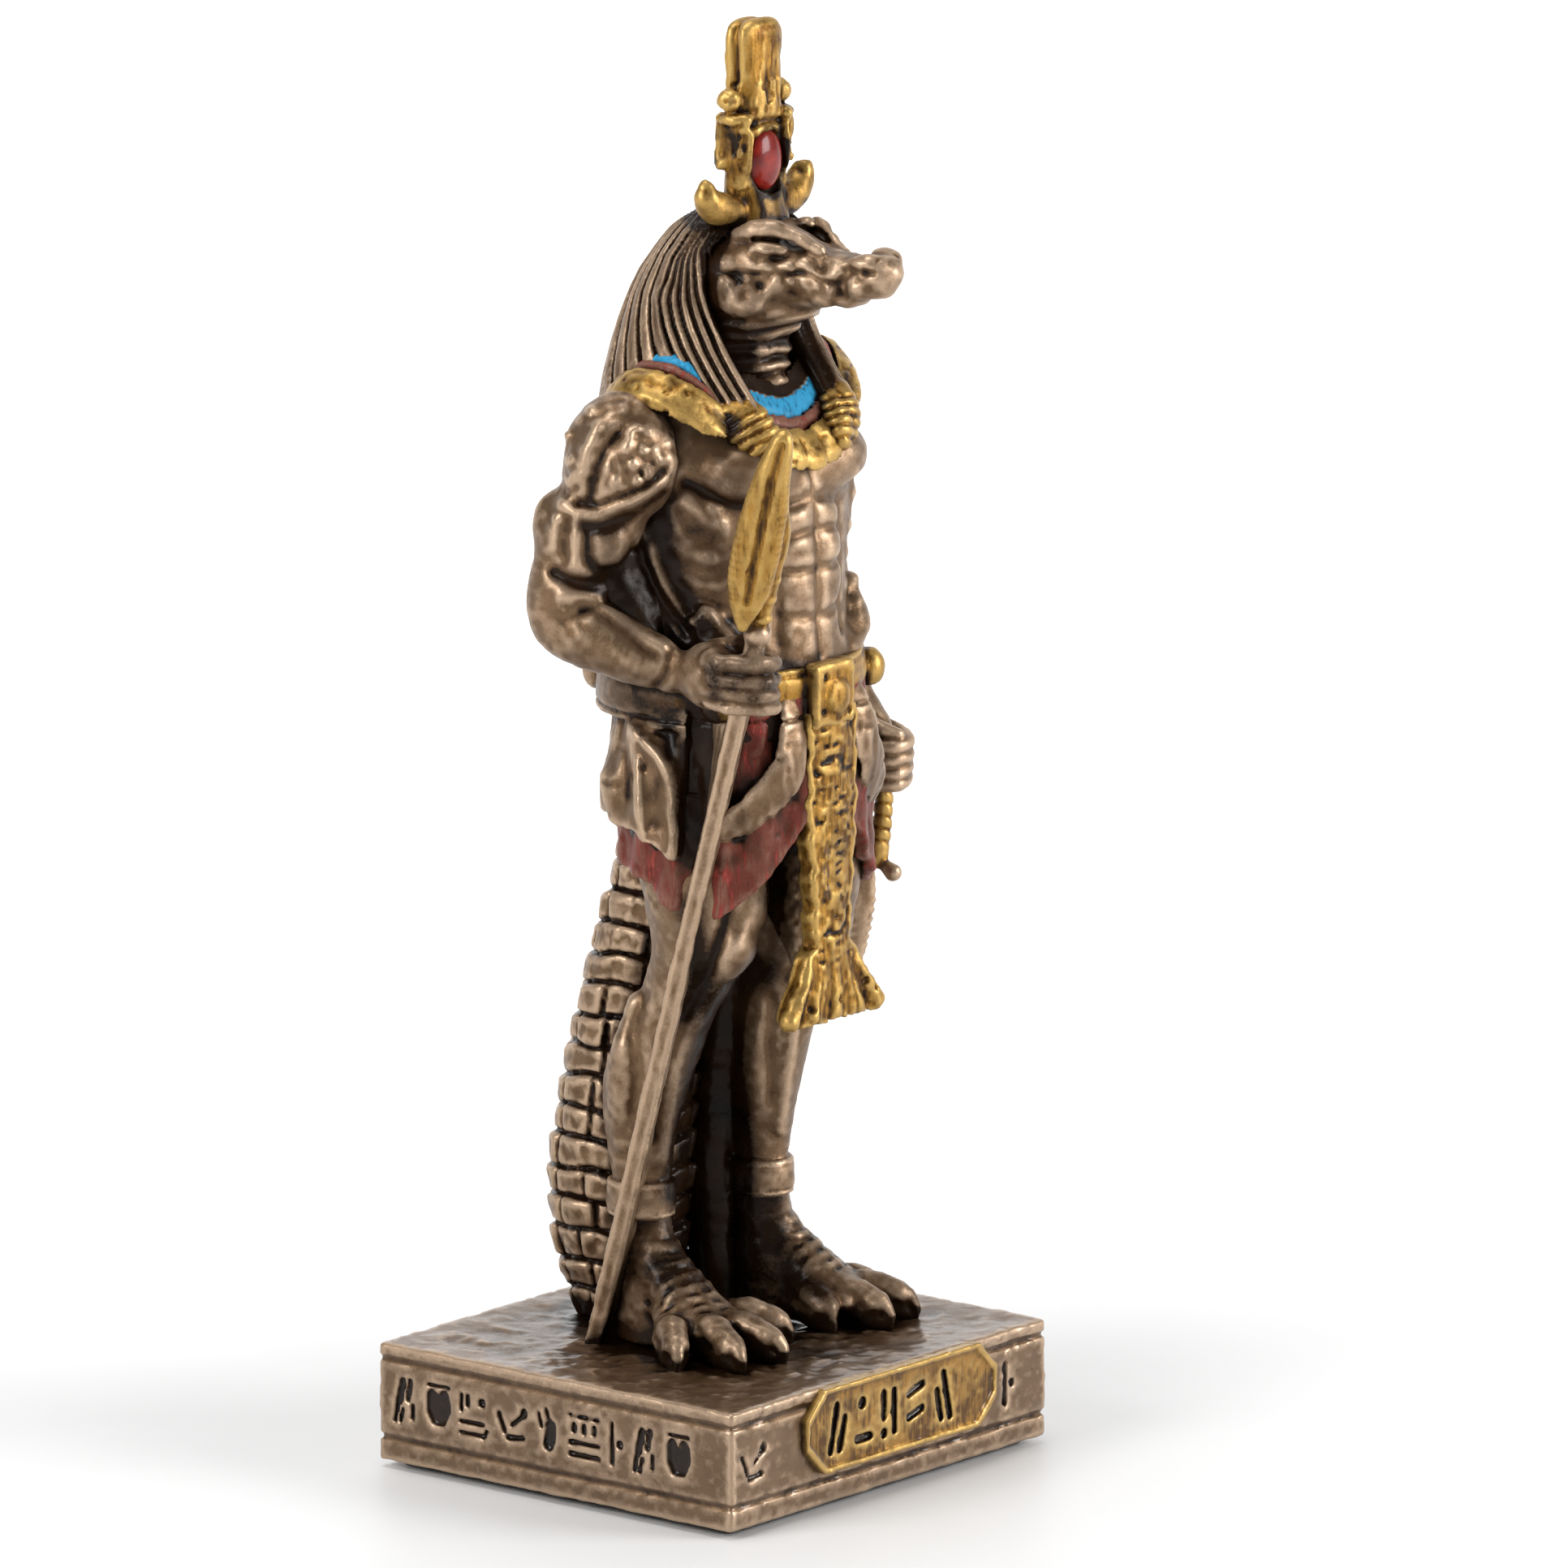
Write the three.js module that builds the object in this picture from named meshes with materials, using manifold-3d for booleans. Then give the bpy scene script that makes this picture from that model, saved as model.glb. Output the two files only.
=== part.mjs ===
// A crocodile-headed god in cast resin, standing on a small block plinth with a felt pad under it.
// Millimetres, +Z up, the figure's face towards -Y, the origin under the middle of the felt pad.
import * as THREE from 'three';
import Module from 'manifold-3d';
import { mergeVertices } from 'three/addons/utils/BufferGeometryUtils.js';

// Driving sizes.
const FIGURE_HEIGHT = 81.9;       // from the plinth's top to the tips of the plumes
const PLINTH_WIDTH = 30.4;
const PLINTH_DEPTH = 27.9;
const PLINTH_HEIGHT = 7.4;
const CAPPING_HEIGHT = 0.9;       // the slab along the plinth's upper edge
const FOOTING_HEIGHT = 1.5;       // the slab along its lower edge
const BAND_INSET = 0.15;          // how far the band between the slabs lies back
const PLINTH_CORNER = 0.35;       // radius of the upright corners
const SCRIBED_LINE = 0.3;         // height and depth of the lines that edge the band
const PLATE_WIDTH = 18.4;         // the gold plate on the front
const PLATE_HEIGHT = 5.3;
const PLATE_THICKNESS = 0.85;
const PLATE_SHIFT = 0.6;          // the plate sits this far towards +X
const PLATE_RISE = 0.7;           // and this far above the middle of the band
const PLATE_CORNER = 1.7;         // the cut at each corner of the plate
const PLATE_RIM = 0.45;           // width of its raised rim
const PLATE_SINK = 0.3;           // depth of the field inside the rim
const FELT_THICKNESS = 0.45;
const FELT_INSET = 0.8;
const STAFF_SIDE = 1.1;           // the staff's square section
const STAFF_WEB = 0.9;            // the web of resin that ties the staff to the leg
const CAPE_THICKNESS = 0.8;       // the bead collar over the shoulders
const APRON_THICKNESS = 1.3;
const BLADE_WIDTH = 2.0;          // the short sword
const BLADE_THICKNESS = 0.8;

// The pose and the carving are shares of the figure's height: the stations below are
// millimetres above the plinth on a figure of SCULPTED_HEIGHT.
const SCULPTED_HEIGHT = 81.9;
const SHARE = FIGURE_HEIGHT / SCULPTED_HEIGHT;
const PLINTH_TOP = FELT_THICKNESS + PLINTH_HEIGHT;

const wasm = await Module();
wasm.setup();

// Turns a closed geometry into a solid that can be joined and cut.
function solidOf(geometry) {
  const bare = geometry.clone();
  bare.deleteAttribute('normal');
  bare.deleteAttribute('uv');
  const merged = mergeVertices(bare, 1e-5);
  const vertProperties = new Float32Array(merged.attributes.position.array);
  const triVerts = new Uint32Array(merged.index.array);
  return new wasm.Manifold(new wasm.Mesh({ numProp: 3, vertProperties, triVerts }));
}

function geometryOf(solid) {
  const mesh = solid.getMesh();
  const geometry = new THREE.BufferGeometry();
  geometry.setAttribute('position', new THREE.BufferAttribute(mesh.vertProperties, 3));
  geometry.setIndex(new THREE.BufferAttribute(mesh.triVerts, 1));
  geometry.computeVertexNormals();
  return geometry;
}

const joined = (solids) => solids.reduce((whole, next) => whole.add(next));

// Six times the signed volume: negative when the faces point in.
function signedVolume(points, faces) {
  let sum = 0;
  for (let i = 0; i < faces.length; i += 3) {
    const [a, b, c] = [points[faces[i]], points[faces[i + 1]], points[faces[i + 2]]];
    sum += a.dot(new THREE.Vector3().crossVectors(b, c));
  }
  return sum;
}

// A closed skin through rings of equally many points, with a flat fan over each end.
function loft(rings) {
  const sides = rings[0].length;
  const points = rings.flat();
  const faces = [];
  for (let r = 0; r < rings.length - 1; r += 1) {
    for (let s = 0; s < sides; s += 1) {
      const a = r * sides + s;
      const b = r * sides + ((s + 1) % sides);
      faces.push(a, b, b + sides, a, b + sides, a + sides);
    }
  }
  for (const [ring, start, turn] of [[rings[0], 0, 1], [rings.at(-1), (rings.length - 1) * sides, -1]]) {
    const middle = new THREE.Vector3();
    ring.forEach((p) => middle.addScaledVector(p, 1 / sides));
    points.push(middle);
    for (let s = 0; s < sides; s += 1) {
      const pair = [start + ((s + 1) % sides), start + s];
      if (turn < 0) pair.reverse();
      faces.push(points.length - 1, ...pair);
    }
  }
  if (signedVolume(points, faces) < 0) faces.reverse();
  const geometry = new THREE.BufferGeometry().setFromPoints(points);
  geometry.setIndex(faces);
  return solidOf(geometry);
}

// A ring of points on an oval: half the width a along right, half the depth b along up.
function ovalRing(middle, right, up, a, b, sides, relief, along) {
  const ring = [];
  for (let s = 0; s < sides; s += 1) {
    const angle = (2 * Math.PI * s) / sides;
    const out = right.clone().multiplyScalar(a * Math.cos(angle));
    out.addScaledVector(up, b * Math.sin(angle));
    const point = middle.clone().add(out);
    if (relief) point.addScaledVector(out.normalize(), relief(point, angle, along));
    ring.push(point);
  }
  return ring;
}

const vectors = (list) => list.map((p) => new THREE.Vector3(...p));
const smooth = (list) => new THREE.CatmullRomCurve3(vectors(list), false, 'centripetal');

// A limb along a smooth path of stations [x, y, z, a, b]: each section is square to the path,
// a lies towards the reference direction and b square to both.
function limb(stations, { sides = 12, steps = 8, relief = null, reference = [1, 0, 0] } = {}) {
  const path = smooth(stations.map((s) => s.slice(0, 3)));
  const size = smooth(stations.map((s) => [s[3], s[4] ?? s[3], 0]));
  const toward = new THREE.Vector3(...reference);
  const rings = [];
  for (let i = 0; i <= steps; i += 1) {
    const t = i / steps;
    const tangent = path.getTangent(t);
    const right = toward.clone().addScaledVector(tangent, -toward.dot(tangent)).normalize();
    const up = new THREE.Vector3().crossVectors(tangent, right);
    const { x: a, y: b } = size.getPoint(t);
    rings.push(ovalRing(path.getPoint(t), right, up, a, b, sides, relief, t));
  }
  return loft(rings);
}

// A body of level sections from rows [z, y, a, b]: its axis leans only in Y.
function stack(rows, { sides = 24, steps = 12, relief = null, x = 0 } = {}) {
  const place = smooth(rows.map(([z, y]) => [x, y, z]));
  const size = smooth(rows.map((row) => [row[2], row[3], 0]));
  const right = new THREE.Vector3(1, 0, 0);
  const up = new THREE.Vector3(0, 1, 0);
  const rings = [];
  for (let i = 0; i <= steps; i += 1) {
    const t = i / steps;
    const { x: a, y: b } = size.getPoint(t);
    rings.push(ovalRing(place.getPoint(t), right, up, a, b, sides, relief, t));
  }
  return loft(rings);
}

// A rounded lump: a sphere stretched to half sizes and moved.
function lump([x, y, z], [a, b, c], across = 10, rows = 6, turn = [0, 0, 0]) {
  const geometry = new THREE.SphereGeometry(1, across, rows);
  geometry.rotateX(Math.PI / 2);
  geometry.scale(a, b, c);
  geometry.rotateX(turn[0]);
  geometry.rotateY(turn[1]);
  geometry.rotateZ(turn[2]);
  geometry.translate(x, y, z);
  return solidOf(geometry);
}

// A block between two corners.
function block([x0, y0, z0], [x1, y1, z1]) {
  const geometry = new THREE.BoxGeometry(x1 - x0, y1 - y0, z1 - z0);
  geometry.translate((x0 + x1) / 2, (y0 + y1) / 2, (z0 + z1) / 2);
  return solidOf(geometry);
}

// A soft hill of height 1 at distance 0, about twice the given reach wide.
const hill = (distance, reach) => Math.exp(-((distance / reach) ** 2));
const clamp = (value, low, high) => Math.min(high, Math.max(low, value));
const mix = (from, to, share) => from + (to - from) * share;
const FRONT = -Math.PI / 2;
// How far an angle is from the front of the figure, 0 to pi.
const wrapped = (angle) => Math.atan2(Math.sin(angle), Math.cos(angle));
const fromFront = (angle) => Math.abs(wrapped(angle - FRONT));

// Chest, belly and back, from inside the kilt up to the root of the neck.
const PEC = { x: 3.9, z: 53.9, reach: 3.0, rise: 0.8 };
const BELLY_CREASES = [50.4, 47.6, 45.0];
function torsoRelief(p) {
  const front = clamp((-p.y - 2.5) / 3, 0, 1);
  const back = clamp((p.y + 0.5) / 3, 0, 1);
  const pec = PEC.rise * hill(Math.abs(p.x) - PEC.x, PEC.reach) * hill(p.z - PEC.z, 2.5);
  const belly = clamp((PEC.z - 2.5 - p.z) / 1.2, 0, 1) * hill(p.x, 4.2);
  let crease = 0.45 * hill(p.x, 0.7);
  for (const z of BELLY_CREASES) crease = Math.max(crease, 0.4 * hill(p.z - z, 0.5));
  return front * (pec - belly * crease) - back * 0.6 * hill(p.x, 1.2);
}
function torso() {
  const rows = [
    [37, -2.5, 7.8, 6.6], [39.5, -2.4, 7.9, 6.8], [43, -1.4, 8.3, 7.2], [46, -1.2, 7.9, 6.8],
    [49, -1.5, 7.8, 6.5], [51.5, -1.6, 8.1, 6.4], [54, -1.5, 8.6, 6.3], [57, -1.0, 8.6, 5.7],
    [59.5, -0.8, 7.0, 4.9], [61.5, -1.2, 4.2, 4],
  ];
  return stack(rows, { sides: 22, steps: 12, relief: torsoRelief });
}

// The belt with its studs and the square buckle.
const BELT = { low: 39.5, high: 42.9, y: -1.4, a: 9.1, b: 7.8, studs: 7 };
function belt() {
  const rows = [
    [BELT.low, BELT.y - 0.5, BELT.a - 0.6, BELT.b - 0.7], [BELT.low + 0.9, BELT.y, BELT.a, BELT.b],
    [BELT.high - 0.2, BELT.y, BELT.a, BELT.b], [BELT.high, BELT.y, BELT.a - 0.3, BELT.b - 0.3],
  ];
  const middle = (BELT.low + BELT.high) / 2;
  const parts = [stack(rows, { sides: 20, steps: 3 })];
  for (let i = 1; i < BELT.studs; i += 1) {
    const angle = FRONT + (2 * Math.PI * i) / BELT.studs;
    const at = [BELT.a * Math.cos(angle), BELT.y + BELT.b * Math.sin(angle), middle];
    parts.push(lump(at, [0.55, 1.35, 1.2], 5, 3, [0, 0, angle]));
  }
  const face = BELT.y - BELT.b;
  parts.push(block([-2.2, face - 0.5, BELT.low - 0.3], [1.6, face + 1.5, BELT.high + 0.2]));
  parts.push(lump([-0.3, face - 0.5, middle], [1.4, 0.5, 1.3], 6, 3));
  return joined(parts);
}

// A skirt whose hem height depends on the angle round the body.
function skirt(top, spread, hem, sides = 36, steps = 5, relief = null) {
  const rings = [];
  const right = new THREE.Vector3(1, 0, 0);
  const up = new THREE.Vector3(0, 1, 0);
  for (let i = 0; i <= steps; i += 1) {
    const share = i / steps;
    const a = mix(top.a, spread.a, share);
    const b = mix(top.b, spread.b, share);
    const middle = new THREE.Vector3(0, mix(top.y, spread.y, share), top.z);
    const ring = ovalRing(middle, right, up, a, b, sides, relief, share);
    ring.forEach((p, s) => {
      p.z = mix(top.z, hem((2 * Math.PI * s) / sides), share);
    });
    rings.push(ring);
  }
  return loft(rings);
}

// The hem of the outer wrap: high at the front, with a point low on each hip.
function wrapHem(angle) {
  const turn = fromFront(angle);
  const opening = 7.0 * hill(turn, 0.4);
  const points = 1.6 * hill(turn - 1.35, 0.35);
  return 33.8 + opening - points;
}
function clothHem(angle) {
  const turn = fromFront(angle);
  return 30.4 + 4.6 * hill(turn, 0.4) - 2.9 * hill(turn - 1.1, 0.45);
}
const kiltFolds = (p, angle, share) => share * 0.22 * Math.sin(11 * angle + 0.12 * p.z);
function kilt() {
  const waist = { z: 40.6, y: -2.4, a: 8.0, b: 6.9 };
  const outer = skirt(waist, { y: -2.3, a: 9.8, b: 7.8 }, wrapHem, 28, 3, kiltFolds);
  const inner = skirt({ ...waist, a: 7.8, b: 6.7 }, { y: -2.6, a: 9.0, b: 6.6 }, clothHem, 20, 1);
  return joined([outer, inner]);
}

// The long apron: a strip with a waved edge that ends in a spread foot.
const APRON = { high: 40.2, low: 20.9, y: -9.35, toes: 4 };
function apronHalf(z) {
  const foot = clamp((25.6 - z) / (25.6 - APRON.low), 0, 1);
  const waist = 1.75 + 0.55 * clamp((z - 28) / 6, 0, 1);
  return waist + 2.6 * foot ** 0.8 + 0.14 * Math.sin(z * 2.6);
}
function apron() {
  const steps = 9;
  const across = 8;
  const rings = [];
  for (let i = 0; i <= steps; i += 1) {
    const z = mix(APRON.high, APRON.low, i / steps);
    const half = apronHalf(z);
    const last = i === steps;
    const ring = [];
    for (let s = 0; s <= across; s += 1) {
      const x = mix(-half, half, s / across);
      const scallop = last ? 0.45 * Math.abs(Math.cos((Math.PI * APRON.toes * s) / across)) : 0;
      const crown = 0.35 * Math.cos((Math.PI * x) / (2 * half));
      ring.push(new THREE.Vector3(x, APRON.y - crown, z + scallop));
    }
    const back = APRON.y + APRON_THICKNESS;
    ring.push(new THREE.Vector3(half, back, z), new THREE.Vector3(-half, back, z));
    rings.push(ring);
  }
  const web = loft([
    [[-2, -8.4, 40], [2.4, -8.4, 40], [2.4, -4, 40], [-2, -4, 40]],
    [[-1.2, -8.4, 30], [1.6, -8.4, 30], [1.6, -3, 30], [-1.2, -3, 30]],
    [[-0.9, -8.4, 24], [1.2, -8.4, 24], [1.2, -6.4, 24], [-0.9, -6.4, 24]],
  ].map(vectors));
  return joined([loft(rings), web]);
}

// A leg from the hip to just above the foot. The anklet is a low ring.
function leg(stations, anklet) {
  const calf = (p, angle, t) => 0.25 * hill(t - 0.55, 0.12) * Math.cos(2 * angle);
  const shank = limb(stations, { sides: 10, steps: 9, relief: calf });
  const [x, y, z, a, b] = anklet;
  const ring = stack([[z - 1.1, y, a, b], [z - 0.8, y, a + 0.3, b + 0.3], [z + 0.8, y, a + 0.3, b + 0.3],
    [z + 1.1, y, a, b]], { sides: 8, steps: 3, x });
  return joined([shank, ring]);
}
const RIGHT_LEG = [
  [-4.3, -1.6, 38, 4.2, 4.8], [-4.6, -2.6, 32, 4.0, 4.4], [-4.6, -3.2, 28, 3.7, 3.8],
  [-4.6, -3.1, 25.4, 3.1, 3.3], [-4.5, -1.9, 23, 2.7, 2.8], [-4.4, -0.3, 20.6, 2.6, 2.8],
  [-4.4, 1.6, 16.2, 2.6, 2.8], [-4.1, 2.3, 12.6, 2.0, 2.2], [-4.1, 2.3, 9.2, 1.5, 1.7],
  [-4.1, 2.0, 6, 1.6, 1.9], [-4.2, 1.6, 3.6, 1.9, 2.4], [-4.3, 1.2, 1.6, 1.9, 2.6],
];
const LEFT_LEG = [
  [4.4, -1.6, 38, 4.2, 4.8], [4.6, -2.6, 32, 4.0, 4.4], [4.7, -2.9, 28, 3.6, 3.8],
  [4.8, -2.6, 25, 3.0, 3.2], [4.9, -1.8, 22.5, 2.7, 2.8], [5.0, -0.9, 20, 2.5, 2.7],
  [5.0, -0.1, 16.5, 2.3, 2.6], [5.0, 0.3, 12.6, 1.9, 2.1], [5.1, 0.5, 9.2, 1.5, 1.7],
  [5.2, 0.4, 6, 1.7, 2.0], [5.4, 0.1, 3.6, 2.1, 2.5], [5.6, -0.1, 1.6, 2.1, 2.6],
];

// A clawed foot: thick toes [direction, length] fan out from under the ankle, each with a claw
// bent to the ground.
const RIGHT_TOES = [[-0.74, 7.3], [-0.28, 8.8], [0.11, 9.0], [0.69, 7.9]];
const LEFT_TOES = [[-0.27, 5.7], [0.21, 7.7], [0.58, 8.5], [0.98, 6.8]];
function foot([x, y], heading, toes) {
  const parts = [];
  for (const [turn, reach] of toes) {
    const along = [Math.sin(turn) * reach, -Math.cos(turn) * reach];
    const at = (share, ...rest) => [x + along[0] * share, y + along[1] * share, ...rest];
    const stations = [at(0.1, 2.2, 1.2, 1.6), at(0.62, 1.8, 1.25, 1.25), at(0.8, 1.8, 1.25, 1.25),
      at(0.93, 1.3, 0.85, 0.95), at(1.0, -0.2, 0.25, 0.25)];
    parts.push(limb(stations, { sides: 5, steps: 4, reference: [Math.cos(turn), Math.sin(turn), 0] }));
  }
  const ahead = [Math.sin(heading), -Math.cos(heading)];
  const bridge = (reach, ...rest) => [x + ahead[0] * reach, y + ahead[1] * reach, ...rest];
  const instep = [bridge(-0.9, 6.2, 1.4, 1.4), bridge(1.1, 3.8, 1.9, 1.7), bridge(3.4, 2.3, 2.5, 1.4),
    bridge(5.2, 1.6, 2.6, 1.1)];
  parts.push(limb(instep, { sides: 8, steps: 3, reference: [Math.cos(heading), Math.sin(heading), 0] }));
  parts.push(lump(bridge(-1.4, 1.2), [1.7, 1.8, 1.7], 6, 4));
  return joined(parts);
}

// The tail: heavy, ringed with square scutes, its tip curled to the left along the ground.
const TAIL_RINGS = 13;
function tailRelief(p, angle, t) {
  return Math.round(t * TAIL_RINGS * 2) % 2 ? 0.3 : -0.2;
}
function tail() {
  const stations = [
    [0, 0, 37, 2.6, 2.8], [0, 2.0, 33, 3.0, 3.4], [0, 3.5, 29, 3.2, 3.6], [0, 4.6, 24.2, 3.6, 4.1],
    [0, 5.6, 19.8, 3.9, 4.4], [0, 6.4, 15, 4.2, 4.7], [0, 7.0, 10.4, 4.4, 4.8], [0.1, 7.2, 6.4, 4.3, 4.6],
    [0.3, 7.1, 3.0, 3.9, 4.2], [0.4, 6.8, -0.5, 3.2, 3.4],
  ];
  const tip = [
    [1, 7.2, 2.4, 2.6, 2.4], [4.5, 8.2, 2.0, 2.0, 2.0], [8, 7.6, 1.4, 1.3, 1.4],
    [10.8, 5.2, 0.7, 0.5, 0.6],
  ];
  return joined([
    limb(stations, { sides: 10, steps: TAIL_RINGS * 2, relief: tailRelief, reference: [0, 1, 0] }),
    limb(tip, { sides: 8, steps: 4, reference: [0, 0, 1] }),
  ]);
}

// An arm through its stations, with the scaly cap over the shoulder.
function arm(stations, [x, y, z]) {
  const cap = lump([x, y, z], [3.9, 3.7, 4.1], 10, 6);
  const capEdge = lump([x * 1.04, y + 0.3, z - 3.6], [3.3, 3.2, 1.5], 8, 3);
  return joined([limb(stations, { sides: 8, steps: 9 }), cap, capEdge]);
}
const RIGHT_ARM = [
  [-8.6, -0.8, 57, 2.4, 2.6], [-9.9, 0.2, 53.5, 3.0, 3.0], [-10.4, 1.3, 50.4, 2.95, 2.95],
  [-11.2, 2.2, 47.6, 2.5, 2.5], [-11.3, 2.1, 46.0, 2.3, 2.3], [-10.9, 0.9, 45.3, 2.25, 2.2],
  [-10.2, -0.6, 44.8, 2.1, 2.1], [-9.4, -2.8, 43.9, 1.6, 1.6], [-8.9, -4.4, 43.3, 1.2, 1.25],
  [-8.3, -6.4, 43, 1.5, 1.6],
];
const LEFT_ARM = [
  [8.0, 0.8, 57, 2.4, 2.6], [9.3, 1.4, 53.5, 2.8, 2.8], [10.3, 1.5, 50.2, 2.5, 2.7],
  [10.8, 1.3, 47.0, 2.0, 2.2], [11.1, 0.6, 44.2, 1.9, 2.1], [11.2, -0.9, 40.6, 1.4, 1.5],
  [11.1, -2.0, 38.3, 1.15, 1.2], [11.1, -3.2, 36.6, 1.2, 1.5],
];

// A fist round an upright shaft: four fingers stacked one over the other.
function fist([x, y, z], [a, b, c], lean) {
  const fingers = 4;
  const relief = (p, angle, t) => {
    const knuckle = Math.abs(Math.sin(Math.PI * fingers * t));
    return 0.28 * knuckle * clamp(0.6 - Math.sin(angle), 0, 1);
  };
  const rows = [[-c, 0.7], [-c * 0.75, 1], [0, 1], [c * 0.75, 1], [c, 0.7]];
  const stations = rows.map(([rise, share]) => [x, y - rise * lean, z + rise, a * share, b * share]);
  return limb(stations, { sides: 10, steps: fingers * 2, relief });
}

// The staff: a square shaft leaning from the plinth to the right fist, with its drooping head.
const STAFF_FOOT = [-6.7, 3.8, 0];
const STAFF_GRIP = [-8.0, -8.3, 40];
const staffAt = (z) => {
  const share = z / STAFF_GRIP[2];
  const [x, y] = [0, 1].map((axis) => mix(STAFF_FOOT[axis], STAFF_GRIP[axis], share));
  return new THREE.Vector3(x, y, z);
};
// A straight bar with a square section between two points of the staff's line.
function bar(low, high, side) {
  const from = staffAt(low);
  const to = staffAt(high);
  const geometry = new THREE.BoxGeometry(side, side, from.distanceTo(to));
  geometry.rotateZ(Math.PI / 8);
  const along = to.clone().sub(from).normalize();
  geometry.applyQuaternion(new THREE.Quaternion().setFromUnitVectors(new THREE.Vector3(0, 0, 1), along));
  geometry.translate(...from.add(to).multiplyScalar(0.5).toArray());
  return solidOf(geometry);
}
// The staff's head looks half to the figure's right.
const LEAF_ACROSS = [0.635, -0.772, 0];
function leafRelief(p, angle) {
  return -0.5 * hill(wrapped(angle - FRONT), 0.35);
}
function staff() {
  const side = STAFF_SIDE / SHARE;
  const leaf = limb([
    [-9.5, -10.1, 46.9, 0.35, 0.5], [-9.6, -10.5, 48.6, 1.15, 0.8], [-9.8, -11.2, 51, 1.5, 0.9],
    [-9.9, -12, 53.8, 1.45, 0.95], [-9.95, -12.8, 56.6, 1.1, 0.85], [-9.85, -13.4, 58.6, 0.75, 0.7],
    [-9.75, -13.5, 59.2, 0.3, 0.35],
  ], { sides: 8, steps: 6, relief: leafRelief, reference: LEAF_ACROSS });
  const shaftRows = [[46.4, 0.55, 0.6], [48.2, 0.6, 0.65], [50.5, 0.7, 0.7], [52.8, 0.8, 0.8]];
  const onShaft = shaftRows.map(([z, ...half]) => [...staffAt(z).toArray(), ...half]);
  const neck = limb([...onShaft, [-9.3, -12.6, 55.6, 0.5, 0.5]],
    { sides: 6, steps: 3, reference: LEAF_ACROSS });
  const socket = lump(staffAt(46.2).toArray(), [1.0, 1.0, 0.9], 6, 4);
  return joined([bar(-0.6, 46.2, side), leaf, neck, socket]);
}
// The web behind the shaft, from the plinth to the underside of the kilt.
function staffWeb() {
  const half = STAFF_WEB / SHARE / 2;
  const inner = [[-4.6, 2.6, -0.3], [-4.3, 2.2, 9], [-4.5, -0.4, 20], [-4.8, -2.8, 29], [-5.4, -3.4, 40]];
  const rings = inner.map(([x, y, z]) => {
    const outer = staffAt(z);
    const across = new THREE.Vector3(-(y - outer.y), x - outer.x, 0).normalize().multiplyScalar(half);
    const near = new THREE.Vector3(x, y, z);
    return [[outer, 1], [outer, -1], [near, -1], [near, 1]]
      .map(([corner, sign]) => corner.clone().addScaledVector(across, sign));
  });
  return loft(rings);
}

// The short sword in the left hand, point down.
function sword() {
  const grip = limb([
    [11.1, -4.2, 35.5, 0.75, 0.75], [11.2, -4.2, 31.5, 0.7, 0.7], [11.0, -3.9, 28.2, 0.75, 0.75],
  ], { sides: 6, steps: 2 });
  const guard = limb([
    [11.1, -5.0, 27.5, 0.6, 0.6], [11.05, -4.4, 27.9, 0.4, 0.4], [11.0, -3.9, 28.2, 0.5, 0.5],
    [10.95, -3.3, 28.6, 0.4, 0.4], [10.8, -2.8, 29.0, 0.6, 0.6],
  ], { sides: 5, steps: 4, reference: [0, 0, 1] });
  const width = BLADE_WIDTH / SHARE / 2;
  const thick = BLADE_THICKNESS / SHARE / 2;
  const blade = limb([
    [11.0, -3.6, 28.6, thick, width], [10.6, -3.1, 25, thick, width * 0.95],
    [10.3, -2.7, 22, thick, width * 0.8], [10.1, -2.4, 20.2, thick * 0.4, width * 0.2],
  ], { sides: 6, steps: 3 });
  return joined([grip, guard, blade]);
}

// The bead collar: a shallow cape from the neck to a rounded edge on the shoulders.
function collar() {
  const sides = 24;
  const edge = (angle) => {
    const side = Math.abs(Math.cos(angle));
    const front = clamp(-Math.sin(angle), 0, 1);
    return { z: 57.4 + 2.3 * side ** 2 - 2.2 * front ** 2, a: 9.5, b: front > 0 ? 7.0 : 6.6 };
  };
  const ringAt = (share, drop) => {
    const ring = [];
    const width = mix(0.42, 1, share);
    for (let s = 0; s < sides; s += 1) {
      const angle = (2 * Math.PI * s) / sides;
      const rim = edge(angle);
      const x = rim.a * width * Math.cos(angle);
      const y = -1.4 + rim.b * width * Math.sin(angle);
      ring.push(new THREE.Vector3(x, y, mix(61.4, rim.z, share ** 1.15) - drop));
    }
    return ring;
  };
  const thick = CAPE_THICKNESS / SHARE;
  return loft([ringAt(0, 0), ringAt(0.5, 0), ringAt(0.95, 0), ringAt(1, thick * 0.45),
    ringAt(0.96, thick), ringAt(0, thick + 1)]);
}

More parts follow.
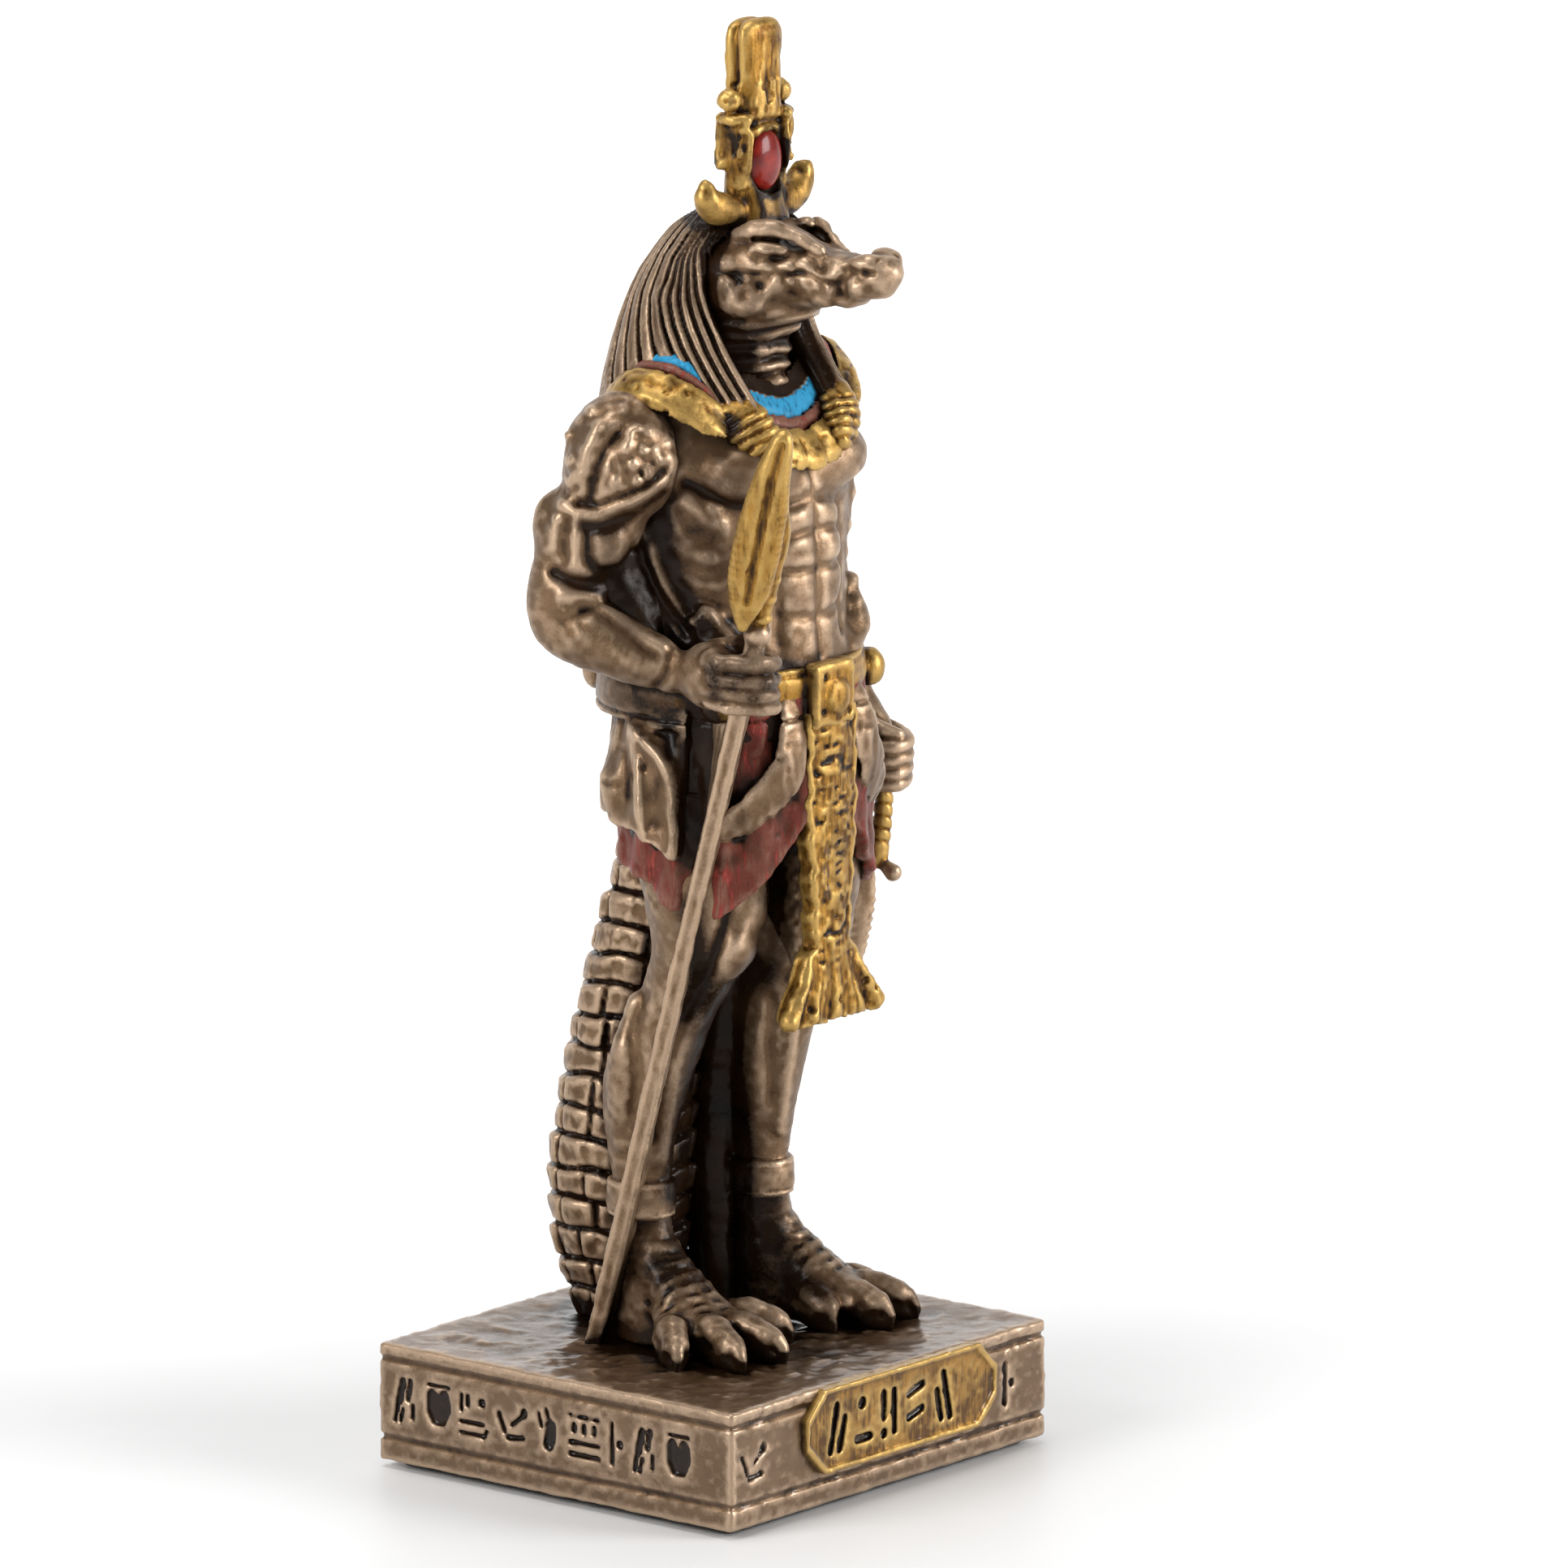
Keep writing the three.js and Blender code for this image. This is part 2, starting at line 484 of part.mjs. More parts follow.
// The wig: a bell of ribbed locks, open at the front for the face, with two lappets down the chest.
const WIG_LOCKS = 18;
const NECK = { a: 3.3, b: 3.1, y: -2.0 };
function wigRelief(p, angle, t) {
  const rib = Math.round((angle / (2 * Math.PI)) * WIG_LOCKS * 2) % 2 ? -0.22 : 0.22;
  const opening = mix(0.62, 0.44, t);
  const open = clamp((opening - fromFront(angle)) * 12, 0, 1) * clamp((t - 0.14) * 8, 0, 1);
  const inward = mix(2.0, 3.4, t);
  return rib * clamp(t * 5, 0, 1) - open * inward;
}
function wig() {
  const bell = stack([
    [70.3, -2.7, 3.0, 3.0], [68.8, -2.2, 4.6, 4.3], [66, -1.0, 5.6, 5.1], [63, -0.2, 6.2, 5.8],
    [60, 0.2, 7.2, 6.3], [58, 0.4, 7.4, 6.5],
  ], { sides: WIG_LOCKS * 2, steps: 5, relief: wigRelief });
  const parts = [bell];
  for (const side of [-1, 1]) {
    parts.push(limb([[side * 4.4, -3.0, 66, 1.3, 1.5], [side * 4.3, -4.0, 63, 1.6, 1.3],
      [side * 4.0, -5.2, 60.6, 1.6, 1.1], [side * 3.8, -6.1, 58.4, 1.4, 0.9]], { sides: 6, steps: 3 }));
    parts.push(limb([[side * 3.8, -6.1, 59.1, 1.3, 0.9], [side * 3.75, -6.5, 58.2, 1.6, 1.15],
      [side * 3.7, -6.7, 57.2, 1.6, 1.15], [side * 3.65, -6.9, 56.2, 1.1, 0.8]], { sides: 8, steps: 3 }));
  }
  return joined(parts);
}

// The neck with its folds of hide, and the head of a crocodile.
function neck() {
  const folds = (p) => 0.22 * Math.cos(p.z * 3.6) * clamp(-p.y / 3, 0, 1);
  const rows = [
    [56, NECK.y, NECK.a + 0.8, NECK.b + 0.4], [60, NECK.y, NECK.a, NECK.b],
    [64, NECK.y - 0.6, NECK.a + 0.3, NECK.b + 0.6], [67, NECK.y - 0.8, NECK.a + 0.5, NECK.b + 0.5],
  ];
  return stack(rows, { sides: 10, steps: 7, relief: folds });
}
function headRelief(p, angle, t) {
  const mouth = Math.min(Math.abs(angle - 2 * Math.PI + 0.26), Math.abs(angle - Math.PI - 0.26));
  const cut = mouth < 0.02 ? 0.38 * clamp((t - 0.2) * 6, 0, 1) * clamp((0.97 - t) * 12, 0, 1) : 0;
  return 0.16 * Math.sin(p.y * 2.9 + 2 * Math.abs(p.x)) * clamp((t - 0.25) * 4, 0, 1) - cut;
}
function head() {
  const skull = limb([
    [0, 0, 66.6, 3.2, 2.4], [0, -2.3, 66.8, 4.2, 3.1], [0, -4.5, 66.9, 4.3, 2.95],
    [0, -6.3, 66.85, 3.6, 2.55], [0, -8.1, 66.65, 2.8, 2.15], [0, -9.8, 66.55, 2.15, 1.8],
    [0, -11.4, 66.75, 1.8, 1.5], [0, -12.6, 67.0, 1.85, 1.4], [0, -13.5, 67.15, 1.4, 1.1],
    [0, -14.1, 67.15, 0.6, 0.5],
  ], { sides: 14, steps: 10, relief: headRelief });
  const parts = [skull];
  for (const side of [-1, 1]) {
    parts.push(lump([side * 2.1, -5.1, 69.0], [1.0, 1.3, 0.75], 6, 4, [-0.18, side * 0.3, 0]));
    parts.push(lump([side * 0.85, -12.5, 68.0], [0.75, 0.9, 0.6], 6, 3));
    parts.push(lump([side * 3.3, -4.6, 65.9], [1.2, 2.3, 1.3], 6, 4));
  }
  return joined(parts);
}

// The tall crown: curled horns, a block with the sun disc, side loops and knobs, and two plumes.
// Its side pieces were cast a little off the middle.
const CROWN_LEAN = 0.2;
function plume(y, half, depth, top) {
  const shape = new THREE.Shape();
  const low = 74;
  shape.moveTo(-half, low);
  shape.lineTo(half, low);
  shape.lineTo(half, top - half);
  shape.absarc(0, top - half, half, 0, Math.PI, false);
  shape.lineTo(-half, low);
  const geometry = new THREE.ExtrudeGeometry(shape, { depth, bevelEnabled: false, curveSegments: 4 });
  geometry.rotateX(Math.PI / 2);
  geometry.translate(0, y + depth / 2, 0);
  return solidOf(geometry);
}
function crown() {
  const y = -3.1;
  const base = stack([[69.4, y, 2.6, 2.1], [70.6, y, 2.3, 1.8], [72.5, y, 1.9, 1.25], [76, y, 1.9, 1.2],
    [77.8, y, 1.75, 1.1]], { sides: 8, steps: 4 });
  const front = plume(y - 0.55, 1.65, 0.85, SCULPTED_HEIGHT);
  const back = plume(y + 0.5, 1.6, 1.15, SCULPTED_HEIGHT - 0.3);
  const parts = [base, front, back, lump([0, y - 1.15, 72.9], [1.75, 0.75, 1.95], 8, 4)];
  for (const side of [-1, 1]) {
    const across = (x) => side * x - CROWN_LEAN;
    parts.push(limb([[across(0.4), y, 70.4, 0.9, 0.9], [across(2.2), y, 70.3, 0.95, 0.95],
      [across(3.7), y + 0.1, 70.8, 0.8, 0.8], [across(4.3), y + 0.2, 71.7, 0.65, 0.65],
      [across(4.3), y + 0.2, 72.4, 0.3, 0.3]], { sides: 6, steps: 4, reference: [0, 1, 0] }));
    parts.push(lump([across(2.4), y, 77.0], [0.8, 0.75, 0.75], 6, 4));
    parts.push(lump([across(2.3), y, 74.6], [0.75, 1.15, 1.8], 6, 4));
  }
  return joined(parts);
}

// The whole figure, cut off flat where it meets the plinth.
function figure() {
  const whole = joined([
    torso(), belt(), kilt(), apron(),
    leg(RIGHT_LEG, [-4.1, 2.3, 8.9, 1.6, 1.8]), leg(LEFT_LEG, [5.1, 0.5, 8.9, 1.6, 1.8]),
    foot([-4.3, 0.6], -0.05, RIGHT_TOES), foot([5.9, -0.4], 0.34, LEFT_TOES), tail(),
    arm(RIGHT_ARM, [-9.5, -0.6, 56.0]), arm(LEFT_ARM, [8.5, 1.3, 56.0]),
    fist([-8.0, -8.3, 43.2], [2.1, 2.7, 2.1], 0.3), fist([11.0, -3.9, 35.0], [1.9, 1.8, 2.1], -0.1),
    staff(), staffWeb(), sword(), collar(), wig(), neck(), head(), crown(),
  ]);
  const under = block([-40, -40, -20], [40, 40, 0]);
  const geometry = geometryOf(whole.subtract(under));
  geometry.scale(SHARE, SHARE, SHARE);
  geometry.translate(0, 0, PLINTH_TOP);
  return geometry;
}

// An upright slab with rounded corners, from one height to another.
function slab(width, depth, radius, low, high) {
  const [x, y] = [width / 2, depth / 2];
  const shape = new THREE.Shape();
  shape.moveTo(-x + radius, -y);
  shape.lineTo(x - radius, -y);
  shape.absarc(x - radius, -y + radius, radius, -Math.PI / 2, 0, false);
  shape.lineTo(x, y - radius);
  shape.absarc(x - radius, y - radius, radius, 0, Math.PI / 2, false);
  shape.lineTo(-x + radius, y);
  shape.absarc(-x + radius, y - radius, radius, Math.PI / 2, Math.PI, false);
  shape.lineTo(-x, -y + radius);
  shape.absarc(-x + radius, -y + radius, radius, Math.PI, 1.5 * Math.PI, false);
  const depthOptions = { depth: high - low, bevelEnabled: false, curveSegments: 2 };
  const geometry = new THREE.ExtrudeGeometry(shape, depthOptions);
  geometry.translate(0, 0, low);
  return solidOf(geometry);
}

// The eight-sided outline of the plate, drawn in by an inset.
function plateShape(inset) {
  const x = PLATE_WIDTH / 2 - inset;
  const z = PLATE_HEIGHT / 2 - inset;
  const cut = PLATE_CORNER - inset * 0.4;
  const corners = [[x - cut, -z], [x, -z + cut], [x, z - cut], [x - cut, z]];
  const mirrored = corners.map(([px, pz]) => [-px, pz]).reverse();
  return new THREE.Shape([...corners, ...mirrored].map(([px, pz]) => new THREE.Vector2(px, pz)));
}
function plateSlab(inset, front, back, z) {
  const depthOptions = { depth: back - front, bevelEnabled: false };
  const geometry = new THREE.ExtrudeGeometry(plateShape(inset), depthOptions);
  geometry.rotateX(Math.PI / 2);
  geometry.translate(PLATE_SHIFT, back, z);
  return solidOf(geometry);
}

function plinth() {
  const bottom = FELT_THICKNESS;
  const bandWidth = PLINTH_WIDTH - 2 * BAND_INSET;
  const bandDepth = PLINTH_DEPTH - 2 * BAND_INSET;
  const bandLow = bottom + FOOTING_HEIGHT;
  const bandHigh = PLINTH_TOP - CAPPING_HEIGHT;
  const line = 2 * SCRIBED_LINE;
  const parts = [
    slab(PLINTH_WIDTH, PLINTH_DEPTH, PLINTH_CORNER, bottom, bandLow),
    slab(PLINTH_WIDTH, PLINTH_DEPTH, PLINTH_CORNER, bandHigh, PLINTH_TOP),
    slab(bandWidth - line, bandDepth - line, PLINTH_CORNER, bottom, PLINTH_TOP),
    slab(bandWidth, bandDepth, PLINTH_CORNER, bandLow + SCRIBED_LINE, bandHigh - SCRIBED_LINE),
  ];
  const bandFront = -bandDepth / 2;
  const front = bandFront - PLATE_THICKNESS + BAND_INSET;
  const middle = (bandLow + bandHigh) / 2 + PLATE_RISE;
  parts.push(plateSlab(0, front, bandFront + line, middle));
  const field = plateSlab(PLATE_RIM, front - 1, front + PLATE_SINK, middle);
  return geometryOf(joined(parts).subtract(field));
}

function feltPad() {
  const inset = 2 * FELT_INSET;
  return geometryOf(slab(PLINTH_WIDTH - inset, PLINTH_DEPTH - inset, PLINTH_CORNER, 0, FELT_THICKNESS));
}

function piece(name, geometry, finish) {
  const mesh = new THREE.Mesh(geometry, new THREE.MeshStandardMaterial(finish));
  mesh.name = name;
  return mesh;
}

const statue = new THREE.Group();
statue.add(piece('figure', figure(), { color: '#8a6f52', roughness: 0.42, metalness: 0.45 }));
statue.add(piece('plinth', plinth(), { color: '#7d664c', roughness: 0.45, metalness: 0.4 }));
statue.add(piece('felt_pad', feltPad(), { color: '#1b1a19', roughness: 0.95, metalness: 0 }));
export default statue;
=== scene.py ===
"""Dresses the packed crocodile-headed figure as the painted cold-cast resin souvenir that it is.

Each piece of the figure is sculpted as a block of clay: an array of signed distances to its skin,
built up from balls, limbs and stacked sections, carved, and skinned with a fine mesh.
"""
import math
from functools import partial

import bmesh
import bpy
import numpy as np
from mathutils import Matrix, Vector


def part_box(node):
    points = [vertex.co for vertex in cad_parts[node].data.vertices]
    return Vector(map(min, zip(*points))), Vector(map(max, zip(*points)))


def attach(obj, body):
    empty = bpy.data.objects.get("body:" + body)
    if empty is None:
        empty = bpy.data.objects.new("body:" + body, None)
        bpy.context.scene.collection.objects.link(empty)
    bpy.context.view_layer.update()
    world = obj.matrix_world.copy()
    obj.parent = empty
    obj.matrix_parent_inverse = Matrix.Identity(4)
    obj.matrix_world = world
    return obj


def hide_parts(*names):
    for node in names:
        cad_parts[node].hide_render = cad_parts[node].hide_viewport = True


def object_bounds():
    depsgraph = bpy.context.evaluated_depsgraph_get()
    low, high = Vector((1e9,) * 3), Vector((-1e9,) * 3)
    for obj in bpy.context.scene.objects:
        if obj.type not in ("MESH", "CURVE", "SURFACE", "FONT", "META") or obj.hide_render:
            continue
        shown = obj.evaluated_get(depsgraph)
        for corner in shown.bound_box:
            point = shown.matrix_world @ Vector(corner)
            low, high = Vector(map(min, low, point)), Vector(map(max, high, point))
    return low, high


bl_info = {
    "name": "Crocodile-headed figure",
    "version": (1, 0, 0),
    "blender": (4, 5, 0),
    "location": "View3D > Sidebar > Figure",
    "description": "Sculpts and paints a small cast resin figure around its packed solids",
    "category": "Object",
}

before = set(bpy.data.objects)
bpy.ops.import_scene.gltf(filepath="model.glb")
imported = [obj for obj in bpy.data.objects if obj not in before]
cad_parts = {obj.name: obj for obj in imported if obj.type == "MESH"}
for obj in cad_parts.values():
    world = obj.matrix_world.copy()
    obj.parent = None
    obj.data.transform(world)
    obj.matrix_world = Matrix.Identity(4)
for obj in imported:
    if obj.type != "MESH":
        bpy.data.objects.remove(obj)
CAD_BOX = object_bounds()
MM = 0.001
CAD_BOX_HIGH = CAD_BOX[1][2] / MM
PLINTH_LOW, PLINTH_HIGH = (np.array(corner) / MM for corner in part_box("plinth"))
FELT_LOW, FELT_HIGH = (np.array(corner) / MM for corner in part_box("felt_pad"))
GROUND = PLINTH_HIGH[2]      # the figure is measured up from the plinth's top, in mm
FAR = 3.0                    # the greatest distance that clay holds, in mm
VIEW_DISTANCE = 1000.0       # from the figure to the lens, in mm
X, Y = np.eye(3)[:2]


# Helpers for numbers

def mix(a, b, share):
    """The value this share of the way from a to b."""
    return a + (b - a) * share


def ease(value, low=0.0, high=1.0):
    """0 below low, 1 above high, and a smooth s between them."""
    t = np.clip((value - low) / (high - low), 0, 1)
    return t * t * (3 - 2 * t)


def hill(distance, reach):
    """1 at distance 0, falling off as a bell about as wide as twice the reach."""
    return np.exp(-(distance / reach) ** 2)


def through(rows, steps):
    """A smooth line through rows of numbers: between two rows each column is the cubic whose slopes
    there are half the difference of the rows on both sides."""
    rows = np.array(rows, float)
    before = np.vstack([2 * rows[:1] - rows[1:2], rows[:-1]])
    after = np.vstack([rows[1:], 2 * rows[-1:] - rows[-2:-1]])
    slope = (after - before) / 2
    t = (np.arange(steps) / steps)[None, :, None]
    a, b, m, n = rows[:-1, None], rows[1:, None], slope[:-1, None], slope[1:, None]
    curve = (2 * t**3 - 3 * t**2 + 1) * a + (t**3 - 2 * t**2 + t) * m \
        + (3 * t**2 - 2 * t**3) * b + (t**3 - t**2) * n
    return np.vstack([curve.reshape(-1, rows.shape[1]), rows[-1:]])


def table(text):
    """Rows of numbers, read from text with a comma between two rows."""
    return [[float(n) for n in row.split()] for row in text.split(",")]


def lines_of(text):
    """Lines for the stylus, read from text with a semicolon between two lines: the height and the
    width, a colon, then the points that the line goes through."""
    lines = []
    for line in text.split(";"):
        head, points = line.split(":")
        lines.append([float(n) for n in head.split()] + table(points))
    return lines


def lattice(points, seed):
    """A whole number hashed from each whole point, as a share from 0 to 1."""
    i = points.astype(np.int64)
    n = i[..., 0] * 374761393 + i[..., 1] * 668265263 + i[..., 2] * 2147483647 + seed * 1274126177
    n = ((n ^ (n >> 13)) * 1274126177) & 0x7FFFFFFF
    return ((n ^ (n >> 16)) & 0xFFFF) / 65535.0


def cloud(points, size, seed):
    """Soft lumps from -1 to 1: hashed values at the corners of cubes of one size, blended smoothly."""
    p = points / size
    low = np.floor(p)
    f = p - low
    f = f * f * (3 - 2 * f)
    total = 0
    for corner in np.ndindex(2, 2, 2):
        share = np.prod(np.where(corner, f, 1 - f), axis=-1)
        total = total + share * lattice(low + corner, seed)
    return 2 * total - 1


def oval(u, v, a, b):
    """How far (u, v) lies outside an ellipse: its scaled length less one, times that length over
    the length of its slope."""
    near = np.sqrt((u / a) ** 2 + (v / b) ** 2)
    slope = np.sqrt((u / a**2) ** 2 + (v / b**2) ** 2)
    return near * (near - 1) / np.maximum(slope, 1e-6)


# Clay

TOWARDS_VIEW = np.array([-0.755, -0.621, 0.212])      # the way that the figure's right side mostly faces


def drawn(points, lines, facing=TOWARDS_VIEW, both=True):
    """Relief drawn with a soft stylus: for each line (height, width, point, point...), its height
    times a bell of the distance to it over its width. Three quarters of the distance along the way
    that the surface faces is left out. Lines are given on the right side, and serve both."""
    points = np.array(points)
    if both:
        points[:, 0] = -np.abs(points[:, 0])
    flat = points - 0.75 * (points @ facing)[:, None] * facing
    total = np.zeros(len(points))
    for height, width, *rows in lines:
        path = through(rows, 3) if len(rows) > 2 else np.array(rows * 2, float)[:2]
        path = path - 0.75 * (path @ facing)[:, None] * facing
        low, high = path.min(0) - 2.2 * width, path.max(0) + 2.2 * width
        near = np.flatnonzero(np.all((flat > low) & (flat < high), axis=1))
        best = np.full(len(near), 9.0)
        for a, b in zip(path[:-1], path[1:]):
            q = flat[near] - a
            share = np.clip(q @ (b - a) / max((b - a) @ (b - a), 1e-9), 0, 1)
            best = np.minimum(best, ((q - share[:, None] * (b - a)) ** 2).sum(1))
        total[near] += height * np.exp(-best / width**2)
    return total


class Clay:
    """A block of modelling clay: the signed distance to its skin on a cubic grid of points, and how
    much of each paint and of the black wash lies at each point. All in mm, above the plinth's top."""

    def __init__(self, low, high, grain, paints=()):
        self.grain = grain
        self.first = np.floor(np.array(low) / grain).astype(int)
        self.size = np.ceil(np.array(high) / grain).astype(int) - self.first + 1
        self.skin = np.full(self.size, FAR, np.float32)
        self.paints = {name: np.zeros(self.size, np.float32) for name in (*paints, "wash")}

    def window(self, low, high):
        """The slices of the grid that a box covers, and the places of its points as open axes."""
        low = np.clip(np.floor(np.array(low) / self.grain).astype(int) - self.first, 0, self.size)
        high = np.clip(np.ceil(np.array(high) / self.grain).astype(int) - self.first + 1, low, self.size)
        axes = []
        for axis in range(3):
            ticks = (np.arange(low[axis], high[axis]) + self.first[axis]) * self.grain
            axes.append(ticks.astype(np.float32).reshape([-1 if n == axis else 1 for n in range(3)]))
        return tuple(slice(a, b) for a, b in zip(low, high)), axes

    def colour(self, cut, share, paint):
        """Lays one paint, or bare resin, over a share of the points."""
        for name, volume in self.paints.items():
            volume[cut] = volume[cut] * (1 - share) + (share if name == paint else 0)

    def add(self, form, blend=0.2, paint=None):
        """Joins a form: the lesser distance, rounded where the two are closer than the blend."""
        cut, distance = form(self, blend + 0.3)
        here = self.skin[cut]
        gap = here - distance
        self.colour(cut, np.clip(0.5 + gap / 0.16, 0, 1) * (distance < 0.5), paint)
        fillet = np.maximum(blend - np.abs(gap), 0)
        self.skin[cut] = np.minimum(here, distance) - fillet * fillet / (4 * blend)
        return self

    def carve(self, form, blend=0.12):
        """Cuts a form away: the greater of the distance and the form's turned about."""
        cut, distance = form(self, blend + 0.3)
        here = self.skin[cut]
        fillet = np.maximum(blend - np.abs(here + distance), 0)
        self.skin[cut] = np.maximum(here, -distance) + fillet * fillet / (4 * blend)
        return self

    def dab(self, form, paint, soft=0.15):
        """Paints whatever lies inside a form, with an edge this soft."""
        cut, distance = form(self, soft + 0.3)
        self.colour(cut, np.clip(0.5 - distance / soft, 0, 1), paint)
        return self

    def near_skin(self):
        """The places on the grid within 0.9 mm of the skin, and their points."""
        spot = np.argwhere(np.abs(self.skin) < 0.9)
        return tuple(spot.T), (spot + self.first) * self.grain

    def press(self, relief):
        """Raises the skin by a relief worked out at each point near it."""
        index, points = self.near_skin()
        self.skin[index] -= relief(points).astype(np.float32)
        return self

    def darken(self, amount):
        """Leaves more wash on the skin, by an amount worked out at each point near it."""
        index, points = self.near_skin()
        self.paints["wash"][index] += amount(points).astype(np.float32)
        return self

    def read(self, volume, points):
        """The value of a volume at any points, blended from the eight grid points round each."""
        place = np.clip(points / self.grain - self.first, 0, self.size - 1.001)
        low = np.floor(place).astype(int)
        f = place - low
        total = 0
        for corner in np.ndindex(2, 2, 2):
            share = np.prod(np.where(corner, f, 1 - f), axis=1)
            total = total + share * volume[tuple((low + corner).T)]
        return total


def blurred(volume, reach):
    """A volume smoothed by a bell of this reach, in grid steps, along each axis in turn."""
    span = int(math.ceil(2.2 * reach))
    weights = np.exp(-0.5 * (np.arange(-span, span + 1) / reach) ** 2)
    weights /= weights.sum()
    for axis in range(3):
        padded = np.pad(volume, [(span, span) if n == axis else (0, 0) for n in range(3)], mode="edge")
        total = np.zeros_like(volume)
        for n, weight in enumerate(weights):
            part = [slice(None)] * 3
            part[axis] = slice(n, n + volume.shape[axis])
            total += np.float32(weight) * padded[tuple(part)]
        volume = total
    return volume


# Forms: each is a function that gives the slices of a block and the distances there

def ball(centre, half):
    """An egg with three half-sizes: its scaled length less one, over the slope of that length."""
    centre = np.array(centre, float)
    half = np.ones(3) * half

    def form(clay, margin):
        cut, axes = clay.window(centre - half - margin, centre + half + margin)
        p = [axis - middle for axis, middle in zip(axes, centre)]
        near = np.sqrt(sum((p[n] / half[n]) ** 2 for n in range(3)))
        slope = np.sqrt(sum((p[n] / half[n] ** 2) ** 2 for n in range(3)))
        return cut, near * (near - 1) / np.maximum(slope, 1e-6)
    return form


def limb(rows, steps=5, across=None):
    """A limb along a smooth line through rows of [x, y, z, half] or [x, y, z, half across, other
    half]: the distance to the nearest point of the line, less the section there."""
    rows = np.array(rows, float)
    line = through(rows, steps) if len(rows) > 2 else rows

    def form(clay, margin):
        reach = line[:, 3:].max() + margin
        cut, axes = clay.window(line[:, :3].min(0) - reach, line[:, :3].max(0) + reach)
        start = [s.start for s in cut]
        distance = np.full([s.stop - s.start for s in cut], FAR, np.float32)
        for a, b in zip(line[:-1], line[1:]):
            reach = max(a[3:].max(), b[3:].max()) + margin
            part, (x, y, z) = clay.window(np.minimum(a, b)[:3] - reach, np.maximum(a, b)[:3] + reach)
            along = (b - a)[:3]
            qx, qy, qz = x - a[0], y - a[1], z - a[2]
            share = (qx * along[0] + qy * along[1] + qz * along[2]) / max(along @ along, 1e-9)
            share = np.clip(share, 0, 1)
            qx, qy, qz = qx - share * along[0], qy - share * along[1], qz - share * along[2]
            square = qx * qx + qy * qy + qz * qz
            if line.shape[1] == 4:
                gap = np.sqrt(square) - mix(a[3], b[3], share)
            else:
                u = qx * across[0] + qy * across[1] + qz * across[2]
                v = np.sqrt(np.maximum(square - u * u, 0))
                gap = oval(u, v, mix(a[3], b[3], share), mix(a[4], b[4], share))
            place = tuple(slice(s.start - n, s.stop - n) for s, n in zip(part, start))
            distance[place] = np.minimum(distance[place], gap)
        return cut, distance
    return form


def stack(rows, axis=2, swell=None):
    """A body of oval sections stacked along Z, or along Y: rows of [x, y, z, a, b], smooth between
    them and flat at both ends. swell adds to the section by (angle from the front, level)."""
    line = through(rows, 12)
    line = line[np.argsort(line[:, axis])]
    side = 3 - axis

    def form(clay, margin):
        spread = max(line[:, 3:].max() + margin + 0.6, 0)
        low, high = line[:, :3].min(0) - margin, line[:, :3].max(0) + margin
        low[[0, side]] -= spread
        high[[0, side]] += spread
        cut, axes = clay.window(low, high)
        level = axes[axis]
        at = [np.interp(level, line[:, axis], line[:, column]).astype(np.float32)
              for column in (0, side, 3, 4)]
        u, v = axes[0] - at[0], axes[side] - at[1]
        distance = oval(u, v, at[2], at[3])
        if swell is not None:
            distance = distance - swell(np.arctan2(u / at[2], -v / at[3]), level)
        ends = np.maximum(level - line[-1, axis], line[0, axis] - level)
        return cut, np.maximum(distance, ends)
    return form


def block(centre, half, round_off=0.1):
    """A box with rounded edges: the length of what lies past its core, less the rounding."""
    centre, half = np.array(centre, float), np.array(half, float)

    def form(clay, margin):
        cut, axes = clay.window(centre - half - margin, centre + half + margin)
        q = [np.abs(axes[n] - centre[n]) - (half[n] - round_off) for n in range(3)]
        outside = np.sqrt(sum(np.maximum(part, 0) ** 2 for part in q))
        inside = np.minimum(np.maximum(np.maximum(q[0], q[1]), q[2]), 0)
        return cut, outside + inside - round_off
    return form


# From clay to mesh

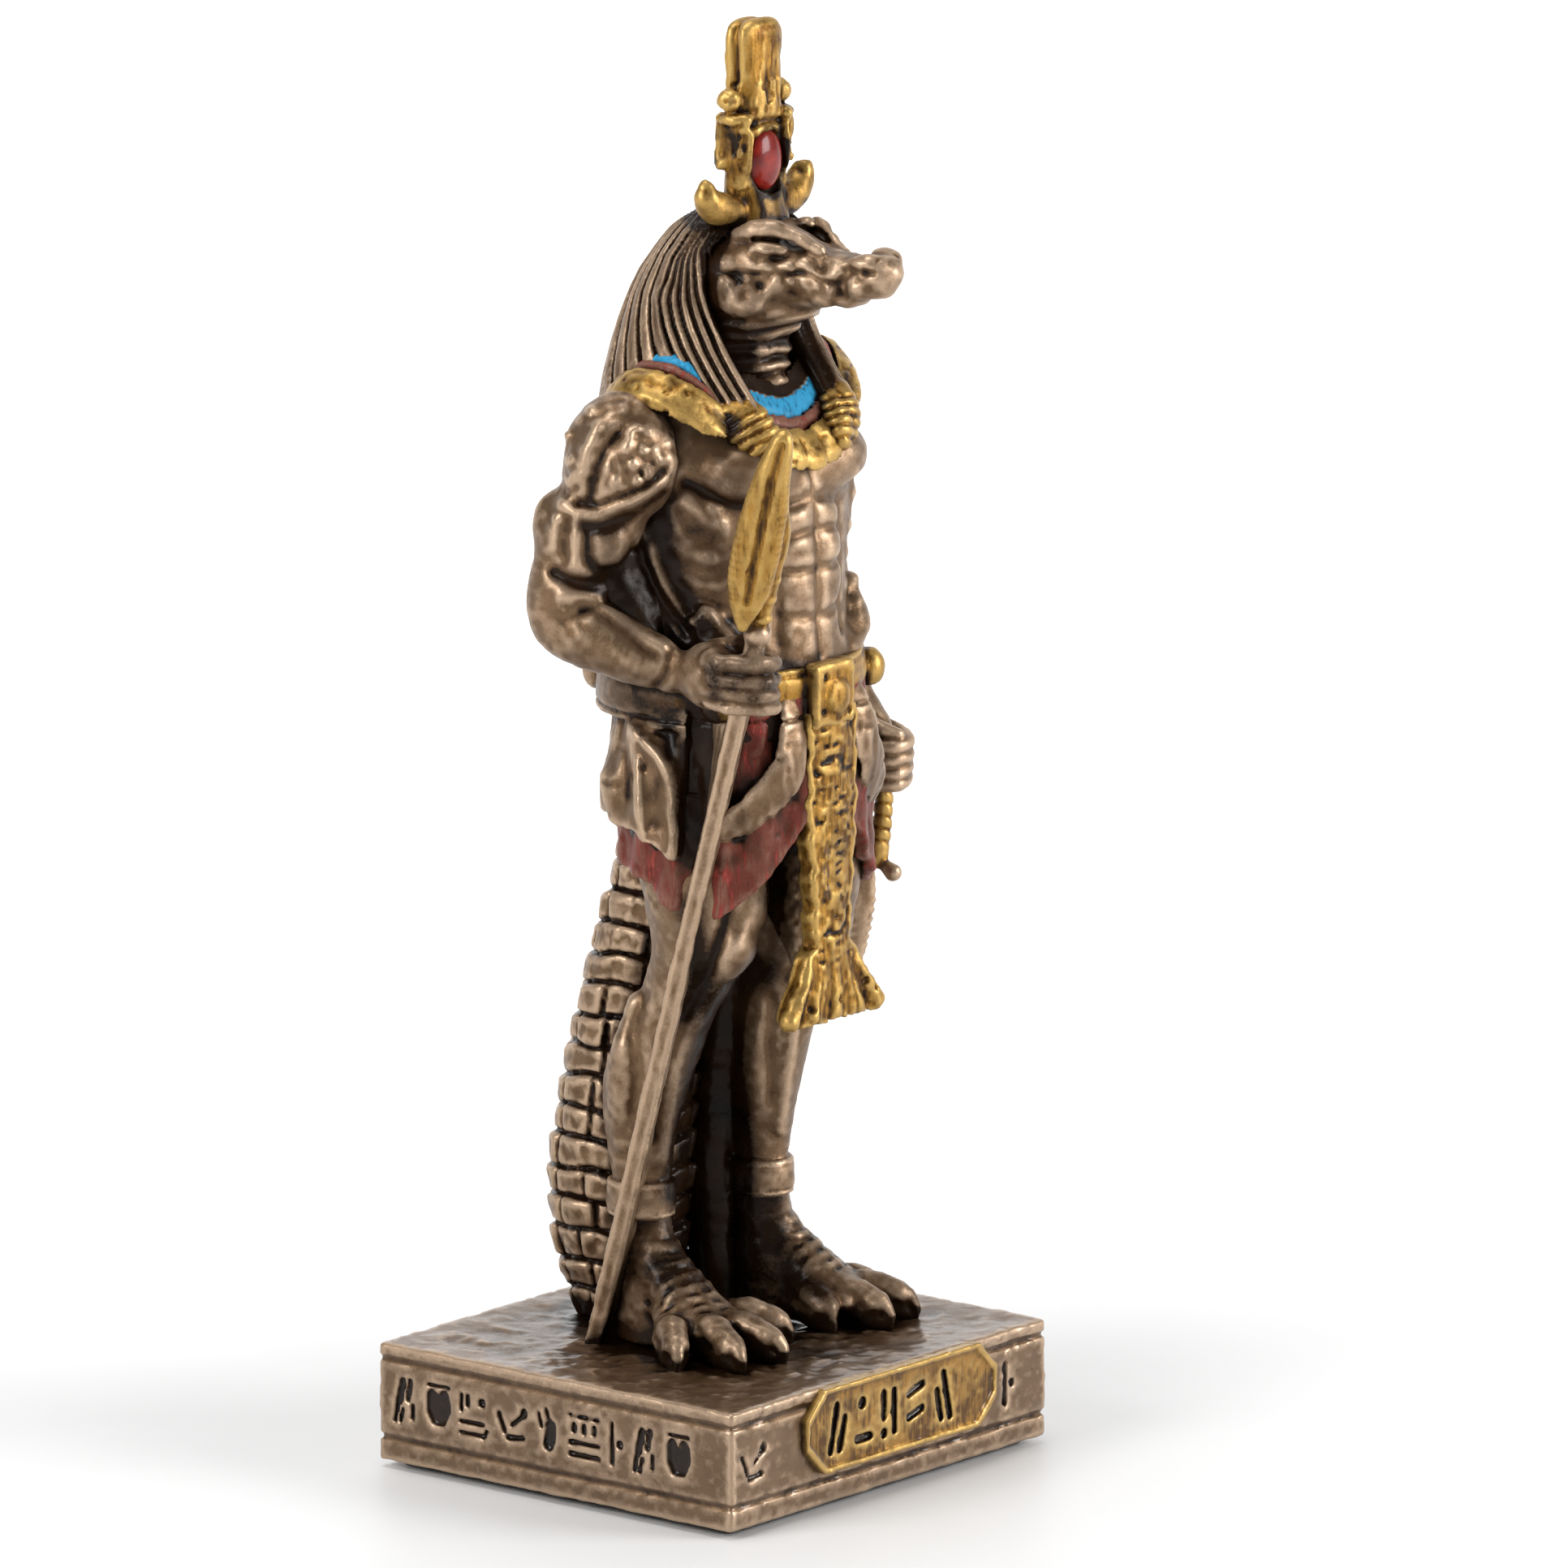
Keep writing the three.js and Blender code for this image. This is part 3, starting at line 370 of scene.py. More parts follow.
def skinned(field):
    """Surface nets: each cube of the grid whose corners lie on both sides of the skin gets a point,
    the mean of the places where the skin crosses its edges, and each crossed edge gets a face that
    joins the four cubes round it."""
    field = field.copy()
    for axis in range(3):
        for end in (0, -1):
            part = [slice(None)] * 3
            part[axis] = end
            field[tuple(part)] = np.maximum(field[tuple(part)], 0.02)
    solid = field < 0
    size = np.array(field.shape)
    count = sum(solid[i:size[0] - 1 + i, j:size[1] - 1 + j, k:size[2] - 1 + k].astype(np.int8)
                for i, j, k in np.ndindex(2, 2, 2))
    cells = np.argwhere((count > 0) & (count < 8))
    number = np.zeros(count.shape, np.int32)
    number[tuple(cells.T)] = np.arange(len(cells))
    stride = np.array([size[1] * size[2], size[2], 1])
    flat = field.ravel()
    base = cells @ stride
    total = np.zeros((len(cells), 3))
    hits = np.zeros(len(cells))
    faces = []
    for axis in range(3):
        u, v = (axis + 1) % 3, (axis + 2) % 3
        for i, j in np.ndindex(2, 2):
            start = np.zeros(3, int)
            start[u], start[v] = i, j
            a = flat[base + start @ stride]
            b = flat[base + start @ stride + stride[axis]]
            crossed = (a < 0) != (b < 0)
            share = np.where(crossed, a / np.where(crossed, a - b, 1), 0)
            total[:, axis] += share
            total[:, u] += crossed * i
            total[:, v] += crossed * j
            hits += crossed
        low, high = [slice(None)] * 3, [slice(None)] * 3
        low[axis], high[axis] = slice(0, -1), slice(1, None)
        first, second = solid[tuple(low)], solid[tuple(high)]
        edges = np.argwhere(first != second)
        edges = edges[(edges[:, u] > 0) & (edges[:, v] > 0)]
        edges = edges[(edges[:, u] < size[u] - 1) & (edges[:, v] < size[v] - 1)]
        ring = []
        for i, j in ((-1, -1), (0, -1), (0, 0), (-1, 0)):
            cell = edges.copy()
            cell[:, u] += i
            cell[:, v] += j
            ring.append(number[tuple(cell.T)])
        ring = np.stack(ring, axis=1)
        outward = first[tuple(edges.T)]
        faces.append(np.where(outward[:, None], ring, ring[:, ::-1]))
    return cells + total / hits[:, None], np.vstack(faces)


def mesh_of(name, points, faces):
    """A mesh in metres from points in mm and rows of four corners."""
    mesh = bpy.data.meshes.new(name)
    mesh.vertices.add(len(points))
    mesh.vertices.foreach_set("co", (points * MM).astype(np.float32).ravel())
    mesh.loops.add(faces.size)
    mesh.loops.foreach_set("vertex_index", faces.astype(np.int32).ravel())
    mesh.polygons.add(len(faces))
    mesh.polygons.foreach_set("loop_start", np.arange(0, faces.size, faces.shape[1], dtype=np.int32))
    mesh.update(calc_edges=True)
    mesh.validate()
    mesh.polygons.foreach_set("use_smooth", np.ones(len(faces), bool))
    return mesh


def placed(name, mesh, node, material):
    """Links a piece, rides it on the one body and lets it stand for its node."""
    piece = bpy.data.objects.new(name, mesh)
    bpy.context.scene.collection.objects.link(piece)
    mesh.materials.clear()
    mesh.materials.append(material)
    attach(piece, "root")
    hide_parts(node)
    return piece


def thinned(name, mesh, faces):
    """The mesh with about this many triangles, its flat parts thinned first."""
    count = 2 * len(mesh.polygons)
    if count <= faces:
        return mesh
    piece = bpy.data.objects.new(name, mesh)
    bpy.context.scene.collection.objects.link(piece)
    modifier = piece.modifiers.new("thin", "DECIMATE")
    modifier.ratio = faces / count
    graph = bpy.context.evaluated_depsgraph_get()
    result = bpy.data.meshes.new_from_object(piece.evaluated_get(graph))
    result.name = name
    bpy.data.objects.remove(piece)
    return result


SHADE_GRAIN = 0.5
SHADE = {"clay": None, "pieces": []}


def shade_block():
    """The coarse block that holds every piece, for the wash that gathers between them."""
    if SHADE["clay"] is None:
        low = np.array([PLINTH_LOW[0], PLINTH_LOW[1], -GROUND]) - 2
        high = np.array([PLINTH_HIGH[0], PLINTH_HIGH[1], CAD_BOX_HIGH - GROUND]) + 2
        SHADE["clay"] = Clay(low, high, SHADE_GRAIN)
    return SHADE["clay"]


def finish(name, clay, material, faces, fine=0.22, node="figure"):
    """Skins a block, thins it, and writes two colour attributes: paint (gold, red, blue, wash) and
    relief (how raised, how hidden close by, how hidden among the pieces)."""
    points, quads = skinned(clay.skin)
    points = (points + clay.first) * clay.grain
    mesh = thinned(name, mesh_of(name, points + [0, 0, GROUND], quads), faces)
    mesh.polygons.foreach_set("use_smooth", np.ones(len(mesh.polygons), bool))
    spots = read_rows(mesh.vertices, "co", 3).astype(float) / MM - [0, 0, GROUND]
    held = np.clip(clay.skin, -0.8, 0.8)
    raised = clay.read(blurred(held, fine / clay.grain) - held, spots) / fine
    wide = blurred(np.clip(0.5 - clay.skin / clay.grain, 0, 1).astype(np.float32), 0.6 / clay.grain)
    hidden = clay.read(wide, spots)
    paints = [clay.read(clay.paints[key], spots) if key in clay.paints else np.zeros(len(spots))
              for key in ("gold", "red", "blue", "wash")]
    write_colour(mesh, "paint", paints)
    write_colour(mesh, "relief", [0.5 + raised, hidden, np.zeros(len(spots))])
    piece = placed(name, mesh, node, material)
    block = shade_block()
    low = clay.first * clay.grain
    cut, axes = block.window(low, low + (clay.size - 1) * clay.grain)
    grid = np.stack(np.broadcast_arrays(*axes), axis=-1).reshape(-1, 3).astype(float)
    inside = np.all((grid >= low) & (grid <= low + (clay.size - 1) * clay.grain), axis=1)
    here = block.skin[cut].ravel()
    here[inside] = np.minimum(here[inside], clay.read(clay.skin, grid[inside]))
    block.skin[cut] = here.reshape(block.skin[cut].shape)
    SHADE["pieces"].append((piece, spots))
    return piece


def read_rows(items, name, width):
    """One property of all vertices, or of all colours, as rows of numbers."""
    values = np.empty(len(items) * width, np.float32)
    items.foreach_get(name, values)
    return values.reshape(-1, width)


def write_colour(mesh, name, columns):
    """Writes three or four shares a point into a colour attribute."""
    values = np.ones((len(mesh.vertices), 4), np.float32)
    for n, column in enumerate(columns):
        values[:, n] = column
    layer = mesh.color_attributes.get(name) or mesh.color_attributes.new(name, "FLOAT_COLOR", "POINT")
    layer.data.foreach_set("color", values.ravel())


def gather_shade():
    """Reads how much resin stands round each point, from near and from afar, out of the coarse
    block, and adds it to the relief of every piece."""
    block = shade_block()
    solid = np.clip(0.5 - block.skin / block.grain, 0, 1).astype(np.float32)
    near, wide = blurred(solid, 0.9 / block.grain), blurred(solid, 2.2 / block.grain)
    for piece, spots in SHADE["pieces"]:
        layer = piece.data.color_attributes["relief"].data
        values = read_rows(layer, "color", 4)
        normals = read_rows(piece.data.vertices, "normal", 3)
        values[:, 2] = 0.5 * block.read(near, spots + 0.9 * normals) \
            + 0.9 * block.read(wide, spots + 2.0 * normals)
        layer.foreach_set("color", values.ravel())
    SHADE["pieces"].clear()


# Materials

def linear(code, alpha=1.0):
    """An sRGB hex colour in linear light."""
    values = [int(code[n:n + 2], 16) / 255 for n in (1, 3, 5)]
    return [v / 12.92 if v <= 0.04045 else ((v + 0.055) / 1.055) ** 2.4 for v in values] + [alpha]


def add_node(tree, kind, inputs=(), stops=(), **settings):
    """Adds a node: its settings, its inputs by place or by name, each a value or another node's
    output, and a ramp's stops, each a place and a grey or a hex colour. Gives its outputs."""
    node = tree.nodes.new("ShaderNode" + kind)
    for name, value in settings.items():
        setattr(node, name, value)
    for key, value in inputs.items() if isinstance(inputs, dict) else enumerate(inputs):
        if isinstance(value, bpy.types.NodeSocket):
            tree.links.new(value, node.inputs[key])
        else:
            node.inputs[key].default_value = value
    for _ in stops[2:]:
        node.color_ramp.elements.new(0.5)
    for n, (place, colour) in enumerate(stops):
        element = node.color_ramp.elements[n]
        element.position = place
        element.color = linear(colour) if isinstance(colour, str) else [colour] * 3 + [1]
    return node.outputs


def new_material(name):
    """An empty material, and the function that adds a node to it."""
    material = bpy.data.materials.new(name)
    material.use_nodes = True
    material.node_tree.nodes.clear()
    return material, partial(add_node, material.node_tree)


def weighed_sum(add, start, *terms):
    """A start plus outputs, each times its weight."""
    for output, weight in terms:
        start = add("Math", [output, weight, start], operation="MULTIPLY_ADD")[0]
    return start


def painted_resin(name, tone, lacquer):
    """Cold-cast resin: polyester filled with bronze powder, poured in a silicone mould. A black
    wash is wiped off so that it stays in the recesses, gold, red and blue are brushed on, and a
    satin lacquer covers all. To the eye: a warm metallic brown, pale where it is rubbed."""
    material, add = new_material(name)
    place = add("TexCoord")["Object"]
    marks = add("Attribute", attribute_name="paint")
    relief = add("Attribute", attribute_name="relief")
    raised, hidden, among = add("SeparateColor", [relief["Color"]])
    longer = add("Mapping", {"Vector": place, "Scale": (1.0, 1.0, 0.14)})[0]
    patch, grit, flake, brush = (
        add("TexNoise", {"Vector": vector, "Scale": 1 / (size * MM), "Detail": detail})[0]
        for vector, size, detail in ((place, 2.2, 5.0), (place, 0.22, 3.0), (place, 0.07, 1.0),
                                     (longer, 0.26, 3.0)))
    uneven, speck, stroke = (weighed_sum(add, -0.5, (noise, 1.0)) for noise in (patch, grit, brush))

    def over(under, paint, share, *stops, mode="MIX"):
        """One colour over another, by a share, which the stops spread from 0 to 1 if given."""
        if stops:
            share = add("ValToRGB", [share], stops)[0]
        return add("Mix", {0: share, 6: under, 7: paint}, data_type="RGBA", blend_type=mode)[2]

    # Wash and painted shade: deep grooves hold the wash, places hidden close by and among the limbs
    # are painted dark as shade and open places a little lighter, and edges are rubbed bare
    depth = weighed_sum(add, 0.0, (marks["Alpha"], 0.8), (uneven, 0.4), (speck, 0.45))
    for share, weight, bare, least in ((raised, -2.1, 0.45, 0.0), (hidden, 3.2, 0.53, 0.0),
                                       (among, 3.2, 0.38, -0.1)):
        part = weighed_sum(add, -weight * bare, (share, weight))
        depth = weighed_sum(add, depth, (add("Math", [part, least], operation="MAXIMUM")[0], 1.0))
    wash_and_shade_share = add("ValToRGB", [depth], [(0.05, 0.0), (0.38, 0.5), (0.85, 1.0)])[0]
    rub = weighed_sum(add, -1.7, (raised, 3.4), (uneven, 0.5), (speck, 0.4))
    rubbed = add("ValToRGB", [rub], [(0.05, 0.0), (0.75, 1.0)])[0]
    metal = over(tone["bronze"], tone["bronze_dark"], patch, (0.35, 0.0), (0.75, 0.45))
    metal = over(metal, tone["bronze_rubbed"], rubbed)
    masks = []
    for output, noise in zip(add("SeparateColor", [marks["Color"]]), (0.25, 0.0, 0.15)):
        edge = weighed_sum(add, output, (uneven, noise), (speck, noise))
        masks.append(add("ValToRGB", [edge], [(0.42, 0.0), (0.58, 1.0)])[0])
    # Red is dry-brushed in long strokes, so that bronze shows between them
    strokes = weighed_sum(add, 0.0, (stroke, 1.7), (uneven, 1.1))
    brushed = add("ValToRGB", [strokes], [(0.0, 0.75), (0.3, 1.0)])[0]
    masks[1] = add("Math", [masks[1], brushed], operation="MULTIPLY")[0]
    tint = weighed_sum(add, 0.5, (stroke, 1.0), (uneven, 1.0))
    gilt = over(tone["gold_dark"], tone["gold"], tint, (0.36, 0.0), (0.6, 1.0))
    gilt = over(gilt, tone["gold_rubbed"], rubbed)
    red = over(tone["red"], tone["red_rubbed"], strokes, (0.1, 0.0), (0.6, 1.0))
    blue = over(tone["blue"], tone["blue_dark"], stroke, (0.0, 0.0), (0.2, 1.0))
    colour = metal
    for paint, mask in zip((gilt, red, blue), masks):
        colour = over(colour, paint, mask)
    sparkle = add("ValToRGB", [flake], [(0.32, 0.8), (0.68, 1.0)])[0]
    colour = over(colour, sparkle, 1.0, mode="MULTIPLY")
    # The dark of the wash and of the painted shade turns brown where it is thin
    thin = add("Math", [weighed_sum(add, 1.25, (uneven, 1.0)), wash_and_shade_share], operation="SUBTRACT",
               use_clamp=True)[0]
    colour = over(colour, over(tone["wash"], tone["wash_brown"], thin), wash_and_shade_share)
    matt = add("Math", masks[1:], operation="MAXIMUM")[0]
    shine = [weighed_sum(add, 1.0, (matt, -1.0)), weighed_sum(add, 0.75, (wash_and_shade_share, -0.675))]
    bump = {"Strength": 0.35, "Distance": 0.05 * MM, "Height": weighed_sum(add, grit, (flake, 0.5))}
    surface = add("BsdfPrincipled", {
        "Base Color": colour, "Metallic": add("Math", shine, operation="MULTIPLY")[0],
        "Roughness": weighed_sum(add, 0.43, (speck, 0.22), (uneven, 0.15), (wash_and_shade_share, -0.12)),
        "Specular IOR Level": 0.1, "Coat Weight": lacquer, "Coat Roughness": 0.16, "Coat IOR": 1.4,
        "Normal": add("Bump", bump)[0]})
    add("OutputMaterial", {"Surface": surface[0]})
    return material


# Each resin's material and how thick its clear coat is
RESINS = {"figure_resin": ("cold_cast_bronze_resin", 0.05), "plinth_resin": ("lacquered_bronze_resin", 0.55)}


def resin_material(slot):
    """The figure's satin resin, or the plinth's under a thicker coat of lacquer."""
    name, lacquer = RESINS[slot]
    if name in bpy.data.materials:
        return bpy.data.materials[name]
    colours = bpy.context.scene.figure_colours
    tones = {tone: (*getattr(colours, tone), 1.0) for tone in colours.__annotations__}
    return painted_resin(name, tones, lacquer)


def grooves(value, pitch, width):
    """1 along lines this far apart, and 0 between them, each about as wide as twice the width."""
    return hill((np.mod(value / pitch, 1) - 0.5) * pitch, width)


def at_side(side, rows):
    """Rows given for the left side, or the same on the right."""
    return [[side * row[0], *row[1:]] for row in rows]


# Head and neck

HEAD_ROWS = table("""
    0 .6 66.6 3 2.2, 0 -2.3 66.8 4.2 3.1, 0 -4.5 66.85 4.1 2.85, 0 -6.3 66.8 3.35 2.4,
    0 -8.1 66.65 2.6 1.95, 0 -9.8 66.6 2.05 1.6, 0 -11.4 66.8 1.65 1.3, 0 -12.6 67.1 1.6 1.2,
    0 -13.5 67.4 1.1 .8""")
NECK_ROWS = table("""
    0 -1.8 55.6 3.2 3.2, 0 -1.8 59 2.95 3.3, 0 -1.8 60.4 3 3.2, 0 -1.9 62.2 3.3 3.2,
    0 -2.4 63.2 3.5 3.6, 0 -3.2 64.3 3.6 4.1, 0 -2.8 67 3.8 3.4""")
MOUTH = np.array(table("""
    3.5 67, 6 66.9, 7.4 67.15, 8.6 67.2, 9.7 66.75, 10.7 66.7, 11.7 66.95, 12.9 67.2, 14.2 67.25"""))


HEAD_LINES = lines_of("""
    -.32 .17: -3.1 -5.7 69, -2.6 -6.7 68.95, -2 -7.7 68.75;
    .22 .24: -3.3 -5.7 68.35, -2.6 -6.8 68.2, -1.9 -7.8 68.25; .3 .55: -4.2 -4.2 67.6;
    .24 .5: -3.6 -5.8 67.8; .3 .5: -3.3 -6.8 67.6; .26 .46: -2.9 -7.9 67.6; .3 .5: -2.2 -8.8 67.9;
    .26 .5: -1.5 -9.9 68.1, -1.3 -11 67.9; -.28 .5: -3 -7.2 68.1; -.26 .5: -1.9 -9.9 67.4;
    -.2 .45: -1.6 -11.5 67.35; -.32 .24: -1.45 -13 67.55, -1.2 -13.4 67.5; -.16 .2: -.6 -13.2 68.15;
    -.45 .5: -3.7 -5.1 66.5; -.25 .42: -3.3 -6.3 66.2; -.5 .6: -2.6 -8.4 66.1; -.3 .5: -1.8 -11.4 66.35;
    .3 .6: -3.1 -6.7 65.6; .25 .5: -3.9 -4.2 66.4;
    .3 .55: -4.2 -5 65.1, -3.6 -6.4 64.8, -2.9 -8.2 64.9, -2.2 -9.9 65.4; .24 .5: -2.1 -10.6 66;
    .2 .45: -1.5 -12.4 66.3; -.2 .4: -3.9 -5.6 65.6""")


# Lines of black wash in the grooves of the face, and of painted shade along the jaw and over the top of the
# head next to the crown
HEAD_WASH_AND_SHADE = lines_of("""
    .35 .25: -3.1 -5.7 69, -2.6 -6.7 68.95, -2 -7.7 68.75; .6 .6: -3.7 -5.1 66.4; .8 .65: -2.6 -8.4 66;
    .6 .45: -1.8 -11.4 66.3; .5 .35: -1.4 -13.1 67.6; .4 .5: -1.9 -9.9 67.4;
    .45 .9: -3.9 -5.4 65.6, -3 -7.4 65.4; .5 1.1: -2.2 -4.4 70.2, -1.2 -6 70, -.3 -7.6 69.4;
    .35 .6: -3 -7.2 68.1""")


def sculpt_head():
    """The crocodile's head: oval sections along the snout, then brows, eyes and nostrils; the
    cheeks, jaw ridges, hollows and a waved mouth are drawn on them."""
    clay = Clay([-5.4, -14.9, 55.6], [5.4, 1.4, 71.0], 0.12)
    clay.add(stack(NECK_ROWS))
    clay.add(stack(HEAD_ROWS, axis=1), 1.0)
    clay.add(ball([0, -13.1, 67.25], [1.5, 1.15, 1.2]), 0.4)
    clay.add(ball([0, -12.7, 66.3], [1.1, 0.8, 0.55]), 0.4)
    clay.add(ball([0, -10.9, 65.65], [1.15, 1.1, 0.75]), 0.4)
    for side in (-1, 1):
        clay.add(ball([side * 3.3, -4.4, 65.6], [1.2, 2.1, 1.4]), 0.5)
        drop = 0.0 if side < 0 else 0.55
        clay.add(limb([[side * x, y, z - drop, r] for x, y, z, r in
                       ((2.9, -4.0, 69.0, 0.4), (2.8, -5.4, 69.5, 0.55), (2.3, -6.6, 69.55, 0.55),
                        (1.7, -7.9, 69.1, 0.45), (1.2, -9.2, 68.5, 0.3))]), 0.4)
        clay.add(ball([side * 2.3, -6.2, 68.4], [0.9, 1.4, 0.65]), 0.3)
        clay.add(ball([side * 0.95, -12.5, 67.95], [0.82, 1.0, 0.66]), 0.4)
    clay.add(ball([1.75, -5.8, 69.15], [0.65, 0.8, 0.6]), 0.2)

    def skin(p):
        x, y, z = p.T
        gap = z - np.interp(-y, *MOUTH.T) - 0.25 * cloud(p, 0.8, 2)
        jaws = ease(-y, 3.6, 4.6) * ease(z, 64.2, 64.9) * np.clip(0.5 + 0.8 * cloud(p, 0.9, 4), 0, 1) \
            * ease(y, -13.0, -11.6)
        lips = 0.08 * hill(gap - 0.42, 0.3) - 0.32 * hill(gap, 0.26) \
            + 0.1 * hill(gap + 0.45, 0.26) * np.cos(2 * np.pi * y / 0.8)
        lumps = 0.2 * cloud(p, 1.5, 3) + 0.09 * cloud(p, 0.75, 5) + 0.02 * cloud(p, 0.3, 6)
        pits = -0.05 * ease(cloud(p, 0.55, 13), 0.4, 0.8) * ease(y, -12.4, -11.4)
        throat = ease(64.4 - z, 0, 0.8) * ease(-y, 1.0, 3.0)
        wave = (z + 0.15 * np.abs(x) + 0.4 * cloud(p * [0.5, 0.5, 1], 1.4, 8)) / 1.05
        folds = 0.2 * np.cos(2 * np.pi * wave) * (0.75 + 0.6 * cloud(p, 1.6, 9))
        return jaws * lips + lumps + pits * ease(-y, 3.0, 4.0) + throat * folds + 0.72 * drawn(p, HEAD_LINES)

    def darkening(p):
        x, y, z = p.T
        # Painted shade: darker at the back of the head under the wig, on the neck under the collar and under
        # the jaw; the blots are random
        behind = 1.3 * ease(y, -4.3, -3.6) + 0.4 * ease(y, -5.6, -4.3) + 1.5 * ease(59.9 - z, 0, 0.9)
        blots = 0.25 * ease(cloud(p, 1.0, 14), 0.1, 0.7)
        return 0.65 * drawn(p, HEAD_WASH_AND_SHADE) + behind + blots \
            + 0.7 * ease(64.6 - z, 0, 1.0) * ease(np.abs(x), 0.6, 2.2) + 0.12
    return clay.press(skin).darken(darkening)


# Wig

WIG_ROWS = np.array(table("""
    0 -2.3 70.2 2.6 2.4, 0 -2.2 68.8 4.5 4.2, 0 -1 66 5.6 5.1, 0 -.2 63 6.2 5.8, 0 .2 60 7 6.2,
    0 .4 57.6 7.3 6.4"""))
FRONT_STRANDS = 5
BACK_STRANDS = 9
STRANDS_BEGIN = np.array(table("""
    57 .46, 58.2 .52, 59.4 .57, 60.6 .66, 62.3 .8, 64.3 .95, 65.8 1.04, 67.2 1.09, 68.2 1.1, 69.2 .98,
    70.2 1"""))
STRANDS_END = np.array(table("""
    57 .8, 58.2 .92, 59.4 1.06, 60.6 1.2, 62.3 1.38, 63.6 1.48, 65.1 1.54, 67.5 1.48, 69.8 1.23"""))
LAPPET = table("""
    5 -1.4 65.4 1.4 .7, 4.9 -2 64.2 1.7 .8, 4.8 -2.8 62.3 1.85 .85, 4.76 -4 60.6 1.85 .85,
    4.6 -5 59.4 1.8 .85, 4.5 -6 58.2 1.6 .9, 4.35 -6.5 57.5 1.3 .8""")
TIE = table("""
    4.55 -5.75 58.5 1.7 .95, 4.4 -6.25 57.8 1.8 1.12, 4.2 -6.65 57.1 1.65 1.1, 4 -7 56.4 1.2 .85""")


def broader(rows):
    """The left lappet or its tie again, nearer the neck and a little lower."""
    return [[x - 0.9, y - 0.2, z - 0.4, a * 1.1, b] for x, y, z, a, b in rows]


def strand_places(p):
    """For points on the wig: how far from the nearest groove between strands, how far apart the
    grooves are there, a number for the strand, and how far before the first strand."""
    x, y, z = p.T
    turn, reach = np.arctan2(np.abs(x), -(y + 0.5)), np.hypot(x, y + 0.5)
    begin, end = np.interp(z, *STRANDS_BEGIN.T), np.interp(z, *STRANDS_END.T)
    front = turn < end
    step = np.where(front, (end - begin) / FRONT_STRANDS, (np.pi - end) / BACK_STRANDS)
    own = np.where(front, turn - begin, turn - end) / step
    number = np.stack([np.floor(own), front, x > 0], axis=-1)
    return (own - np.round(own)) * reach * step, reach * step, number, (begin - turn) * reach


def sculpt_wig():
    """The long wig: a bell with a tunnel for the face and a lappet on each side of it that runs
    forward to a gold tie. Black grooves divide it into flat strands that fan out from the crown."""
    clay = Clay([-8.4, -8.8, 55.2], [8.4, 8.0, 70.8], 0.13, ("gold",))
    clay.add(stack(WIG_ROWS))
    clay.carve(stack([[0, -6.2, 55.5, 6.6, 6.0], [0, -6.0, 60, 5.8, 5.6], [0, -5.4, 63, 5.0, 5.0],
                      [0, -5.4, 66, 4.75, 5.0], [0, -5.6, 68, 4.2, 4.4], [0, -6.0, 69.2, 3.2, 3.2]]), 0.3)
    for side in (-1, 1):
        clay.add(limb(at_side(side, LAPPET), 6, [-side * 0.6, -0.8, 0.0]), 0.4)
    clay.add(limb(broader(LAPPET), 6, [-0.6, -0.8, 0.0]), 0.4)

    def strands(p):
        gap, pitch, number, before = strand_places(p)
        height = 0.22 * (lattice(number, 3) - 0.5) * np.minimum(pitch, 0.7)
        deep = hill(gap, 0.11) * np.minimum(0.42, 0.55 * pitch)
        offset = np.abs(np.abs(gap) - pitch * (0.16 + 0.16 * lattice(number, 4)))
        hair = hill(offset, 0.05) * 0.12 * (lattice(number, 5) > 0.3)
        return height - deep - hair + 0.04 * cloud(p * [1, 1, 0.2], 0.4, 6) - 0.35 * ease(before, -0.05, 0.3)

    def grooves_and_painted_shade(p):
        gap, pitch, number, before = strand_places(p)
        worn = 0.25 * ease(cloud(p * [1, 1, 0.4], 0.9, 9), -0.1, 0.6)
        # Painted shade: darker inside the wig's opening round the face and at its top under the crown; the
        # grooves between strands hold wash, and each strand's tone is random
        return 0.8 * hill(gap, 0.12) + 0.25 + worn + 0.35 * lattice(number, 6) \
            + 1.6 * ease(before, -0.1, 0.2) * (p[:, 1] < 1) \
            + 0.8 * ease(p[:, 2], 69.0, 69.8)
    clay.press(strands).darken(grooves_and_painted_shade)
    for side in (-1, 1):
        clay.add(limb(at_side(side, TIE), 6, [-side * 0.6, -0.8, 0.0]), 0.05, "gold")
    clay.add(limb(broader(TIE), 6, [-0.6, -0.8, 0.0]), 0.05, "gold")

    def wraps(p):
        x, y, z = p.T
        along = -0.167 * np.abs(x) - 0.541 * y - 0.825 * z
        tied = ease(58.9 - z, 0.0, 0.3) * (y < -4.4)
        return -0.18 * tied * grooves(along + 0.1 * cloud(p, 1.0, 7), 0.62, 0.11) \
            + 0.06 * tied * cloud(p, 0.5, 8)

    def thin_gold(p):
        x, y, z = p.T
        return 0.9 * ease(58.9 - z, 0.0, 0.3) * (y < -4.4) \
            * (ease(np.abs(x), 4.9, 5.8) + 0.5 * ease(cloud(p, 0.7, 15), 0.2, 0.6))
    return clay.press(wraps).darken(thin_gold)


# Bead collar

COLLAR_Y = -1.4
COLLAR_BANDS = [(0.5, 0.61, None), (0.61, 0.705, "blue"), (0.705, 0.78, "red"), (0.78, 1.0, "gold")]


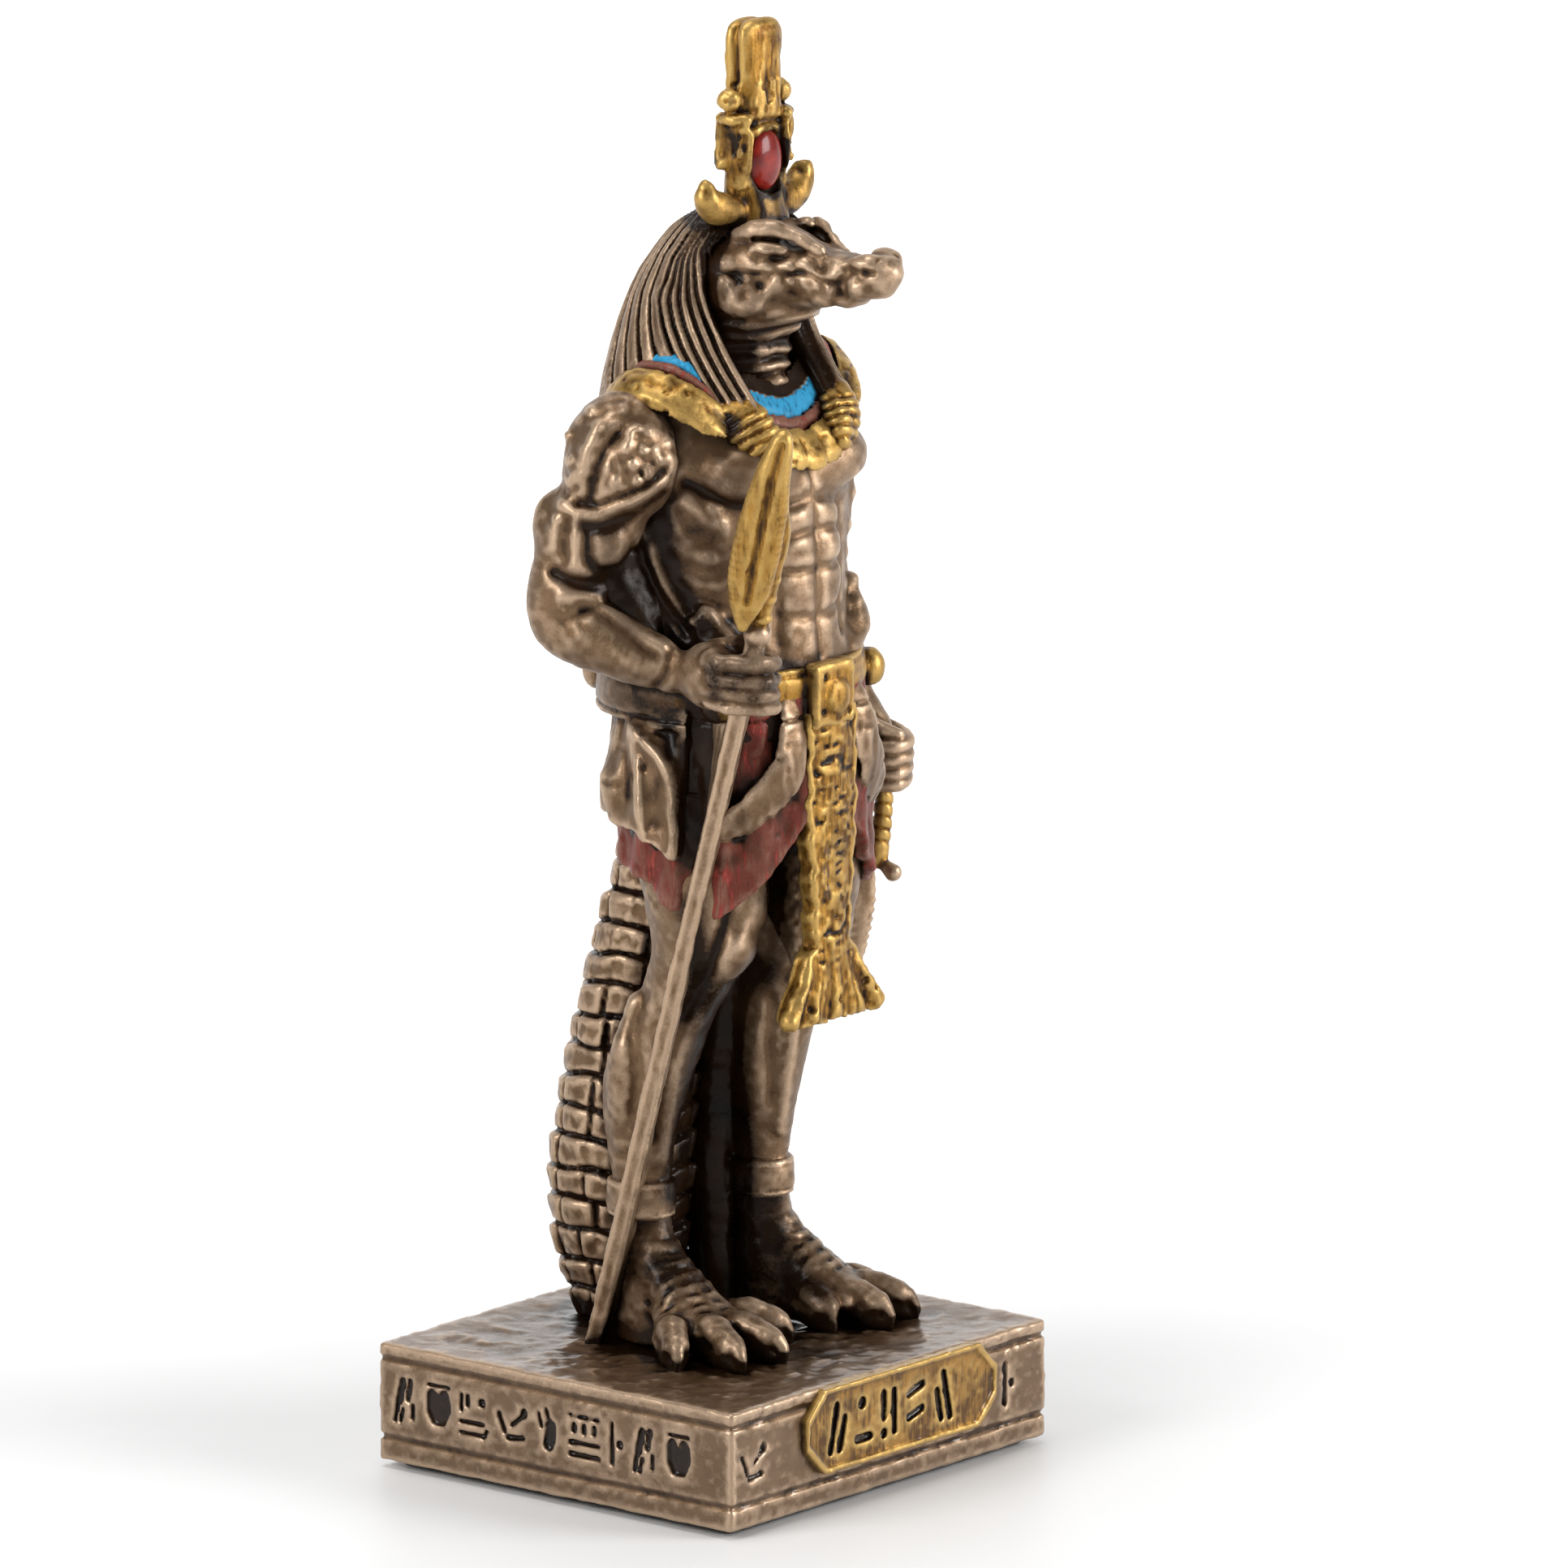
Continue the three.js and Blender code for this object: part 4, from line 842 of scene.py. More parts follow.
def collar_shares(x, y):
    """How far out a point lies on the collar, 1 at its rim, and the height of the collar there,
    which dips where the wig's lappets press on it."""
    b = np.where(y < COLLAR_Y, 7.0, 6.6)
    u, v = x / 9.5, (y - COLLAR_Y) / b
    share = np.sqrt(u * u + v * v) + 1e-6
    side, front = np.abs(u / share), np.maximum(-v / share, 0)
    rim = 57.4 + 2.3 * side**2 - 2.2 * front**2
    pressed = 0.9 * hill(np.abs(x) - 4.5, 1.4) * ease(-y, 2.0, 4.0)
    top = mix(61.1 + 1.3 * side**2, rim, np.clip((share - 0.42) / 0.58, 0, 1) ** (0.85 + 0.75 * side**2))
    return share, top - pressed


def collar_band(inner, outer, thick=0.85, lift=0.0):
    """A ring of the collar between two shares of its reach: the greatest of the distances past its
    top, its underside and its two edges."""
    def form(clay, margin):
        cut, (x, y, z) = clay.window([-10.2, -9.2, 54], [10.2, 6.2, 63])
        share, top = collar_shares(x, y)
        across = np.maximum((inner - share) * 7.5, (share - outer) * 7.5)
        distance = np.maximum(np.maximum((z - top - lift) * 0.85, (top - thick - z) * 0.85), across)
        return cut, distance.astype(np.float32)
    return form


def sculpt_collar():
    """The collar: a plain, a turquoise, a red and a gold ring that slope down over the shoulders.
    The gold one is lumpy and worn, pleated in front, and sinks in under the wig's ties."""
    clay = Clay([-10.4, -9.4, 54.0], [10.4, 6.4, 63.2], 0.13, ("gold", "red", "blue"))
    for n, (inner, outer, paint) in enumerate(COLLAR_BANDS):
        clay.add(collar_band(inner, outer, lift=0.08 * n), 0.06, paint)

    def under_tie(p):
        return hill(np.abs(p[:, 0]) - 4.9, 1.5) * ease(-p[:, 1], 4.4, 5.4)

    def chased(p):
        x, y, z = p.T
        share, top = collar_shares(x, y)
        turn = np.arctan2(x / 9.5, -(y - COLLAR_Y) / 7.0)
        gold = ease(share, 0.78, 0.80)
        front = ease(-y, 5.8, 6.8) * ease(3.6 - np.abs(x), 0, 0.6)
        pleats = front * (0.24 * np.sqrt(np.abs(np.cos(turn * 15))) - 0.14) * ease(share, 0.82, 0.92)
        rounded = -0.25 * ease(share, 0.93, 1.0) + 0.1 * hill(share - 0.87, 0.05)
        rows = -0.14 * hill(share - 0.705, 0.012) - 0.2 * hill(share - 0.785, 0.012)
        lumps = 0.08 * cloud(p, 0.9, 4) + 0.06 * cloud(p, 0.4, 5) - 0.14 * ease(cloud(p, 0.5, 6), 0.5, 0.8)
        return gold * (pleats + rounded + lumps) + rows + 0.04 * cloud(p, 0.6, 4) \
            - 0.7 * under_tie(p) * ease(share, 0.82, 0.9)

    def darkening(p):
        x, y, z = p.T
        share, top = collar_shares(x, y)
        worn = 0.6 * ease(cloud(p, 1.1, 12), 0.1, 0.6) * ease(share, 0.78, 0.81)
        # Painted shade: the plain inner ring is darkened as the shade under the throat, and the gold under
        # the wig's ties; the lines between the rings hold wash, and the worn spots are random
        return 1.6 * ease(0.615 - share, 0, 0.02) + 0.8 * hill(share - 0.785, 0.02) \
            + 0.4 * hill(share - 0.705, 0.015) + worn + 1.8 * under_tie(p) * ease(share, 0.81, 0.88)
    return clay.press(chased).darken(darkening)


# Crown

CROWN_Y = -3.1
CROWN_LEAN = 0.15


def plume(y, half, depth, low, top):
    """A tall feather: a rounded slab, a little wider near its top."""
    x = CROWN_LEAN
    return limb([[x, y, low, half * 0.9, depth], [x, y, mix(low, top, 0.45), half * 0.92, depth],
                 [x, y, mix(low, top, 0.8), half * 1.02, depth],
                 [x, y, top - depth * 0.9, half * 0.93, depth * 0.85]],
                6, X)


def sculpt_crown():
    """The gold crown: a waisted base, two feathers one behind the other, ram's horns, looped
    serpents with knobs at the sides, and the seat of the red disc."""
    clay = Clay([-6.0, -6.6, 69.0], [5.8, 0.9, 82.2], 0.11, ("gold",))
    x, y = CROWN_LEAN, CROWN_Y
    clay.add(stack([[0, y, 69.3, 2.5, 2.0], [0, y, 70.6, 2.1, 1.7], [0.1, y, 72.5, 1.9, 1.25],
                    [x, y, 76, 1.85, 1.2], [x, y, 77.8, 1.7, 1.1]]), 0.1, "gold")
    clay.add(plume(y + 0.66, 1.8, 0.72, 74, 81.7), 0.1, "gold")
    clay.add(plume(y - 0.4, 1.9, 0.72, 75.2, 81.85), 0.45, "gold")
    for side in (-1, 1):
        clay.carve(ball([x + side * 1.95, y - 0.4, 82.2], [0.7, 1.2, 0.7]), 0.5)
    for side in (-1, 1):
        clay.add(limb([[x + side * n, y, z, r] for n, z, r in
                       ((0.3, 70.3, 0.95), (2.2, 70.2, 1.08), (3.7, 70.6, 1.02), (4.45, 71.3, 0.82),
                        (4.55, 71.8, 0.62))]),
                 0.15, "gold")
        clay.add(ball([x + side * 2.35, y, 77.0], [0.75, 0.75, 0.75]), 0.12, "gold")
        clay.add(block([x + side * 1.9, y, 74.4], [0.62, 1.15, 1.75], round_off=0.35), 0.2, "gold")
        clay.add(ball([x + side * 2.45, y, 75.8], [0.5, 1.0, 0.42]), 0.15, "gold")
        clay.add(limb([[x + side * 1.7, y, 73.6, 0.75], [x + side * 1.5, y, 70.8, 0.9]]), 0.3, "gold")
        clay.carve(ball([x + side * 2.75, y + 0.1, 74.5], [0.42, 0.62, 1.05]), 0.25)
        clay.carve(ball([x + side * 3.05, y - 0.3, 77.0], 0.2), 0.08)
    seat = [x, y - 1.1, 73.0]
    clay.carve(ball(seat, [1.6, 0.7, 2.0]), 0.15)
    lines = [(-0.25, 0.13, [-1.9, y - 0.1, 76.6], [-1.75, y + 0.05, 79.0], [-1.75, y + 0.05, 81.8]),
             (0.3, 0.25, [-2.0, y - 1, 71.8], [-1.8, y - 1.2, 73.2], [-1.75, y - 1.2, 74.6],
              [-1.9, y - 1, 75.9]),
             (-0.25, 0.25, [-2.4, y - 0.8, 71.9], [-2.1, y - 1.1, 73.4], [-2.1, y - 1.1, 74.8]),
             (-0.3, 0.25, [-1.7, y - 1.2, 75.4], [0.2, y - 1.3, 75.6], [1.8, y - 1.2, 75.4])]

    def barbs(p):
        x, py, z = p.T
        feather = ease(z, 75.2, 76) * ease(81.0 - z, 0, 2)
        streaks = 0.06 * cloud(p * [1, 1, 0.12], 0.3, 9) + 0.04 * cloud(p * [1, 1, 0.3], 0.16, 10)
        marks = -0.12 * ease(cloud(p * [1, 1, 0.6], 0.42, 19), 0.4, 0.6) * ease(79.6 - z, 0, 2.0)
        low = 0.16 * cloud(p * [1, 1, 0.5], 0.5, 11) * ease(76.2 - z, 0, 0.8) * ease(z, 71, 72)
        return streaks * feather + marks * ease(z, 71.5, 73) + low + 0.05 * cloud(p, 0.8, 7) \
            + drawn(p, lines, -Y)

    def darkened(p):
        px, py, z = p.T
        # Darker in worn spots, in the hollows beside the side blocks, low on the crown and at its foot, and
        # round the disc's seat
        spots = 0.8 * ease(cloud(p * [1, 1, 0.5], 0.5, 12), 0.2, 0.7) * ease(79.8 - z, 0, 3)
        hollow = 0.9 * hill(z - 74.4, 1.1) * hill(py - y - 0.1, 0.7) * ease(np.abs(px - x), 2.0, 2.4)
        base = 0.35 * ease(72.2 - z, 0, 0.8) * ease(1.9 - np.abs(px - x), 0, 0.5) \
            + 0.5 * ease(70.0 - z, 0, 0.6)
        around_disc = 0.8 * hill(np.hypot((px - seat[0]) / 1.6, (z - seat[2]) / 2.0) - 1.0, 0.14) * (py < y)
        return spots + hollow + base + around_disc \
            + 0.4 * ease(75.8 - z, 0, 0.6) * ease(0.5 + cloud(p, 0.7, 13), 0, 0.8)
    return clay.press(barbs).darken(darkened)


# Torso, arms and fists

TORSO_ROWS = table("""
    0 -2.5 37 7.8 6.6, 0 -2.4 39.5 7.9 6.8, 0 -1.4 43 8.1 7, 0 -1.2 46 7.7 6.6, 0 -1.5 49 7.6 6.3,
    0 -1.6 51.5 7.9 6.2, 0 -1.5 54 8.4 6.1, 0 -1 57 8.4 5.3, 0 -.6 59.5 6.9 3.4, 0 -1 61 4 2.6""")
RIGHT_ARM = table("""
    -8.6 -.8 57 2.4, -9.9 .2 53.5 2.85, -10.4 1.3 50.4 2.8, -11.2 2.2 47.6 2.4, -11.3 2.1 46 2.2,
    -10.9 .9 45.3 2.15, -10.2 -.6 44.8 2, -9.4 -2.8 43.9 1.6, -8.9 -4.4 43.3 1.25, -8.3 -6.4 43.1 1.45""")
LEFT_ARM = table("""
    8 .8 57 2.4, 9.3 1.4 53.5 2.7, 10.3 1.5 50.2 2.5, 10.8 1.3 47 2.1, 11.1 .6 44.2 1.95,
    11.2 -.9 40.6 1.45, 11.1 -2 38.3 1.2, 11.1 -3.2 36.6 1.3""")


TORSO_LINES = lines_of("""
    -.3 .41: 0 -8.2 53.4, 0 -8.3 51.4, 0 -8.3 48.3, 0 -8.4 45.4, 0 -8.5 43.4;
    -.22 .35: 0 -8.2 51.1, -1.6 -8.1 51, -3.2 -7.8 50.8;
    -.22 .35: 0 -8.2 48.7, -1.6 -8.1 48.7, -3.2 -7.8 48.9;
    -.23 .38: 0 -8.4 45.8, -1.6 -8.3 45.9, -3.2 -7.9 46.3;
    -.29 .46: -3.4 -7.7 52.2, -3.5 -7.6 50, -3.4 -7.7 47.5, -3.3 -7.9 44.6; .12 1.08: -1.7 -8.2 49.9;
    .13 1.08: -1.7 -8.2 47.3; .12 1.08: -1.7 -8.3 44.4; .1 1.08: -1.8 -8.1 52.1;
    -.36 .46: -7.6 -4.1 54.5, -6.9 -5.3 53.9, -5.9 -6.8 53.3, -3.6 -7.9 52.8, -1.2 -8.2 53.1;
    -.25 .47: 0 -7 56.6, 0 -8 55, 0 -8.2 53.6;
    .22 .43: -7.6 -4.1 53.4, -6.9 -4.5 52.7, -6.8 -5.3 52.1, -6.2 -6 52;
    .23 .46: -6.4 -5.2 52.9, -6.4 -5.8 52, -6.1 -6 51, -6.6 -5.4 50.3;
    .2 .43: -7.8 -3.2 50.8, -7.2 -4.2 50, -6.4 -5.2 49.7, -5.4 -6.4 50.2;
    .17 .41: -8 -3.1 53, -7.7 -3.5 51.8, -7.4 -4.2 50.7, -6.7 -5.3 49.9;
    .16 .46: -7.6 -3.6 48.9, -6.6 -5 48.2, -5.2 -6.5 48.6;
    .14 .46: -7.3 -3.9 47.3, -6.3 -5.5 46.5, -4.8 -6.9 46.8;
    .43 .61: -8.3 -1.3 51.4, -8.1 -1.8 49.7, -7.8 -2.5 48, -7.3 -3.4 46.3, -6.9 -4.6 44.8, -5.8 -6 43.6;
    .25 .47: -8.3 -.9 49.8, -8.1 -1.5 47.9, -7.6 -2.6 46, -7.3 -3.9 44.6;
    -.29 .41: -8.3 -1 50.6, -8.1 -1.6 48.9, -7.7 -2.6 47, -7.2 -3.9 45.2;
    -.25 .68: -7.9 -3 49.6, -7.4 -3.9 47.4, -6.8 -5 45.6; -.12 .27: 0 -8.4 44.9""")


# Lines of painted shade on the right flank, under the arm and on the chest, and of wash in the belly's
# grooves; the last one, with a height below zero, lightens a ridge as a painted highlight
TORSO_WASH_AND_SHADE = lines_of("""
    1.3 1.2: -8.3 -2.4 53, -8 -2.9 49.6, -7.3 -4 46.6, -6.6 -5 45; .6 1.3: -6.9 -5.2 51.6, -6.2 -6 49;
    .5 1.5: -6.4 -6 54.8, -5 -7.4 55.6; .6 .7: -5.8 -7 53.3, -3 -8 53; .35 .6: -.3 -8 54.2, -3 -8 55.3;
    .4 .5: 0 -8.4 50, 0 -8.4 44; .7 .5: -3.5 -8 43, 0 -8.6 42.9; .9 1.3: -6.5 -5.6 43.8, -3.6 -8 43.2;
    -.5 .7: -8.3 -1.3 51, -7.8 -2.5 48, -6.9 -4.6 44.9""")


def sculpt_torso():
    """The bare chest: stacked sections with the chest muscles, a flat belly cut into eight blocks,
    ribs, flanks with their ridges, the shoulder blades, the spine, and the black resin that fills
    the gap beside the right arm."""
    clay = Clay([-10.6, -9.6, 38.6], [9.4, 6.2, 60.4], 0.16)
    clay.add(limb([[-9.0, 0.0, 51.5, 1.2], [-9.3, 0.2, 49.0, 1.4], [-8.9, -0.4, 46.8, 1.6],
                   [-8.2, -1.4, 44.8, 1.3]]), 0.1)
    # Painted shade: the web is filled with the wash's dark, as the shade in the gap by the arm
    clay.paints["wash"][clay.skin < 0.5] = 2.0
    clay.add(stack(TORSO_ROWS))
    clay.add(ball([0, -6.2, 48.0], [3.7, 2.05, 7.5]), 0.9)
    for side in (-1, 1):
        clay.add(ball([side * 3.4, -5.2, 54.7], [3.6, 2.8, 2.5]), 0.6)
        clay.add(ball([side * 6.9, -0.2, 51.2], [1.5, 3.2, 5.2]), 0.8)
        clay.add(limb(at_side(side, [[6.9, -4.9, 46.2, 0.8], [5.6, -6.3, 43.9, 0.9],
                                     [3.4, -7.4, 42.0, 0.7]])), 0.6)
        clay.add(ball([side * 3.4, 3.2, 54.6], [2.6, 1.5, 3.2]), 0.8)
        clay.add(ball([side * 2.0, 3.7, 47.5], [1.5, 1.5, 5.5]), 0.7)
    clay.carve(limb([[0, 5.0, 58, 0.3], [0, 5.35, 50, 0.45], [0, 5.5, 42, 0.35]]), 0.5)

    def muscles(p):
        before = ease(-p[:, 1], -0.5, 0.5)
        return drawn(p, TORSO_LINES) * before + 0.09 * cloud(p, 1.7, 21) + 0.045 * cloud(p, 0.6, 22)

    def darkening(p):
        x, y, z = p.T
        # Painted shade and highlight: the figure's right side is darker and the belly lighter, the listed
        # lines darken the flanks, and the chest below the belt is dark where the kilt covers it; the lumps
        # are random
        near = ease(-x, 2.6, 5.0) * 0.15
        belly = 0.3 * hill(x - 0.8, 4.4) * ease(z, 43.6, 46.5)
        listed_darkening = drawn(p, TORSO_WASH_AND_SHADE) * np.where(x < 0, 1, 0.3)
        return (listed_darkening + near - belly) * ease(-y, -0.5, 0.5) + 0.2 * ease(cloud(p, 1.4, 23), 0.1, 0.7) \
            + 2 * ease(42.0 - z, 0, 0.5)
    return clay.press(muscles).darken(darkening)


CAP_LINES = lines_of("""
    .29 .38: -13 1 53.4, -13.3 -.5 52.9, -12.9 -1.6 52.9, -12 -2.5 53.4, -11.1 -3.3 53.9, -9.8 -4 54.8,
        -8.8 -4.3 55.9;
    -.34 .29: -13.1 -.4 53.7, -12.8 -1.6 53.7, -12 -2.6 54.2, -11 -3.5 54.7, -9.8 -4.2 55.6;
    -.38 .4: -12.2 -2.6 58, -12.8 -2.1 57, -12.9 -1.4 55.4, -12.7 -.9 54;
    .26 .36: -12.7 -1.4 58.3, -13.1 -.9 57, -13.2 -.4 55.4; .26 .34: -11.7 -3.2 58.2, -12.1 -3.2 57.2;
    .36 .34: -11.9 -3.6 56.3; .34 .31: -12.5 -2.7 55.2; .29 .29: -11.2 -3.9 57.1; .34 .3: -10.4 -4.1 57;
    .31 .29: -10 -4.2 56.3; .29 .28: -11.6 -3.7 55.1; .26 .27: -10.9 -4 55.6; .31 .31: -11.2 -3.4 58.4;
    .29 .34: -12.1 -.4 59.2; .26 .34: -12.6 -1.4 58.6; .31 .34: -12.4 1.3 57.6; .29 .38: -13 .4 56.2;
    .26 .4: -12.9 .6 54.9; .26 .29: -9.2 -4.3 57.3; .26 .27: -9.2 -4.3 56.4; .24 .29: -12.7 2.2 56;
    -.19 .18: -11.3 -3.7 55.7; -.19 .18: -12.1 -3.2 55.8; -.17 .18: -10.6 -4 56.2;
    .19 .22: -11 -3.9 55.9, -10.7 -4 55.5, -11.1 -3.8 55.1, -11.5 -3.5 55.4; .21 .34: -10.4 -3.6 58.2;
    .19 .34: -11 -2.2 59.4""")


ARM_LINES = lines_of("""
    -.33 .41: -13.5 -.9 52.4, -12.8 -1.9 52.3, -11.9 -2.7 52.8, -11 -3.5 53.3, -9.6 -4 54.2;
    .23 1.22: -11.8 -1.4 51.3;
    -.33 .41: -13.3 -1.2 52.1, -13 -1 50.6, -12 -.9 49.5, -10.9 -1.5 49.5, -9.8 -1.8 50.4;
    .23 .43: -13.5 -.5 52.3, -13.1 0 51, -13 .1 49.9; -.23 .38: -13.4 .3 52.7, -13.2 .8 51.2, -13.2 .6 50;
    .18 .46: -13.4 1.3 52.4, -13.2 1.7 50.8;
    -.4 .46: -13.5 1.2 49.3, -13.1 .6 48.95, -12.4 .1 48.6, -11 -.4 48.5, -9.4 -.9 48.9;
    .21 .49: -13.2 .9 47.8, -12.1 -.1 47.8, -11.3 -.8 47.3, -10.8 -2.1 46.2, -10.2 -3.3 45.3,
        -9.5 -4.4 44.8;
    -.18 .41: -12.4 0 46.9, -11.8 -.7 46.8, -11.2 -1.9 45.9, -10.7 -3.1 44.9, -10.3 -3.9 44.4;
    -.2 .32: -9.6 -4.6 44.8, -9.9 -4.7 44, -10.1 -4.5 43.2, -10.2 -4 42.6;
    -.13 .27: -12.6 1.6 46.6, -12.1 .9 45.3""")


# Lines of wash in the creases of the right arm, and of painted shade inside the arm by the chest, under and
# over the guard, and over the fist
ARM_WASH_AND_SHADE = lines_of("""
    1.1 .45: -13.4 -.8 52.5, -12.6 -1.9 52.3, -11 -3.4 53.2, -9.6 -4 54.2;
    1.3 .55: -13.4 1 49.1, -12.6 .2 48.6, -11 -.4 48.5, -9.4 -.9 48.9;
    .6 .35: -13.3 -1.2 52.1, -13 -1 50.6, -12 -.9 49.5, -10.9 -1.5 49.5, -9.8 -1.8 50.4;
    .5 .4: -12.3 -.1 46.9, -11.2 -1.9 45.9, -10.3 -3.9 44.4;
    1.2 1.2: -9.3 .4 51.5, -9.6 .2 48, -9 -1.6 46.4;
    .6 .45: -12.2 -2.6 58, -12.8 -2.1 57, -12.9 -1.4 55.4, -12.7 -.9 54; .5 .9: -11 -4 55.6, -10 -4.2 56;
    .7 .6: -9.6 -3.8 58.2, -11.4 -2.4 59.2; .55 .5: -10.4 -8.2 44.3, -10.3 -8.5 43.2, -10.1 -8.4 42.3;
    .7 1: -11.2 1.4 44, -10 -1.6 42.9, -9 -4.4 42; 1.2 .9: -7.2 -8.4 45.6, -8.2 -9.4 45.9;
    .85 1.7: -9 -8.6 43.6, -8.2 -10.2 42.6, -7 -10.4 43.4""")


def scaly_cap(clay, centre):
    """The guard over a shoulder: an egg with long lumps; its knobs and scalloped rim are drawn."""
    clay.add(ball(centre, [3.5, 3.4, 3.85]), 0.3)
    clay.add(ball(np.array(centre) + [0.2, 0.2, -1.2], [3.45, 3.4, 2.9]), 0.3)


def fingers(clay, rows, drops, radius):
    """Fingers stacked one under another: the same bent line, repeated lower each time."""
    for n, drop in enumerate(drops):
        line = [[x, y, z - drop, radius * (1 - 0.05 * n)] for x, y, z in rows]
        clay.add(limb(line, 4), 0.06)


def sculpt_arms():
    """Both arms from the scaly shoulder guards to the fists, with their muscles and creases."""
    clay = Clay([-14.2, -11.6, 32.2], [13.6, 5.6, 60.6], 0.18)
    clay.add(limb(RIGHT_ARM))
    clay.add(limb(LEFT_ARM))
    clay.add(ball([-11.1, -0.5, 51.1], [1.5, 1.6, 2.1]), 0.3)
    clay.add(ball([-11.6, 2.2, 51.4], [1.5, 2.0, 2.6]), 0.5)
    clay.add(limb([[-11.9, 1.4, 47.0, 0.8], [-11.2, -0.6, 46.2, 0.85], [-10.0, -2.8, 44.8, 0.7],
                   [-9.0, -4.8, 43.8, 0.5]]), 0.5)
    clay.add(limb([[-11.2, 0.6, 44.3, 0.9], [-10.2, -1.9, 43.3, 0.8], [-9.2, -4.2, 42.6, 0.55]]), 0.5)
    clay.add(ball([10.6, -0.2, 50.2], [1.4, 1.6, 2.2]), 0.4)
    clay.add(limb([[12.2, 1.2, 46.2, 0.7], [12.1, -0.3, 43.0, 0.75], [11.9, -1.8, 39.6, 0.5]]), 0.4)
    scaly_cap(clay, [-9.5, -0.6, 56.0])
    scaly_cap(clay, [8.6, 1.3, 56.0])
    # The right fist closes on the staff, the left one on the sword's grip
    clay.add(ball([-8.5, -6.9, 43.2], [1.8, 2.2, 2.05]), 0.4)
    fingers(clay, [[-9.6, -7.6, 44.5], [-9.75, -8.9, 44.45], [-8.9, -10.6, 44.4], [-7.4, -10.75, 44.3],
                   [-6.5, -9.6, 44.3]], (0, 0.95, 1.85, 2.65), 0.56)
    clay.add(limb([[-7.6, -6.2, 44.6, 0.6], [-7.3, -8.2, 45.2, 0.6], [-7.9, -9.8, 45.3, 0.55],
                   [-8.8, -10.3, 45.0, 0.42]]), 0.2)
    clay.add(ball([11.2, -3.5, 35.2], [1.4, 1.6, 2.05]), 0.4)
    fingers(clay, [[12.3, -2.9, 36.4], [12.6, -4.2, 36.0], [12.0, -5.4, 35.7], [10.7, -5.7, 35.5],
                   [10.0, -4.9, 35.5]], (0, 0.85, 1.65, 2.35), 0.5)
    clay.add(limb([[10.2, -3.2, 37.0, 0.5], [10.2, -4.7, 36.6, 0.5], [10.9, -5.6, 36.2, 0.4]]), 0.12)

    def skin(p):
        guard = ease(p[:, 2] + 0.35 * p[:, 1], 52.0, 53.2)
        scales = 0.16 * cloud(p * [1, 1, 0.5], 1.2, 35) + 0.05 * cloud(p, 0.5, 36) \
            - 0.08 * ease(cloud(p, 0.6, 37), 0.4, 0.7)
        # The left guard is the right one's mirror, carried to where that arm is
        right = p[:, 0] < 0
        moved = np.where(right[:, None], p, p * [-1, 1, 1] + [-0.9, -1.9, 0])
        total = guard * (scales + drawn(moved, CAP_LINES, both=False)) + 0.08 * cloud(p, 1.5, 31) \
            + 0.04 * cloud(p, 0.5, 33)
        knuckles = 0.17 * cloud(p, 0.85, 39) * ease(-p[:, 1], 6.6, 7.6)
        return total + np.where(right, drawn(p, ARM_LINES, both=False) + knuckles, 0)

    def darkening(p):
        # Painted shade on the right arm: the listed lines and the front of the fist are darkened
        fist_painted_shade = 0.3 * ease(cloud(p, 0.8, 40), -0.1, 0.6) * ease(-p[:, 1], 6.0, 7.6)
        return np.where(p[:, 0] < 0, drawn(p, ARM_WASH_AND_SHADE, both=False) + fist_painted_shade, 0)
    return clay.press(skin).darken(darkening)


# Belt and kilt

BELT = {"low": 39.5, "high": 42.9, "y": -1.4, "a": 9.1, "b": 7.8}
KILT_GAP = 1.19      # the angle from the front at which the wrap ends, on both sides
LAPEL = table("""
    2.5 -8.2 41.2 1.1 .4, 2.9 -8.5 40.2 1.25 .42, 3.2 -8.9 39 1.4 .42, 3.7 -9 37.4 1.5 .42,
    4.5 -8.7 36 1.5 .42, 5.6 -8 34.8 1.4 .42, 6.8 -7.1 33.8 1.15 .4, 7.7 -5.9 33.1 .8 .35""")


def kilt_turn(x, y):
    """The angle round the kilt from the front, the same on both sides."""
    return np.arctan2(np.abs(x) / 9.8, -(y + 2.3) / 7.8)


def below(hem):
    """Everything lower than a hem whose height goes by the angle from the front."""
    def form(clay, margin):
        cut, (x, y, z) = clay.window(clay.first * clay.grain, (clay.first + clay.size) * clay.grain)
        edge = hem(kilt_turn(x, y))
        return cut, np.clip((z - edge) * 0.85, -FAR, FAR).astype(np.float32)
    return form


def wrap_hem(turn):
    """The outer cloth: nothing before the gap at the front, then a hem that dips at the sides."""
    front = 10 * ease(KILT_GAP + 0.05 - turn, -0.03, 0.03)
    return 33.6 - 1.5 * hill(turn - 1.35, 0.35) + 0.35 * np.sin(9 * turn) + front


def cloth_hem(turn):
    """The red cloth: its hem rises in front and dips beside the legs."""
    return 30.4 + 4.6 * hill(turn, 0.4) - 2.7 * hill(turn - 1.1, 0.45)


def kilt_folds(angle, z):
    """Two waves round the wrap: broad pleats behind, and a fine one all round."""
    return 0.12 * np.sin(9 * angle + 0.35 * (z - 33)) * ease(np.abs(angle), 1.75, 2.1) \
        + 0.05 * np.sin(23 * angle - 0.5 * z)


